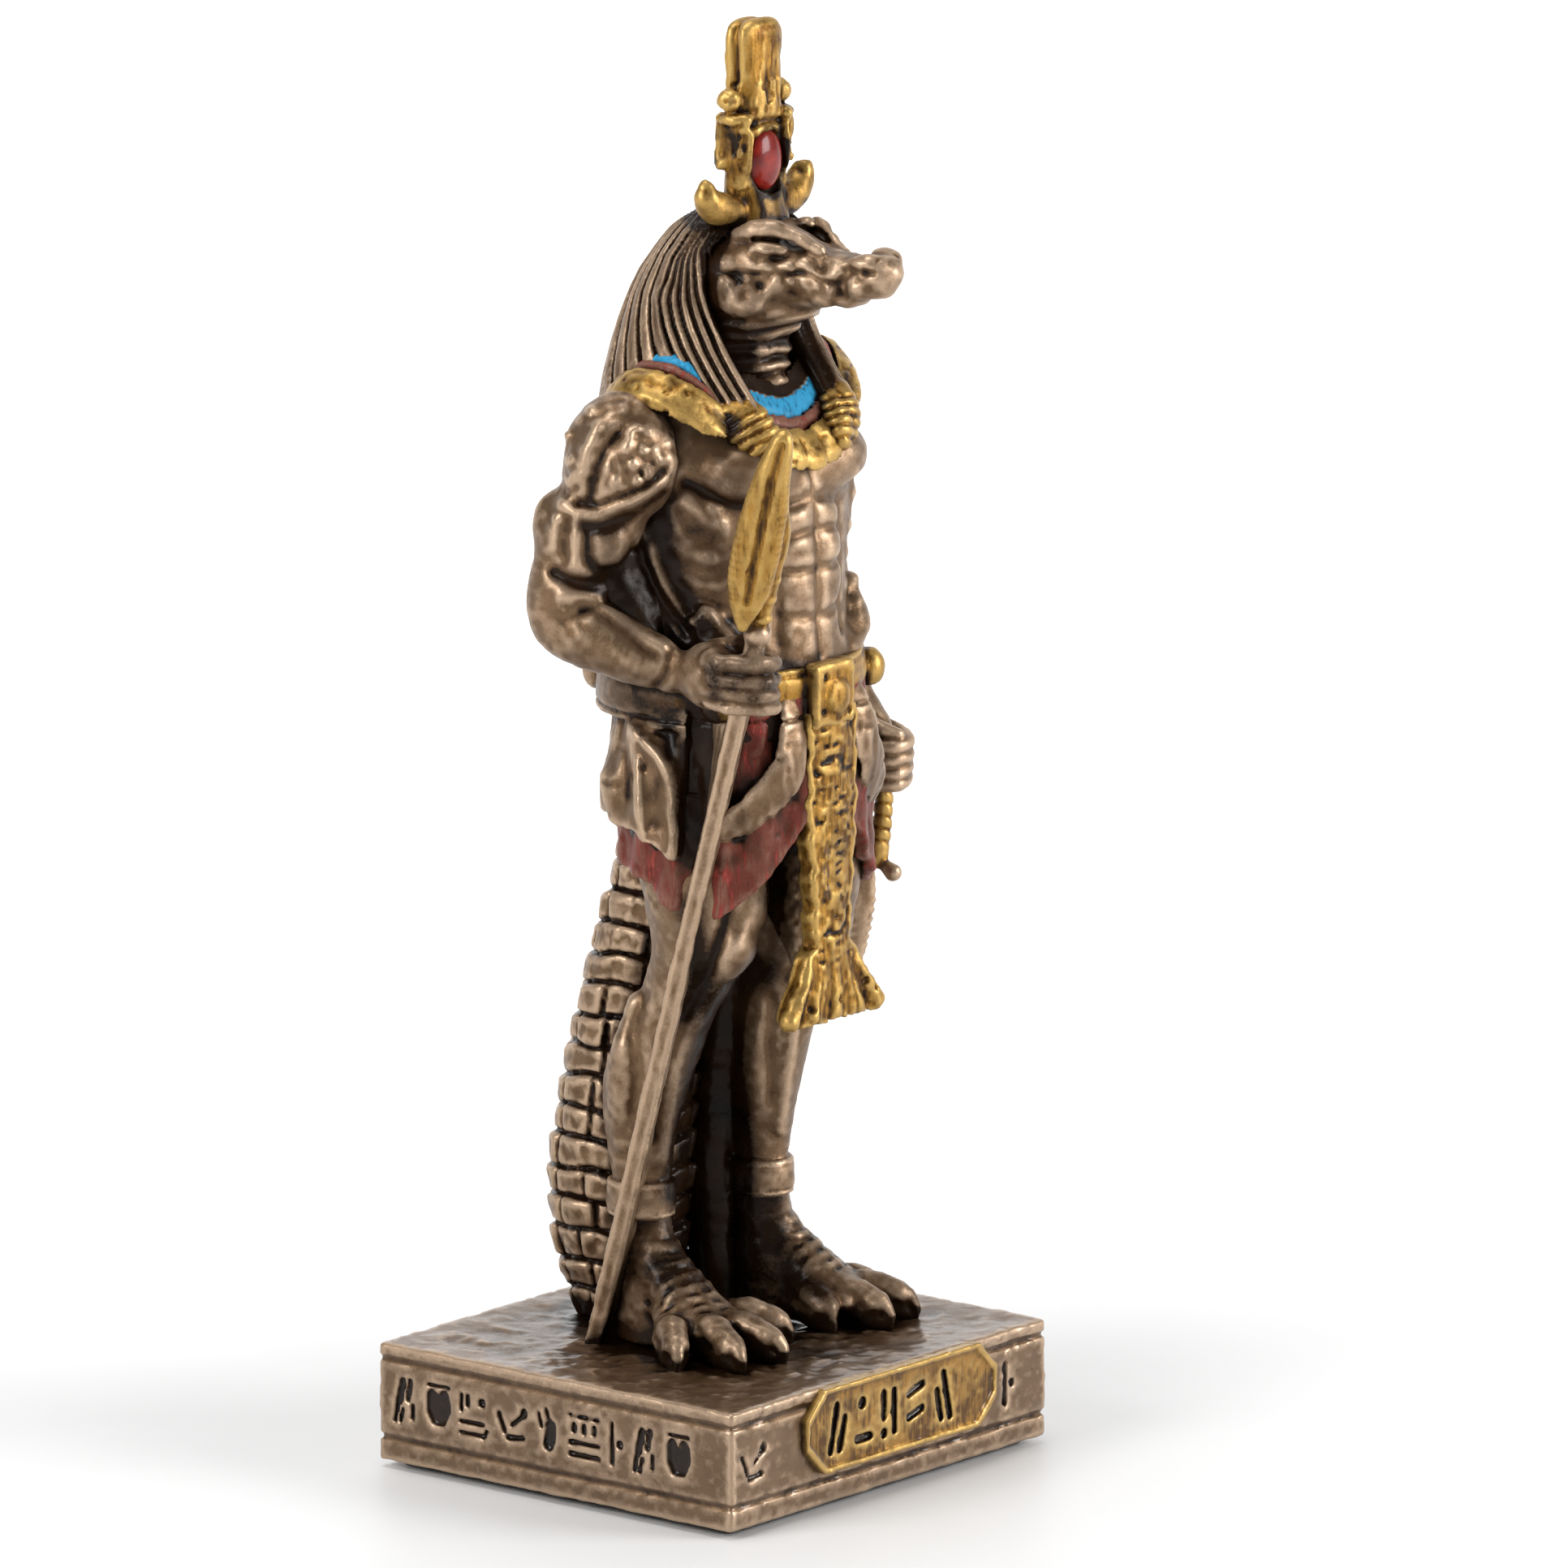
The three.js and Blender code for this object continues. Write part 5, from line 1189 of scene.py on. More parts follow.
KILT_LINES = lines_of("""
    .5 .42: -9.3 -1.3 39.8, -9.6 -2.1 39, -9.3 -3 38.2, -9.2 -3.7 37.4, -9.3 -4.3 36.6, -9.4 -4.6 35.8,
        -9.6 -4.8 34.6, -9.5 -4.8 33.3, -9.5 -4.7 32.2;
    -.5 .75: -8.7 -3.6 39.3, -8.6 -4.4 37.8, -8.7 -5 36.2, -8.9 -5.4 34.4;
    .34 .36: -9.6 -1.4 39.2, -9.5 -1.7 37.7, -9.7 -2 36.4, -9.8 -2.2 34.6, -9.8 -2.6 32.9;
    -.25 .4: -9.6 -.9 37.6, -9.8 -1.3 35.4; -.2 .5: -9.6 -3.2 36.2, -9.7 -3.5 34; .55 1.1: -9.9 .6 36.1;
    .3 .8: -9.9 1 34.6""")


# Lines of painted shade in the wrap's front gap, beside its fold and on the belt under the forearm, and of
# wash in the folds; the one below zero lightens the lapel as a painted highlight
KILT_WASH_AND_SHADE = lines_of("""
    .9 .9: -8.7 -3.5 39.6, -8.5 -4.3 37.8, -8.6 -4.9 36.2, -8.8 -5.2 34.6;
    2 .75: -7.1 -5.6 40, -7.4 -5.8 37.9, -7.7 -5.6 35.8, -8.1 -5.4 33.6, -8.8 -5.7 32.2;
    .3 .5: -6.3 -6.9 37.4, -6.6 -6.8 35.6, -7.4 -7.2 33.9;
    .4 .4: -3.6 -8.4 37.6, -4.7 -8.2 36.6, -5.6 -7.5 36.4; -.5 .9: -5 -7.9 38.6, -5.6 -7.6 37.2;
    .6 1.5: -9.3 -.6 41.2, -8.4 -3.4 41, -7 -5.2 41; .4 .5: -9.7 -1.2 38, -9.9 -1.2 35.6;
    .7 .5: -8.6 -5.6 31.4, -6.6 -6.9 31.6; .5 .35: -9.6 -3.4 33.6; .5 .35: -9.6 -3 35.4""")


def sculpt_kilt():
    """The short kilt: a red under-cloth, a grey-bronze wrap round the sides and back with a rolled
    fold, two lapels that curve down from the belt, and the belt with its gold front, studs and
    buckle."""
    clay = Clay([-11.4, -11.4, 27.4], [11.4, 7.4, 43.6], 0.17, ("gold", "red"))
    inner = Clay([-11.4, -11.4, 27.4], [11.4, 7.4, 43.6], 0.17, ("gold", "red"))
    inner.add(stack([[0, -2.4, 41.2, 7.8, 6.7], [0, -2.45, 36.5, 8.4, 6.8], [0, -2.6, 27.6, 9.0, 6.9]],
                    swell=lambda t, z: 0.16 * np.sin(17 * t + 0.6 * np.sin(0.5 * z))), 0.1, "red")
    inner.carve(below(cloth_hem), 0.15)
    inner.carve(stack([[0, -2.6, 33.0, 7.6, 5.6], [0, -2.6, 27.5, 8.2, 6.1]]), 0.3)
    clay.add(stack([[0, -2.4, 41.2, 8.2, 7.1], [0, -2.35, 36.5, 9.3, 7.5], [0, -2.3, 31.5, 9.75, 7.75],
                    [0, -2.3, 29.5, 9.8, 7.8]], swell=kilt_folds))
    clay.carve(below(wrap_hem), 0.15)
    for name, volume in clay.paints.items():
        volume[:] = inner.paints[name] * (inner.skin < clay.skin)
    clay.skin = np.minimum(clay.skin, inner.skin)
    # The cloth is pressed in where the staff lies on it
    outwards = np.array([-0.772, -0.635, 0.1]) * 1.15
    clay.carve(limb([[*(staff_at(z) + outwards), 1.35] for z in (26.0, 30.0, 34.0, 38.0)]), 0.3)
    for side in (-1, 1):
        clay.add(limb(at_side(side, LAPEL), 6, np.array([side * 0.75, 0.1, 0.65])), 0.2)
    middle = mix(BELT["low"], BELT["high"], 0.5)
    face = BELT["y"] - BELT["b"]
    rows = [[0, BELT["y"] + 0.7, BELT["low"], BELT["a"] - 0.9, BELT["b"] - 0.5],
            [0, BELT["y"], middle, BELT["a"] - 0.4, BELT["b"]],
            [0, BELT["y"], BELT["high"], BELT["a"] - 0.6, BELT["b"] - 0.15]]
    clay.add(stack(rows), 0.06, "gold")
    for n in (1, 3, 4, 6):
        turn = -math.pi / 2 + 2 * math.pi * n / 7
        clay.add(ball([BELT["a"] * math.cos(turn), BELT["y"] + BELT["b"] * math.sin(turn), middle],
                      [1.1, 1.1, 1.25]), 0.12, "gold")
    clay.dab(block([0, 4.4, middle], [12.0, 8.2, 3.0]), None, 0.3)
    clay.add(block([-0.3, face - 0.1, middle], [1.9, 0.55, 2.0], round_off=0.25), 0.05, "gold")
    clay.add(ball([-0.1, face - 0.55, 41.0], [1.15, 0.5, 1.15]), 0.1, "gold")
    for x, z in ((-1.3, 40.2), (-1.2, 42.3), (1.1, 40.0)):
        clay.carve(ball([x, face - 0.7, z], [0.28, 0.35, 0.26]), 0.08)
    clay.carve(ball([-4.3, -9.2, 41.1], [0.4, 0.4, 0.7]), 0.12)

    def weave(p):
        x, y, z = p.T
        cloth = ease(39.6 - z, 0, 0.4)
        rim = hill(z - 42.55, 0.1) + hill(z - 39.95, 0.1)
        worn = 0.08 * cloud(p * [1, 1, 0.3], 0.45, 41) + 0.08 * cloud(p, 1.2, 42) \
            - 0.1 * ease(cloud(p, 0.7, 44), 0.4, 0.7)
        return cloth * (worn + drawn(p, KILT_LINES)) \
            - (1 - cloth) * (0.16 * rim * (np.abs(x) > 2.2) - 0.04 * cloud(p, 0.5, 43))

    def darkening(p):
        x, y, z = p.T
        turn = kilt_turn(x, y)
        # Painted shade: the red cloth in the gap at the wrap's front edge, the sunken panel beside it and
        # the belt's sides and back are darkened; the buckle's edges and the cloth between the lapels are
        # darker too, and the lumps are random
        gap = 2.6 * ease(turn, 0.98, 1.04) * ease(KILT_GAP + 0.04 - turn, 0, 0.05) * ease(z, 32.4, 33.4)
        panel = 0.5 * ease(turn, 1.17, 1.2) * ease(1.36 - turn, 0, 0.12) * (z < 39.6)
        waist = (0.3 + 0.5 * hill(z - 42.6, 0.6)) * ease(y, -6.4, -5.0) * ease(z, 39.4, 39.9)
        buckle = 0.5 * hill(np.abs(x + 0.3) - 1.95, 0.3) * ease(-y, 8.0, 8.6) * ease(z, 39.2, 39.6)
        lapel = 0.3 * ease(0.9 - turn, 0, 0.1) * ease(39.4 - z, 0, 0.4)
        return drawn(p, KILT_WASH_AND_SHADE) + gap + lapel + panel + waist + buckle \
            + 0.3 * ease(cloud(p, 1.1, 45), 0.1, 0.7)
    return clay.press(weave).darken(darkening)


# Apron

APRON_HIGH, APRON_LOW, APRON_Y = 40.2, 20.9, -9.35
APRON_TOES = 4


def apron_half(z):
    """Half the apron's width: a waist, a spread foot and a gently waved edge."""
    foot = np.clip((25.6 - z) / (25.6 - APRON_LOW), 0, 1)
    return 1.75 + 0.55 * np.clip((z - 28) / 6, 0, 1) + 2.6 * foot**0.8 + 0.1 * np.sin(z * 2.6) \
        + 0.06 * np.sin(z * 5.3)


def apron_slab(clay, margin):
    """The strip: past its waved edges, its crowned front, its flat back, its top or its toes."""
    cut, (x, y, z) = clay.window([-6, -11.4, 19.5], [6, -7.4, 41.2])
    half = apron_half(z)
    across = np.abs(x) - half
    crown = 0.35 * np.cos(np.pi * x / (2 * half))
    front = (APRON_Y - crown) - y
    back = y - (APRON_Y + 1.1)
    toe = 0.55 * np.abs(np.sin(np.pi * APRON_TOES * (x / half + 1) / 2))
    low = APRON_LOW + 0.5 - toe - z
    distance = np.maximum(np.maximum(across * 0.9, np.maximum(front, back)),
                          np.maximum(low * 0.85, z - APRON_HIGH))
    return cut, distance.astype(np.float32)


def sculpt_apron():
    """The long gold apron: a waved strip with worn blotches and rows of marks that ends in a
    ribbed, spread foot with toes, and the web of resin behind it."""
    clay = Clay([-5.6, -11.0, 19.8], [5.6, -2.6, 41.0], 0.13, ("gold",))
    clay.add(apron_slab, 0.1, "gold")
    clay.add(stack([[0.2, -6.2, 40, 2.1, 2.3], [0.2, -5.7, 30, 1.4, 2.7], [0.15, -7.4, 24, 1.0, 1.1]]), 0.1)
    for n in range(APRON_TOES + 1):
        x = mix(-4.1, 4.1, n / APRON_TOES)
        clay.add(limb([[x * 0.55, APRON_Y + 0.05, 24.2, 0.3], [x * 0.85, APRON_Y, 22.4, 0.45],
                       [x, APRON_Y, 21.5, 0.6]]), 0.5, "gold")
    for x, z in ((2.9, 22.9), (3.7, 22.4), (-2.4, 22.0), (0.2, 22.3)):
        clay.carve(ball([x, APRON_Y - 0.5, z], [0.26, 0.4, 0.3]), 0.06)
    for n, z in enumerate((31.6, 30.3, 29.0)):
        press_marks(clay, 1, APRON_Y - 0.45, 1, -1.2, 2.6, z, PLATE_MARKS, 2 * n, 0.42, 0.22)

    def worn(p):
        """How deep the blotches are, and where."""
        x, y, z = p.T
        half = apron_half(z)
        inside = ease(half - np.abs(x), 0.3, 0.6) * ease(APRON_Y + 0.6 - y, 0, 0.3)
        blots = ease(cloud(p * [0.8, 0.8, 1.5], 0.5, 55), 0.22, 0.5) * ease(z, 24.0, 25.0)
        blots = blots * (1 - 0.8 * hill(z - 30.2, 2.0))
        ribs = 0.8 * grooves(np.arctan2(x, 31 - z) * 10, 1.25, 0.12) * ease(24.6 - z, 0, 1.6)
        return inside * np.maximum(blots, ribs)

    def marks(p):
        x, y, z = p.T
        half = apron_half(z)
        border = 0.07 * hill(half - np.abs(x) - 0.2, 0.17) * ease(APRON_Y + 0.6 - y, 0, 0.3)
        return border - 0.13 * worn(p) + 0.06 * cloud(p, 0.4, 51) + 0.06 * cloud(p, 1.2, 52)

    def darkening(p):
        return 0.8 * worn(p) + 0.45 * ease(cloud(p, 0.9, 56), 0.1, 0.6) - 0.05
    return clay.press(marks).darken(darkening)


# Legs and feet

RIGHT_LEG = table("""
    -4.3 -1.6 38 4.2 4.8, -4.6 -2.6 32 4 4.4, -4.6 -3.2 28 3.65 3.7, -4.6 -3.1 25.4 3.1 3.3,
    -4.5 -1.9 23 2.7 2.8, -4.4 -.3 20.6 2.55 2.7, -4.4 1.6 16.2 2.6 2.7, -4.1 2.3 12.6 2 2.2,
    -4.1 2.3 9.2 1.5 1.7, -4.1 2 6 1.6 1.9, -4.2 1.6 3.6 1.85 2.3, -4.3 1.2 1.6 1.9 2.5, -4.3 1 .2 2 2.6""")
LEFT_LEG = table("""
    4.4 -1.6 38 4.2 4.8, 4.6 -2.6 32 4 4.4, 4.7 -2.9 28 3.6 3.8, 4.8 -2.6 25 3 3.2,
    4.9 -1.8 22.5 2.7 2.8, 5 -.9 20 2.5 2.7, 5 -.1 16.5 2.3 2.6, 5 .3 12.6 1.9 2.1, 5.1 .5 9.2 1.5 1.7,
    5.2 .4 6 1.7 2, 5.4 .1 3.6 2.1 2.4, 5.6 -.1 1.6 2.1 2.5, 5.7 -.2 .2 2.2 2.6""")
ANKLETS = [[-4.1, 2.3, 8.9], [5.1, 0.5, 8.9]]


LEG_WEB = table("""
    3.6 2.6 -.5 1.6, 3.4 2.8 5 1.5, 3.3 2.8 10 1.4, 3.3 2.5 15 1.3, 3 2.2 20 1.2, 2.6 1.6 25 1.2,
    2.3 .8 30 1.2""")


LEG_LINES = lines_of("""
    .32 .6: -3.2 -6.6 28.8, -4.6 -6.8 27.5, -5.7 -6.4 26.1, -5.9 -5.7 24.8, -5.4 -4.9 23.3,
        -5.2 -3.2 20.8;
    -.4 .45: -6.3 -6.2 28.2, -6.6 -5.9 26.6, -6.6 -5.2 24.8, -6.6 -4.1 23.2, -6.4 -2.9 21.4;
    -.3 .4: -3 -6.4 26.4, -3.6 -6 24.8, -3.9 -5 23; .3 .8: -4.6 -6.3 25.6;
    -.25 .45: -6.9 -.3 22.3, -7 .6 19.6, -6.9 .3 17.4, -6.5 1 14.9;
    .28 .4: -5 -2.6 20.4, -5.4 -1.7 18.1, -5.3 -1.3 16.6, -4.9 -.5 14, -4.7 0 11.6; .25 .8: -6.3 1.8 18.6;
    -.25 .35: -6.1 -1 19.6, -6 -.4 16.2, -5.5 .4 13; .3 .8: 4.4 -5.9 26.2; .25 .6: 4.2 -5 23.6;
    -.3 .4: 2.8 -4.4 25.4, 3.2 -4.2 23.6, 3.2 -3.2 22;
    .25 .42: 4.1 -3.7 21.4, 4.2 -2.9 18, 4.4 -2.3 14.8, 4.6 -1.6 12;
    -.2 .4: 3 -2.2 20.6, 3.1 -2 17.8, 3.6 -1.6 14""")


# Lines of painted shade on the insides of the legs where they face each other, behind the knees and under
# the kilt's hem, and of wash in the creases
LEG_WASH_AND_SHADE = lines_of("""
    1.3 1: -7.7 -4.4 28.5, -7.5 -4.9 26.4, -7.1 -4.5 24.8, -6.5 -4 23.2, -6.4 -2.8 21.6;
    .6 .5: -6.2 -6.4 28.4, -6.5 -6 26.4, -6.5 -5.2 24.6;
    .8 .8: -2.2 -6 28.6, -2.4 -5.4 25.8, -3 -4.4 23.4;
    1.6 1.2: -2.6 -3 22.4, -2.3 -1 18, -2.4 .4 13, -2.6 1 9;
    2 1.2: 2 -1 22.6, 1.9 .4 19.6, 2.1 .6 16, 2.7 .5 12.6, 3.1 .6 8.8, 3.1 .8 4;
    .9 .8: 2.6 -3.4 27.4, 2.8 -3.4 24.8, 2.8 -2.4 21.8; .7 1.4: 4.6 -5.6 28.6;
    .5 .5: -6.1 -1 19.6, -6 -.4 16.2, -5.5 .4 13; .6 .9: -4.4 -6.8 28.8, 4.4 -6.6 29.2""")


def sculpt_legs():
    """The legs from under the kilt to the ankles: stacked sections with the knees, calves and shins
    drawn on them, each with its anklet, and the black web of resin behind the left leg."""
    clay = Clay([-9.0, -8.2, -0.5], [9.0, 5.2, 35.6], 0.18)
    clay.add(limb(LEG_WEB), 0.1)
    # Painted shade: the web is filled with the wash's dark, as the shade between the legs
    clay.paints["wash"][clay.skin < 0.9] = 1.6
    for rows in (RIGHT_LEG, LEFT_LEG):
        clay.add(stack([row for row in rows if row[2] > 7]), 0.4)
    for x, y, z in ([-4.6, -5.6, 25.6], [4.8, -5.2, 25.2]):
        clay.add(ball([x, y, z], [1.7, 1.0, 1.8]), 0.7)
        clay.add(limb([[x - 1.5, y + 6.4, 21.4, 0.8], [x - 1.7, y + 7.2, 17.4, 1.15],
                       [x - 0.9, y + 7.8, 12.8, 0.6]]), 0.6)
        clay.add(limb([[x + 1.5, y + 6.4, 21.0, 0.8], [x + 1.7, y + 7.2, 17.0, 1.1],
                       [x + 0.9, y + 7.8, 12.8, 0.6]]), 0.6)
    for x, y, z in ANKLETS:
        clay.add(stack([[x, y, z - 1.15, 1.75, 2.0], [x, y, z - 0.9, 2.0, 2.2], [x, y, z + 0.9, 2.0, 2.2],
                        [x, y, z + 1.15, 1.75, 2.0]]), 0.08)
        for edge in (-0.75, 0.75):
            ring = [[x + 2.02 * math.cos(t), y + 2.22 * math.sin(t), z + edge, 0.1]
                    for t in np.linspace(0, 2 * math.pi, 25)]
            clay.carve(limb(ring, 2), 0.05)

    def skin(p):
        return drawn(p, LEG_LINES, both=False) + 0.09 * cloud(p, 1.7, 61) + 0.04 * cloud(p, 0.45, 62)
    # Painted shade: besides the listed lines, the tops of the legs under the kilt are darkened
    return clay.press(skin).darken(lambda p: drawn(p, LEG_WASH_AND_SHADE, both=False) + 2 * ease(p[:, 2], 30.4, 31.4))


# Along a toe: the share of its reach, the height and the half thickness
TOE = table(".1 2.6 1, .36 2.2 .85, .55 1.9 .85, .66 1.85 .98, .78 1.6 .9, .86 1.35 .85")
CLAW = table(".84 1.7 .58, .93 1.35 .5, .99 .6 .34, 1 -.1 .14")
TOE_PAD = table(".45 1 1, .78 .6 .9, .93 .2 .45")
FEET = [([-4.3, 0.6], -0.05, [[-0.74, 7.3], [-0.28, 8.8], [0.11, 9.0], [0.69, 7.9]]),
        ([5.9, -0.4], 0.34, [[-0.27, 5.7], [0.21, 7.7], [0.58, 8.5], [0.98, 6.8]])]


def sculpt_feet():
    """The clawed feet: toes that fan out from the ankle, each with two joints, a bent claw, and
    rows of small bars along its back."""
    clay = Clay([-10.6, -9.6, -0.5], [13.4, 4.6, 7.9], 0.14)
    for rows in (RIGHT_LEG, LEFT_LEG):
        clay.add(stack(rows[8:]))
    for (x, y), heading, toes in FEET:
        def ahead(turn, reach, z, *half):
            return [x + math.sin(turn) * reach, y - math.cos(turn) * reach, z, *half]
        clay.add(limb([ahead(heading, r, z, a, b) for r, z, a, b in
                       ((-0.9, 6.2, 1.4, 1.4), (1.1, 3.8, 1.9, 1.6), (3.2, 2.3, 2.4, 1.3),
                        (4.9, 1.5, 2.4, 1.0))],
                      5, [math.cos(heading), math.sin(heading), 0]), 0.4)
        clay.add(ball(ahead(heading, -1.4, 1.2), [1.7, 1.8, 1.6]), 0.5)
        for turn, reach in toes:
            for rows, blend in ((TOE, 0.3), (CLAW, 0.12), (TOE_PAD, 0.3)):
                clay.add(limb([ahead(turn, reach * share, z, half) for share, z, half in rows]), blend)

    def rows_of_bars(p):
        """How deep each place lies in a gap between two of the small bars along a toe or a shank."""
        x, y, z = p.T
        total = np.zeros(len(p))
        for (fx, fy), heading, toes in FEET:
            r = np.hypot(x - fx, y - fy)
            turn = np.arctan2(x - fx, -(y - fy))
            near = ease(3.4 - np.abs(x - fx) * 0.35, 0, 0.6)
            for toe, reach in toes:
                gap = (turn - toe) * np.maximum(r, 1.5)
                row = hill(gap, 0.55) * ease(r, 0.8, 2.0) * ease(reach * 0.6 - r, 0, 0.8) \
                    * ease(z, 1.5, 2.0) * near
                total = np.maximum(total, row * grooves(r, 0.62, 0.12))
            shank = ease(z, 3.8, 5.0) * ease(7.2 - z, 0, 1.2) * ease(-(y - fy) + 2.2, 0, 1)
            total = np.maximum(total,
                               0.7 * shank * grooves(z + 0.1 * r, 0.7, 0.12) * hill(x - fx, 1.2) * near)
        return total

    def darkened(p):
        x, y, z = p.T
        fx = np.where(x < 0.6, FEET[0][0][0], FEET[1][0][0])
        # Painted shade: darker low down by the plinth and on the left foot's side that faces the right foot;
        # the right ankle is darker too, and the gaps between the bars hold wash
        low = 0.5 * ease(1.5 - z, 0, 1.5) + 0.45
        inner = 0.9 * ease(fx - 0.2 - x, 0, 1.6) * ease(x, 0.6, 1.2) * ease(z, 1.0, 3.0)
        ankle = 0.5 * ease(z, 3.2, 4.6) * ease(0.6 - x, 0, 0.4)
        return low + inner + ankle + 0.7 * rows_of_bars(p) + 0.35 * cloud(p, 1.3, 72)
    return clay.press(lambda p: 0.08 * cloud(p, 0.9, 71) + 0.04 * cloud(p, 0.35, 73)
                      - 0.15 * rows_of_bars(p)).darken(darkened)


# Tail

TAIL_ROWS = table("""
    0 0 37 2.8 2.6, 0 2 33 3.4 3, 0 3.5 29 3.6 3.2, 0 4.6 24.2 4.1 3.6, 0 5.6 19.8 4.4 3.9,
    0 6.4 15 4.7 4.2, 0 7 10.4 4.8 4.4, .1 7.2 6.4 4.6 4.3, .3 7.1 3 4.2 3.9, .4 6.8 -.4 3.4 3.2""")
TAIL_TIP = table("""
    1 7.2 2.4 2.5, 4.5 8.2 2 1.95, 8 7.6 1.4 1.35, 10.8 5.2 .75 .6""")
TAIL_RING = 1.95
TAIL_COLUMNS = 11


def sculpt_tail():
    """The heavy tail: oval sections with broad flat scutes in rings, and its tip curled along the
    ground."""
    clay = Clay([-5.6, -3.4, -0.5], [12.2, 12.0, 35.0], 0.18)
    clay.add(stack(TAIL_ROWS))
    clay.add(limb(TAIL_TIP), 0.6)
    line = through(TAIL_ROWS, 12)[::-1]

    def cells(p):
        """The ring and the column of each place, as numbers with shares."""
        x, y, z = p.T
        mx, my = np.interp(z, line[:, 2], line[:, 0]), np.interp(z, line[:, 2], line[:, 1])
        tip = x > 4.3
        turn = (np.arctan2(x - mx, -(y - my)) / (2 * np.pi) + 0.5) * TAIL_COLUMNS
        ring = np.where(tip, x / 1.3, z / TAIL_RING + 0.12 * np.sin(turn * 1.7) + 0.12 * cloud(p, 2.0, 83))
        row, none = np.floor(ring), np.zeros(len(p))
        jitter = 0.6 * (lattice(np.stack([row, none, none], axis=-1), 84) - 0.5)
        return ring, np.where(tip, np.arctan2(y - 7.6, z - 1.6) * 1.4, turn + jitter)

    def scutes(p):
        ring, column = cells(p)
        cell = np.stack([np.floor(ring), np.floor(column), np.zeros(len(p))], axis=-1)
        seam = np.stack([np.floor(ring), np.round(column), np.zeros(len(p))], axis=-1)
        across = hill((ring - np.round(ring)) * TAIL_RING, 0.15)
        along = hill((column - np.round(column)) * 2.4, 0.12) * (lattice(seam, 85) > 0.2)
        step = 0.22 * (np.mod(ring, 1) - 0.5)
        grain = 0.05 * cloud(p * [1.6, 1.6, 0.4], 0.4, 86)
        return step + 0.34 * (lattice(cell, 81) - 0.5) - 0.45 * across - 0.32 * along \
            + 0.1 * cloud(p, 0.7, 82) + grain

    def darkened(p):
        ring, column = cells(p)
        hollow = 0.9 * hill((ring - np.round(ring)) * TAIL_RING, 0.16) \
            + 0.4 * hill((column - np.round(column)) * 2.4, 0.12)
        blots = 0.4 * ease(cloud(p, 1.0, 87), 0.0, 0.6)
        # Painted shade: the side of the tail that faces the left leg, and its lower part by the plinth, are
        # darkened; the seams between scutes hold wash and the blots are random
        return hollow + blots + 1.4 * ease(-p[:, 1], -5.0, -2.5) * ease(p[:, 0], -1.8, 0.2) \
            + 0.4 * ease(5.0 - p[:, 2], 0, 5)
    return clay.press(scutes).darken(darkened)


# Staff and sword

STAFF_FOOT = np.array([-6.7, 3.8, 0.0])
STAFF_GRIP = np.array([-8.0, -8.3, 40.0])
STAFF_SIDE = 1.1
LEAF_ACROSS = np.array([0.635, -0.772, 0.0])
LEAF_ROWS = table("""
    -9.5 -10.1 46.9 .35 .4, -9.6 -10.5 48.6 1.15 .72, -9.8 -11.2 51 1.5 .82, -9.9 -12 53.8 1.42 .85,
    -9.95 -12.8 56.6 1.08 .8, -9.85 -13.35 58.4 .75 .65, -9.75 -13.45 59 .35 .35""")


def staff_at(z):
    """The point of the staff's line at a height."""
    return mix(STAFF_FOOT, STAFF_GRIP, z / STAFF_GRIP[2])


def bar(low, high, half, turn):
    """A straight square bar with softened edges between two points, turned about its own line."""
    low, high = np.array(low, float), np.array(high, float)
    along = (high - low) / np.linalg.norm(high - low)
    u = np.cross(along, X)
    u /= np.linalg.norm(u)
    v = np.cross(along, u)
    first = u * math.cos(turn) + v * math.sin(turn)
    second = v * math.cos(turn) - u * math.sin(turn)

    def form(clay, margin):
        reach = half * 1.5 + margin
        cut, (x, y, z) = clay.window(np.minimum(low, high) - reach, np.maximum(low, high) + reach)
        q = (x - low[0], y - low[1], z - low[2])
        gap = [np.abs(sum(q[n] * axis[n] for n in range(3))) - (half - 0.18) for axis in (first, second)]
        side = np.sqrt(np.maximum(gap[0], 0) ** 2 + np.maximum(gap[1], 0) ** 2) \
            + np.minimum(np.maximum(*gap), 0) - 0.18
        reach = sum(q[n] * along[n] for n in range(3))
        ends = np.maximum(-reach, reach - np.linalg.norm(high - low))
        return cut, np.maximum(side, ends)
    return form


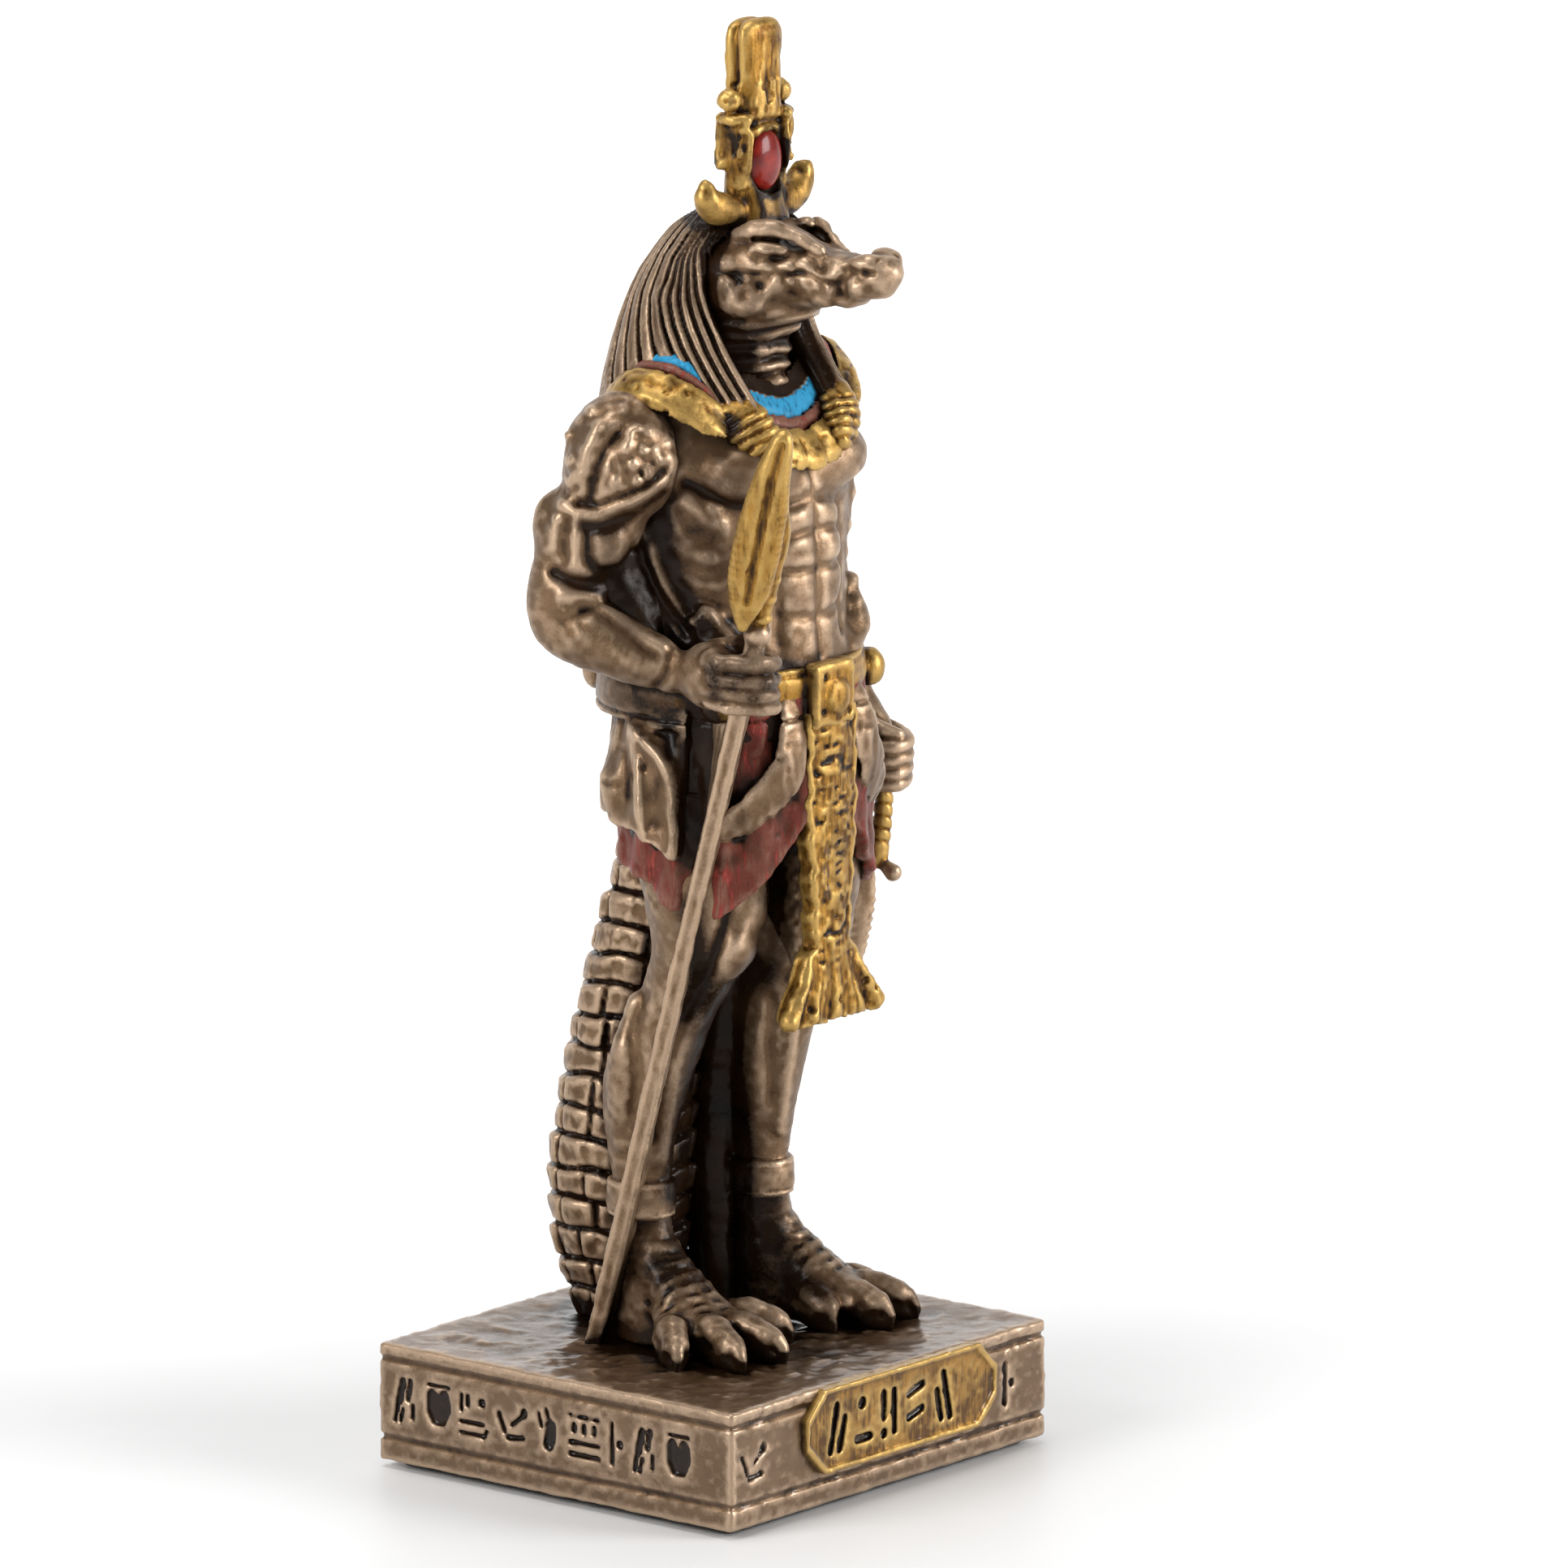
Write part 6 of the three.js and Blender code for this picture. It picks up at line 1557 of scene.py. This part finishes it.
def sculpt_staff():
    """The staff: a square bronze shaft, its drooping gold head, a leaf with a groove down its
    middle, and the web of resin that ties the shaft to the leg."""
    clay = Clay([-12.0, -15.0, -0.5], [-3.4, 5.4, 60.0], 0.15, ("gold",))
    inner = [[-4.6, 2.6, -0.3], [-4.3, 2.2, 9], [-4.5, -0.4, 20], [-4.8, -2.8, 29], [-5.4, -3.4, 40]]
    outer = np.array([staff_at(row[2]) for row in inner])
    for share in np.linspace(0.12, 1.0, 9):
        line = mix(outer, np.array(inner), share)
        clay.add(limb([[*row, 0.36] for row in line], 3), 0.3)
    clay.add(bar(staff_at(-0.4), staff_at(46.0), STAFF_SIDE / 2, math.pi / 8), 0.06)
    clay.add(ball(staff_at(46.2), [0.85, 0.85, 0.8]), 0.2)
    neck = [[*staff_at(z), half] for z, half in ((46.4, 0.5), (48.2, 0.55), (50.5, 0.62), (52.6, 0.62))]
    clay.add(limb([*neck, [-9.3, -12.6, 55.6, 0.45]]), 0.1, "gold")
    for n in range(3):
        clay.add(ball(staff_at(47.2 + 1.25 * n), [0.68, 0.68, 0.42]), 0.1, "gold")
    clay.add(limb(LEAF_ROWS, 6, LEAF_ACROSS), 0.12, "gold")
    outwards = np.array([-0.772, -0.635, 0]) * 0.8
    groove = [[*(np.array(row[:3]) + outwards * row[4] * 1.25), 0.26] for row in LEAF_ROWS[1:-1]]
    clay.carve(limb(groove), 0.25)
    return clay.press(lambda p: 0.04 * cloud(p, 0.8, 91) + 0.03 * cloud(p * [1, 1, 0.3], 0.35, 92))


def sculpt_sword():
    """The short sword that hangs point down from the left fist: grip, bent guard with a knob, and a
    flat blade with a ridge."""
    clay = Clay([7.9, -6.6, 19.2], [13.2, -0.6, 37.4], 0.12, ("gold",))
    clay.add(limb([[10.3, -2.7, 30.2, 0.9, 0.38], [10.6, -3.1, 26, 0.95, 0.38],
                   [10.35, -2.75, 22.6, 0.85, 0.34],
                   [10.1, -2.4, 20.2, 0.25, 0.22]], 6, [0.87, -0.45, 0.2]), 0.05)
    clay.add(limb([[11.1, -4.2, 35.6, 0.68], [11.2, -4.25, 31.5, 0.62], [11.0, -3.9, 28.3, 0.7]]), 0.05,
             "gold")
    clay.add(limb([[11.1, -5.1, 27.5, 0.55], [11.05, -4.4, 27.9, 0.38], [11.0, -3.9, 28.2, 0.5],
                   [10.95, -3.3, 28.6, 0.38], [10.8, -2.7, 29.0, 0.5]]), 0.15)

    def cord(p):
        x, y, z = p.T
        return -0.12 * grooves(z + 0.35 * x, 0.8, 0.12) * ease(z, 28.9, 29.3) * ease(35 - z, 0, 0.3) \
            + 0.03 * cloud(p, 0.5, 95)
    return clay.press(cord)


# Plinth

CAPPING = 0.95               # the height of the plinth's upper slab
FOOTING = 1.5                # the height of its lower slab
PLATE_PROUD = 0.55           # how far the plate stands out from the plinth's front
PLATE = {"x": 0.6, "z": -2.7, "width": 18.4, "height": 5.3, "corner": 1.7, "rim": 0.34, "sink": 0.3}
MARKS = [
    (2.2, *lines_of(""".16: .3 -1.3, .5 -.2; .26: .6 0, .9 1.2; .14: .7 -1.3, .9 -.5; .2: 1.3 .2,
        1.5 1.3; .14: 1.7 -.2, 1.7 -1""")),
    (2.2, *lines_of(""".42: .6 .7, .6 -.2, .9 -.7, 1.3 -.7, 1.6 0, 1.5 .7; .28: 1.1 .4, 1.1 0;
        .12: .3 1.35, 1.9 1.35""")),
    (2.6, *lines_of(""".15: .3 1.2, .3 .2; .2: .8 1.1, .8 .6; .28: 1.9 .9, 1.9 .85; .12: .2 -.5,
        2.1 -.5; .12: .2 -1.2, 2.1 -1.2, 2.3 -.8""")),
    (2.7, *lines_of(""".15: .2 .5, .7 -.6; .15: .9 -.9, 2.1 -.8; .28: 2.2 .8, 2.2 .75; .12: 1.2 -.1,
        2 .5""")),
    (2.0, *lines_of(""".42: 1 -.8, 1.15 -.2, 1.15 .3; .13: 1.15 .3, .8 1.3; .13: .2 1.1, .45 .2""")),
    (2.8, *lines_of(""".12: .2 1.3, 2.5 1.3; .2: .55 .75, .55 .4; .2: 1.35 .75, 1.35 .4;
        .2: 2.15 .75, 2.15 .4; .12: .2 -.35, 2.5 -.35; .12: .2 -1.1, 2.5 -1.1""")),
    (1.3, *lines_of(""".14: .3 1.3, .3 -1.2; .26: .9 .1, .9 .05""")),
]


PLATE_MARKS = [
    (1.8, *lines_of(""".2: .3 -1.1, .8 1.1; .2: 1 -1.1, 1.4 .4""")),
    (1.6, *lines_of(""".28: .6 .9, .6 .85; .2: .2 -.9, 1.2 -.9""")),
    (1.7, *lines_of(""".2: .3 1, .3 -.2; .24: .3 -.95, .3 -1; .2: 1.1 1, 1.1 -1""")),
    (1.6, *lines_of(""".2: .2 .6, 1.2 .9; .2: .2 -.6, 1.2 -.3""")),
    (1.8, *lines_of(""".2: 1.4 -1.1, .9 1.1; .2: .7 -1.1, .4 .3""")),
    (1.6, *lines_of(""".28: .9 -.8, .9 -.85; .2: .3 .9, 1.2 .3""")),
]


def stamped(axis, face, depth, strokes):
    """Marks pressed straight into a face across one axis: the distance in the face to thick lines,
    given as their half width and points of (place along the face, height)."""
    spots = np.array([point for stroke in strokes for point in stroke[1:]])
    reach = max(stroke[0] for stroke in strokes)

    def form(clay, margin):
        low, high = np.full(3, face - depth - margin), np.full(3, face + depth + margin)
        low[[1 - axis, 2]] = spots.min(0) - reach - margin
        high[[1 - axis, 2]] = spots.max(0) + reach + margin
        cut, axes = clay.window(low, high)
        u, z = axes[1 - axis], axes[2]
        best = np.full(np.broadcast(u, z).shape, 9.0)
        for width, *points in strokes:
            for (au, az), (bu, bz) in zip(points[:-1], points[1:]):
                square = max((bu - au) ** 2 + (bz - az) ** 2, 1e-9)
                share = np.clip(((u - au) * (bu - au) + (z - az) * (bz - az)) / square, 0, 1)
                gap = np.hypot(u - au - share * (bu - au), z - az - share * (bz - az)) - width
                best = np.minimum(best, gap)
        return cut, np.maximum(best, np.abs(axes[axis] - face) - depth).astype(np.float32)
    return form


def press_marks(clay, axis, face, sign, start, length, middle, marks, first=0, size=1.0, depth=0.34):
    """Presses a row of marks that are no letters from a start along a face, and fills them with
    black wash."""
    place, n = 0.0, first
    while place < length:
        width, *strokes = marks[n % len(marks)]
        if place + width * size > length + 0.2:
            break
        moved = [(stroke[0] * size,
                  *[(start + sign * (place + u * size), middle + v * size) for u, v in stroke[1:]])
                 for stroke in strokes]
        clay.carve(stamped(axis, face, depth, moved), 0.06)
        clay.dab(stamped(axis, face, depth + 0.12, moved), "wash", 0.12)
        place += width * size + 0.45
        n += 1


def sculpt_plinth():
    """The block under the figure: a capping and a footing with scribed lines, a band pressed with
    rows of marks, and a rough, wet-looking top."""
    low, high = PLINTH_LOW - [0, 0, GROUND], PLINTH_HIGH - [0, 0, GROUND]
    clay = Clay(low - 0.6, high + [0.6, 0.6, 0.8], 0.17)
    middle, half = (low + high) / 2, (high - low) / 2
    front = low[1] + PLATE_PROUD
    half[1] = (high[1] - front) / 2
    middle[1] = (high[1] + front) / 2
    clay.add(block(middle, half, round_off=0.22))
    band = (high[2] - CAPPING + low[2] + FOOTING) / 2
    for axis, sign in ((0, -1), (0, 1), (1, -1), (1, 1)):
        other = 1 - axis
        face = middle[axis] + sign * half[axis]
        for z in (high[2] - CAPPING, low[2] + FOOTING):
            ends = np.array([middle, middle], float)
            ends[:, axis], ends[:, 2] = face, z
            ends[:, other] += np.array([-1, 1]) * (half[other] + 0.5)
            clay.carve(limb(np.column_stack([ends, [0.2, 0.2]])), 0.08)
        if axis == 1 and sign == -1:
            press_marks(clay, axis, face, 1, -14.4, 4.4, band, MARKS, 3)
            press_marks(clay, axis, face, 1, 10.9, 3.6, band, MARKS, 6)
        else:
            along = 1 if (axis == 0) == (sign > 0) else -1
            press_marks(clay, axis, face, along, middle[other] - along * (half[other] - 1.0),
                        2 * half[other] - 2.0, band, MARKS)

    def worn(p):
        x, y, z = p.T
        top = ease(z, high[2] - 0.5, high[2] - 0.1)
        edge = np.minimum(half[0] - np.abs(x - middle[0]), half[1] - np.abs(y - middle[1]))
        rough = ease(edge, 0.3, 4.0)
        waves = 0.14 * cloud(p * [1, 1, 0.2], 1.5, 101) + 0.10 * cloud(p, 0.55, 102)
        return top * rough * waves - top * 0.16 * rough + 0.05 * cloud(p, 1.2, 103) \
            + 0.03 * cloud(p, 0.4, 104)

    def darkening(p):
        x, y, z = p.T
        top = ease(z, high[2] - 0.4, high[2] - 0.1)
        round_feet = hill(np.hypot(x - 0.5, (y + 1.5) * 0.9), 10.5)
        return top * (0.15 + 0.75 * round_feet + 0.3 * cloud(p, 2.4, 105)) \
            + (1 - top) * 0.12 * cloud(p, 1.5, 106)
    return clay.press(worn).darken(darkening)


def plate_edge(x, z, inset):
    """The distance past an eight-sided plate's edge, less an inset: the greatest of its sides and
    of its cut corners."""
    dx, dz = np.abs(x - PLATE["x"]), np.abs(z - PLATE["z"])
    half_x, half_z = PLATE["width"] / 2 - inset, PLATE["height"] / 2 - inset
    corner = (dx + dz - (half_x + half_z - PLATE["corner"])) / math.sqrt(2)
    return np.maximum(np.maximum(dx - half_x, dz - half_z), corner)


def sculpt_plate():
    """The gold plate: eight-sided, with a raised rim and a row of marks in place of a name."""
    front = PLINTH_LOW[1]
    low = [PLATE["x"] - PLATE["width"] / 2 - 0.6, front - 0.5, PLATE["z"] - PLATE["height"] / 2 - 0.6]
    high = [PLATE["x"] + PLATE["width"] / 2 + 0.6, front + 1.6, PLATE["z"] + PLATE["height"] / 2 + 0.6]
    clay = Clay(low, high, 0.12, ("gold",))

    def slab(inset, face, back):
        def form(clay, margin):
            cut, (x, y, z) = clay.window(low, high)
            return cut, np.maximum(plate_edge(x, z, inset),
                                   np.maximum(front + face - y, y - front - back)) + 0 * x
        return form
    clay.add(slab(0, 0.02, 0.95), 0.05, "gold")
    clay.carve(slab(PLATE["rim"], -1.0, PLATE["sink"] * 0.6), 0.12)
    press_marks(clay, 1, front + PLATE["sink"] * 0.6, 1, PLATE["x"] - 7.2, 14.6, PLATE["z"], PLATE_MARKS,
                size=1.25)

    def worn(p):
        return 0.04 * cloud(p, 0.9, 111) + 0.03 * cloud(p, 0.35, 112)

    def darkening(p):
        inside = ease(-plate_edge(p[:, 0], p[:, 2], PLATE["rim"]), 0.0, 0.2)
        return 0.4 * ease(cloud(p, 1.3, 113), 0.1, 0.7) \
            + 0.5 * inside * ease(0.5 + plate_edge(p[:, 0], p[:, 2], PLATE["rim"]), 0.1, 0.5)
    return clay.press(worn).darken(darkening)


# Surfaces on a grid of two parameters

def grid_mesh(name, rows):
    """A closed surface from rings of points: neighbours on the grid are joined by quads, the rings
    close on themselves, and the first and last ring are single points."""
    rings, around_count = rows.shape[:2]
    points = rows.reshape(-1, 3)
    i, j = np.meshgrid(np.arange(rings - 1), np.arange(around_count), indexing="ij")
    k = (j + 1) % around_count
    quads = np.stack([i * around_count + j, i * around_count + k, (i + 1) * around_count + k,
                      (i + 1) * around_count + j], axis=-1).reshape(-1, 4)
    mesh = mesh_of(name, points + [0, 0, GROUND], quads)
    work = bmesh.new()
    work.from_mesh(mesh)
    bmesh.ops.remove_doubles(work, verts=work.verts, dist=1e-7)
    bmesh.ops.recalc_face_normals(work, faces=work.faces)
    work.to_mesh(mesh)
    work.free()
    mesh.polygons.foreach_set("use_smooth", np.ones(len(mesh.polygons), bool))
    return mesh


def disc_mesh():
    """The red disc in the crown: an egg flattened towards the front, its skin given by latitude and
    longitude."""
    u = np.linspace(0, math.pi, 49)[:, None]
    v = np.linspace(0, 2 * math.pi, 96, endpoint=False)[None, :]
    x = -0.05 + 1.42 * np.sin(u) * np.cos(v)
    z = 73.2 + 1.85 * np.sin(u) * np.sin(v)
    y = CROWN_Y - 0.95 - 0.62 * np.cos(u) * np.ones_like(v)
    return grid_mesh("crown_disc", np.stack([x, y, z], axis=-1))


def felt_mesh():
    """The felt under the plinth: a rounded rectangle carried up through a softly rounded edge."""
    low, high = FELT_LOW - [0, 0, GROUND], FELT_HIGH - [0, 0, GROUND]
    half = (high - low)[:2] / 2
    v = np.linspace(0, 2 * math.pi, 240, endpoint=False)
    power = 0.06
    edge = np.stack([np.sign(np.cos(v)) * np.abs(np.cos(v)) ** power * half[0],
                     np.sign(np.sin(v)) * np.abs(np.sin(v)) ** power * half[1]], axis=-1)
    rows = []
    for inset, z in ((1.0, low[2]), (0.02, low[2]), (0.004, low[2] + 0.1), (0.0, mix(low[2], high[2], 0.5)),
                     (0.004, high[2] - 0.02), (0.02, high[2]), (1.0, high[2])):
        rows.append(np.column_stack([edge * (1 - inset), np.full(len(v), z)]))
    return grid_mesh("felt_sheet", np.array(rows))


def red_glaze():
    """Red enamel paint under thick clear lacquer, brushed on the cast disc: to the eye a deep, wet,
    even red with a sharp highlight."""
    material, add = new_material("red_enamel_glaze")
    place = add("TexCoord")["Object"]
    tone = add("TexNoise", {"Vector": place, "Scale": 1 / (1.2 * MM), "Detail": 3.0})[0]
    colour = add("ValToRGB", [tone], [(0.3, "#5A100B"), (0.7, "#8E2318")])[0]
    brush = add("Bump", {"Strength": 0.15, "Distance": 0.05 * MM, "Height": tone})[0]
    surface = add("BsdfPrincipled", {
        "Base Color": colour, "Roughness": 0.3, "Specular IOR Level": 0.15, "Coat Weight": 0.25,
        "Coat Roughness": 0.08, "Normal": brush})
    add("OutputMaterial", {"Surface": surface[0]})
    return material


def black_felt():
    """Pressed wool felt, dyed black: fibres 0.05 mm thick, drawn as a soft matt speckle with a
    faint sheen."""
    material, add = new_material("black_wool_felt")
    place = add("TexCoord")["Object"]
    fibre = add("TexNoise", {"Vector": place, "Scale": 1 / (0.15 * MM), "Detail": 4.0})[0]
    colour = add("ValToRGB", [fibre], [(0.3, "#15120F"), (0.7, "#35302B")])[0]
    nap = add("Bump", {"Strength": 0.6, "Distance": 0.08 * MM, "Height": fibre})[0]
    surface = add("BsdfPrincipled",
                  {"Base Color": colour, "Roughness": 0.95, "Sheen Weight": 0.3, "Normal": nap})
    add("OutputMaterial", {"Surface": surface[0]})
    return material


def pale_floor():
    """A sheet of white acrylic lit from behind: matt white, with an even glow that fades out close
    to the figure so that its shadow shows."""
    material, add = new_material("white_acrylic_sheet")
    place = add("TexCoord")["Object"]
    tone = add("TexNoise", {"Vector": place, "Scale": 30.0, "Detail": 2.0})[0]
    colour = add("ValToRGB", [tone], [(0.3, "#D6D6D6"), (0.7, "#DADADA")])[0]
    far = add("VectorMath", [place], operation="LENGTH")["Value"]
    # Painted glow: the floor glows more with the distance from the figure, and not at all close to it, where
    # this paints a shadow
    painted_glow = add("ValToRGB", [far], [(0.035, 0.0), (0.08, 0.2), (0.25, 0.6), (0.6, 1.0)])[0]
    surface = add("BsdfPrincipled", {
        "Base Color": colour, "Roughness": 0.45, "Specular IOR Level": 0.3,
        "Emission Color": (1.0, 1.0, 1.0, 1.0), "Emission Strength": painted_glow})
    add("OutputMaterial", {"Surface": surface[0]})
    return material


# Settings that a user would change

def colour_property(label, text, code):
    """A colour setting whose default is a hex colour in linear light."""
    return bpy.props.FloatVectorProperty(name=label, description=text, subtype="COLOR", size=3, min=0, max=1,
                                         default=linear(code)[:3])


class FigureColours(bpy.types.PropertyGroup):
    """The paints and the bronze of the figure."""
    bronze: colour_property("Bronze", "The resin's bronze tone", "#786049")
    bronze_rubbed: colour_property("Rubbed bronze", "Bronze on the rubbed edges", "#B69C82")
    bronze_dark: colour_property("Dark bronze", "Bronze in the darker patches", "#513921")
    gold: colour_property("Gold", "The brushed gold paint", "#966E30")
    gold_dark: colour_property("Dark gold", "Gold where it is thin", "#5A3C16")
    gold_rubbed: colour_property("Rubbed gold", "Gold on the edges", "#B89555")
    red: colour_property("Red", "The dark red paint", "#601818")
    red_rubbed: colour_property("Rubbed red", "Red on the edges of the folds", "#AC5246")
    blue: colour_property("Turquoise", "The turquoise paint", "#3596C2")
    blue_dark: colour_property("Dark turquoise", "Turquoise where it is thin", "#22678C")
    # Both wash colours are also painted as shade, where the pieces hide each other and on shaded sides
    wash: colour_property("Black wash", "The wash left in the recesses", "#060403")
    wash_brown: colour_property("Brown wash", "The wash where it is thin", "#3A2412")


class StageSettings(bpy.types.PropertyGroup):
    """The light round the figure."""
    sky: bpy.props.FloatProperty(name="Sky", description="Strength of the even light from all round",
                                 default=0.22, min=0.0, max=4.0)
    side_light: bpy.props.FloatProperty(name="Side light", description="Power of each soft side light",
                                        default=2.2, min=0.0, max=40.0, unit="POWER")
    floor_size: bpy.props.FloatProperty(name="Floor", description="Width of the pale floor",
                                        default=4.0, min=0.5, unit="LENGTH")


# Operators

def piece_operator(name, label, text, work):
    """An operator class whose execute runs one function."""
    def execute(self, context):
        work()
        return {"FINISHED"}
    return type(f"FIGURE_OT_{name}", (bpy.types.Operator,),
                {"bl_idname": f"figure.{name}", "bl_label": label, "__doc__": text, "execute": execute})


def sculpted(name, sculpt, faces, node="figure", slot="figure_resin"):
    """The work of one operator: sculpts a piece and finishes it with about this many triangles."""
    def work():
        finish(name, sculpt(), resin_material(slot), faces, node=node)
    return work


def make_disc():
    """Places the disc in its red glaze."""
    placed("crown_disc", disc_mesh(), "figure", red_glaze())


def make_felt():
    """Places the felt sheet."""
    placed("felt_sheet", felt_mesh(), "felt_pad", black_felt())


IMAGE_SIDE = 1932
SCALE = 20.3                       # pixels for each mm at the aim point
AIM = (0.0, 0.0, 45.45)            # the point of the figure's axis that the calibration is for
AIM_PIXEL = (878.85, 898.57)       # where the photograph shows it
AZIMUTH, ELEVATION = math.radians(-50.56), math.radians(12.22)
VIEW_BACK = (math.sin(AZIMUTH) * math.cos(ELEVATION), -math.cos(AZIMUTH) * math.cos(ELEVATION),
             math.sin(ELEVATION))
VIEW_RIGHT = (math.cos(AZIMUTH), math.sin(AZIMUTH), 0.0)
VIEW_UP = tuple(Vector(VIEW_BACK).cross(Vector(VIEW_RIGHT)))
FLOOR_FLAT = 0.9                   # how far behind the figure the floor begins to curl up, in m
LIGHT_TARGET = Vector((0, 0, 0.045))


def make_floor(scene, size):
    """A pale sheet that lies flat and curls up far behind: its height goes by the square of the way
    back past where it lies flat."""
    away = -TOWARDS_VIEW[:2]
    away /= np.linalg.norm(away)
    side = np.array([away[1], -away[0]])
    back = np.linspace(-size / 2, size * 0.75, 60)
    height = np.maximum(back - FLOOR_FLAT, 0) ** 2 * 0.9
    points = np.array([[*(away * b + side * a), h] for b, h in zip(back, height)
                       for a in (-size / 2, size / 2)])
    i = np.arange(len(back) - 1)[:, None] * 2
    mesh = mesh_of("floor", points / MM, np.hstack([i, i + 1, i + 3, i + 2]))
    floor = bpy.data.objects.new("floor", mesh)
    scene.collection.objects.link(floor)
    mesh.materials.append(pale_floor())


def make_lights(scene, settings):
    """An even white sky and three soft square lights, each turned to the middle of the figure."""
    world = bpy.data.worlds.new("studio")
    world.use_nodes = True
    world.node_tree.nodes["Background"].inputs["Color"].default_value = (1, 1, 1, 1)
    world.node_tree.nodes["Background"].inputs["Strength"].default_value = settings.sky
    scene.world = world
    for name, spot, width, share in (("left_softbox", (-0.43, 0.10, 0.26), 0.24, 0.8),
                                     ("right_softbox", (0.22, -0.42, 0.20), 0.24, 1.1),
                                     ("top_softbox", (-0.06, 0.04, 0.60), 0.26, 0.8)):
        light = bpy.data.lights.new(name, "AREA")
        light.energy = settings.side_light * share
        light.size = width
        lamp = bpy.data.objects.new(name, light)
        lamp.location = spot
        lamp.rotation_euler = (LIGHT_TARGET - Vector(spot)).to_track_quat("-Z", "Y").to_euler()
        scene.collection.objects.link(lamp)


def make_camera(scene):
    """The long lens that took the photograph: its focal length and shift follow from the scale and
    the aim point's place in the picture."""
    camera = bpy.data.cameras.new("camera")
    camera.sensor_width = 36.0
    camera.lens = SCALE * VIEW_DISTANCE * camera.sensor_width / IMAGE_SIDE
    camera.shift_x = (IMAGE_SIDE / 2 - AIM_PIXEL[0]) / IMAGE_SIDE
    camera.shift_y = (AIM_PIXEL[1] - IMAGE_SIDE / 2) / IMAGE_SIDE
    camera.clip_end = 20
    view = bpy.data.objects.new("camera", camera)
    right, up, back = (Vector(v).normalized() for v in (VIEW_RIGHT, VIEW_UP, VIEW_BACK))
    turn = Matrix((right, up, back)).transposed()
    view.matrix_world = Matrix.Translation((Vector(AIM) + back * VIEW_DISTANCE) * MM) @ turn.to_4x4()
    scene.collection.objects.link(view)
    scene.camera = view


def make_stage():
    """Makes the floor, the lights and the camera, and shows colours as they are."""
    scene = bpy.context.scene
    make_floor(scene, scene.figure_stage.floor_size)
    make_lights(scene, scene.figure_stage)
    scene.view_settings.view_transform = "Standard"
    scene.view_settings.look = "None"
    make_camera(scene)


PIECES = [
    ("head", "Head and neck", "Sculpts the crocodile's head", sculpted("head_and_neck", sculpt_head, 80000)),
    ("wig", "Wig", "Sculpts the stranded wig and its ties", sculpted("long_wig", sculpt_wig, 105000)),
    ("collar", "Bead collar", "Sculpts the collar's three rings",
     sculpted("bead_collar", sculpt_collar, 50000)),
    ("crown", "Crown", "Sculpts the feather crown", sculpted("feather_crown", sculpt_crown, 60000)),
    ("disc", "Disc", "Makes the red disc in the crown", make_disc),
    ("torso", "Torso", "Sculpts the chest, belly and back", sculpted("torso", sculpt_torso, 70000)),
    ("arms", "Arms", "Sculpts the arms, guards and fists", sculpted("arms_and_fists", sculpt_arms, 100000)),
    ("kilt", "Kilt and belt", "Sculpts the kilt and the studded belt",
     sculpted("kilt_and_belt", sculpt_kilt, 85000)),
    ("apron", "Apron", "Sculpts the long gold apron", sculpted("long_apron", sculpt_apron, 45000)),
    ("legs", "Legs", "Sculpts the legs and anklets", sculpted("legs", sculpt_legs, 55000)),
    ("feet", "Feet", "Sculpts the clawed feet", sculpted("clawed_feet", sculpt_feet, 65000)),
    ("tail", "Tail", "Sculpts the ringed tail", sculpted("scaly_tail", sculpt_tail, 75000)),
    ("staff", "Staff", "Sculpts the staff and its leaf head", sculpted("leaf_staff", sculpt_staff, 55000)),
    ("sword", "Sword", "Sculpts the short sword", sculpted("short_sword", sculpt_sword, 14000)),
    ("plinth", "Plinth", "Sculpts the plinth's block",
     sculpted("plinth_block", sculpt_plinth, 85000, "plinth", "plinth_resin")),
    ("plate", "Plate", "Sculpts the gold plate",
     sculpted("plinth_plate", sculpt_plate, 28000, "plinth", "plinth_resin")),
    ("felt", "Felt", "Makes the felt under the plinth", make_felt),
    # This step paints shade: it darkens the places hidden among the pieces
    ("wash", "Gather wash", "Finds where the wash gathers among the pieces", gather_shade),
    ("stage", "Stage", "Makes the floor, the lights and the camera", make_stage),
]
OPERATORS = [piece_operator(*row) for row in PIECES]


class FIGURE_PT_panel(bpy.types.Panel):
    """Lists the steps that make the figure."""
    bl_label = "Figure"
    bl_idname = "FIGURE_PT_panel"
    bl_space_type = "VIEW_3D"
    bl_region_type = "UI"
    bl_category = "Figure"

    def draw(self, context):
        for row in PIECES:
            self.layout.operator(f"figure.{row[0]}")
        for group in (context.scene.figure_colours, context.scene.figure_stage):
            for name in group.__annotations__:
                self.layout.prop(group, name)


CLASSES = [FigureColours, StageSettings, *OPERATORS, FIGURE_PT_panel]


def register():
    for item in CLASSES:
        bpy.utils.register_class(item)
    bpy.types.Scene.figure_colours = bpy.props.PointerProperty(type=FigureColours)
    bpy.types.Scene.figure_stage = bpy.props.PointerProperty(type=StageSettings)


def unregister():
    del bpy.types.Scene.figure_stage
    del bpy.types.Scene.figure_colours
    for item in reversed(CLASSES):
        bpy.utils.unregister_class(item)


def main():
    """Runs every step and writes the sizes of the solids and of the pieces."""
    register()
    for row in PIECES:
        getattr(bpy.ops.figure, row[0])()


if __name__ == "__main__":
    main()
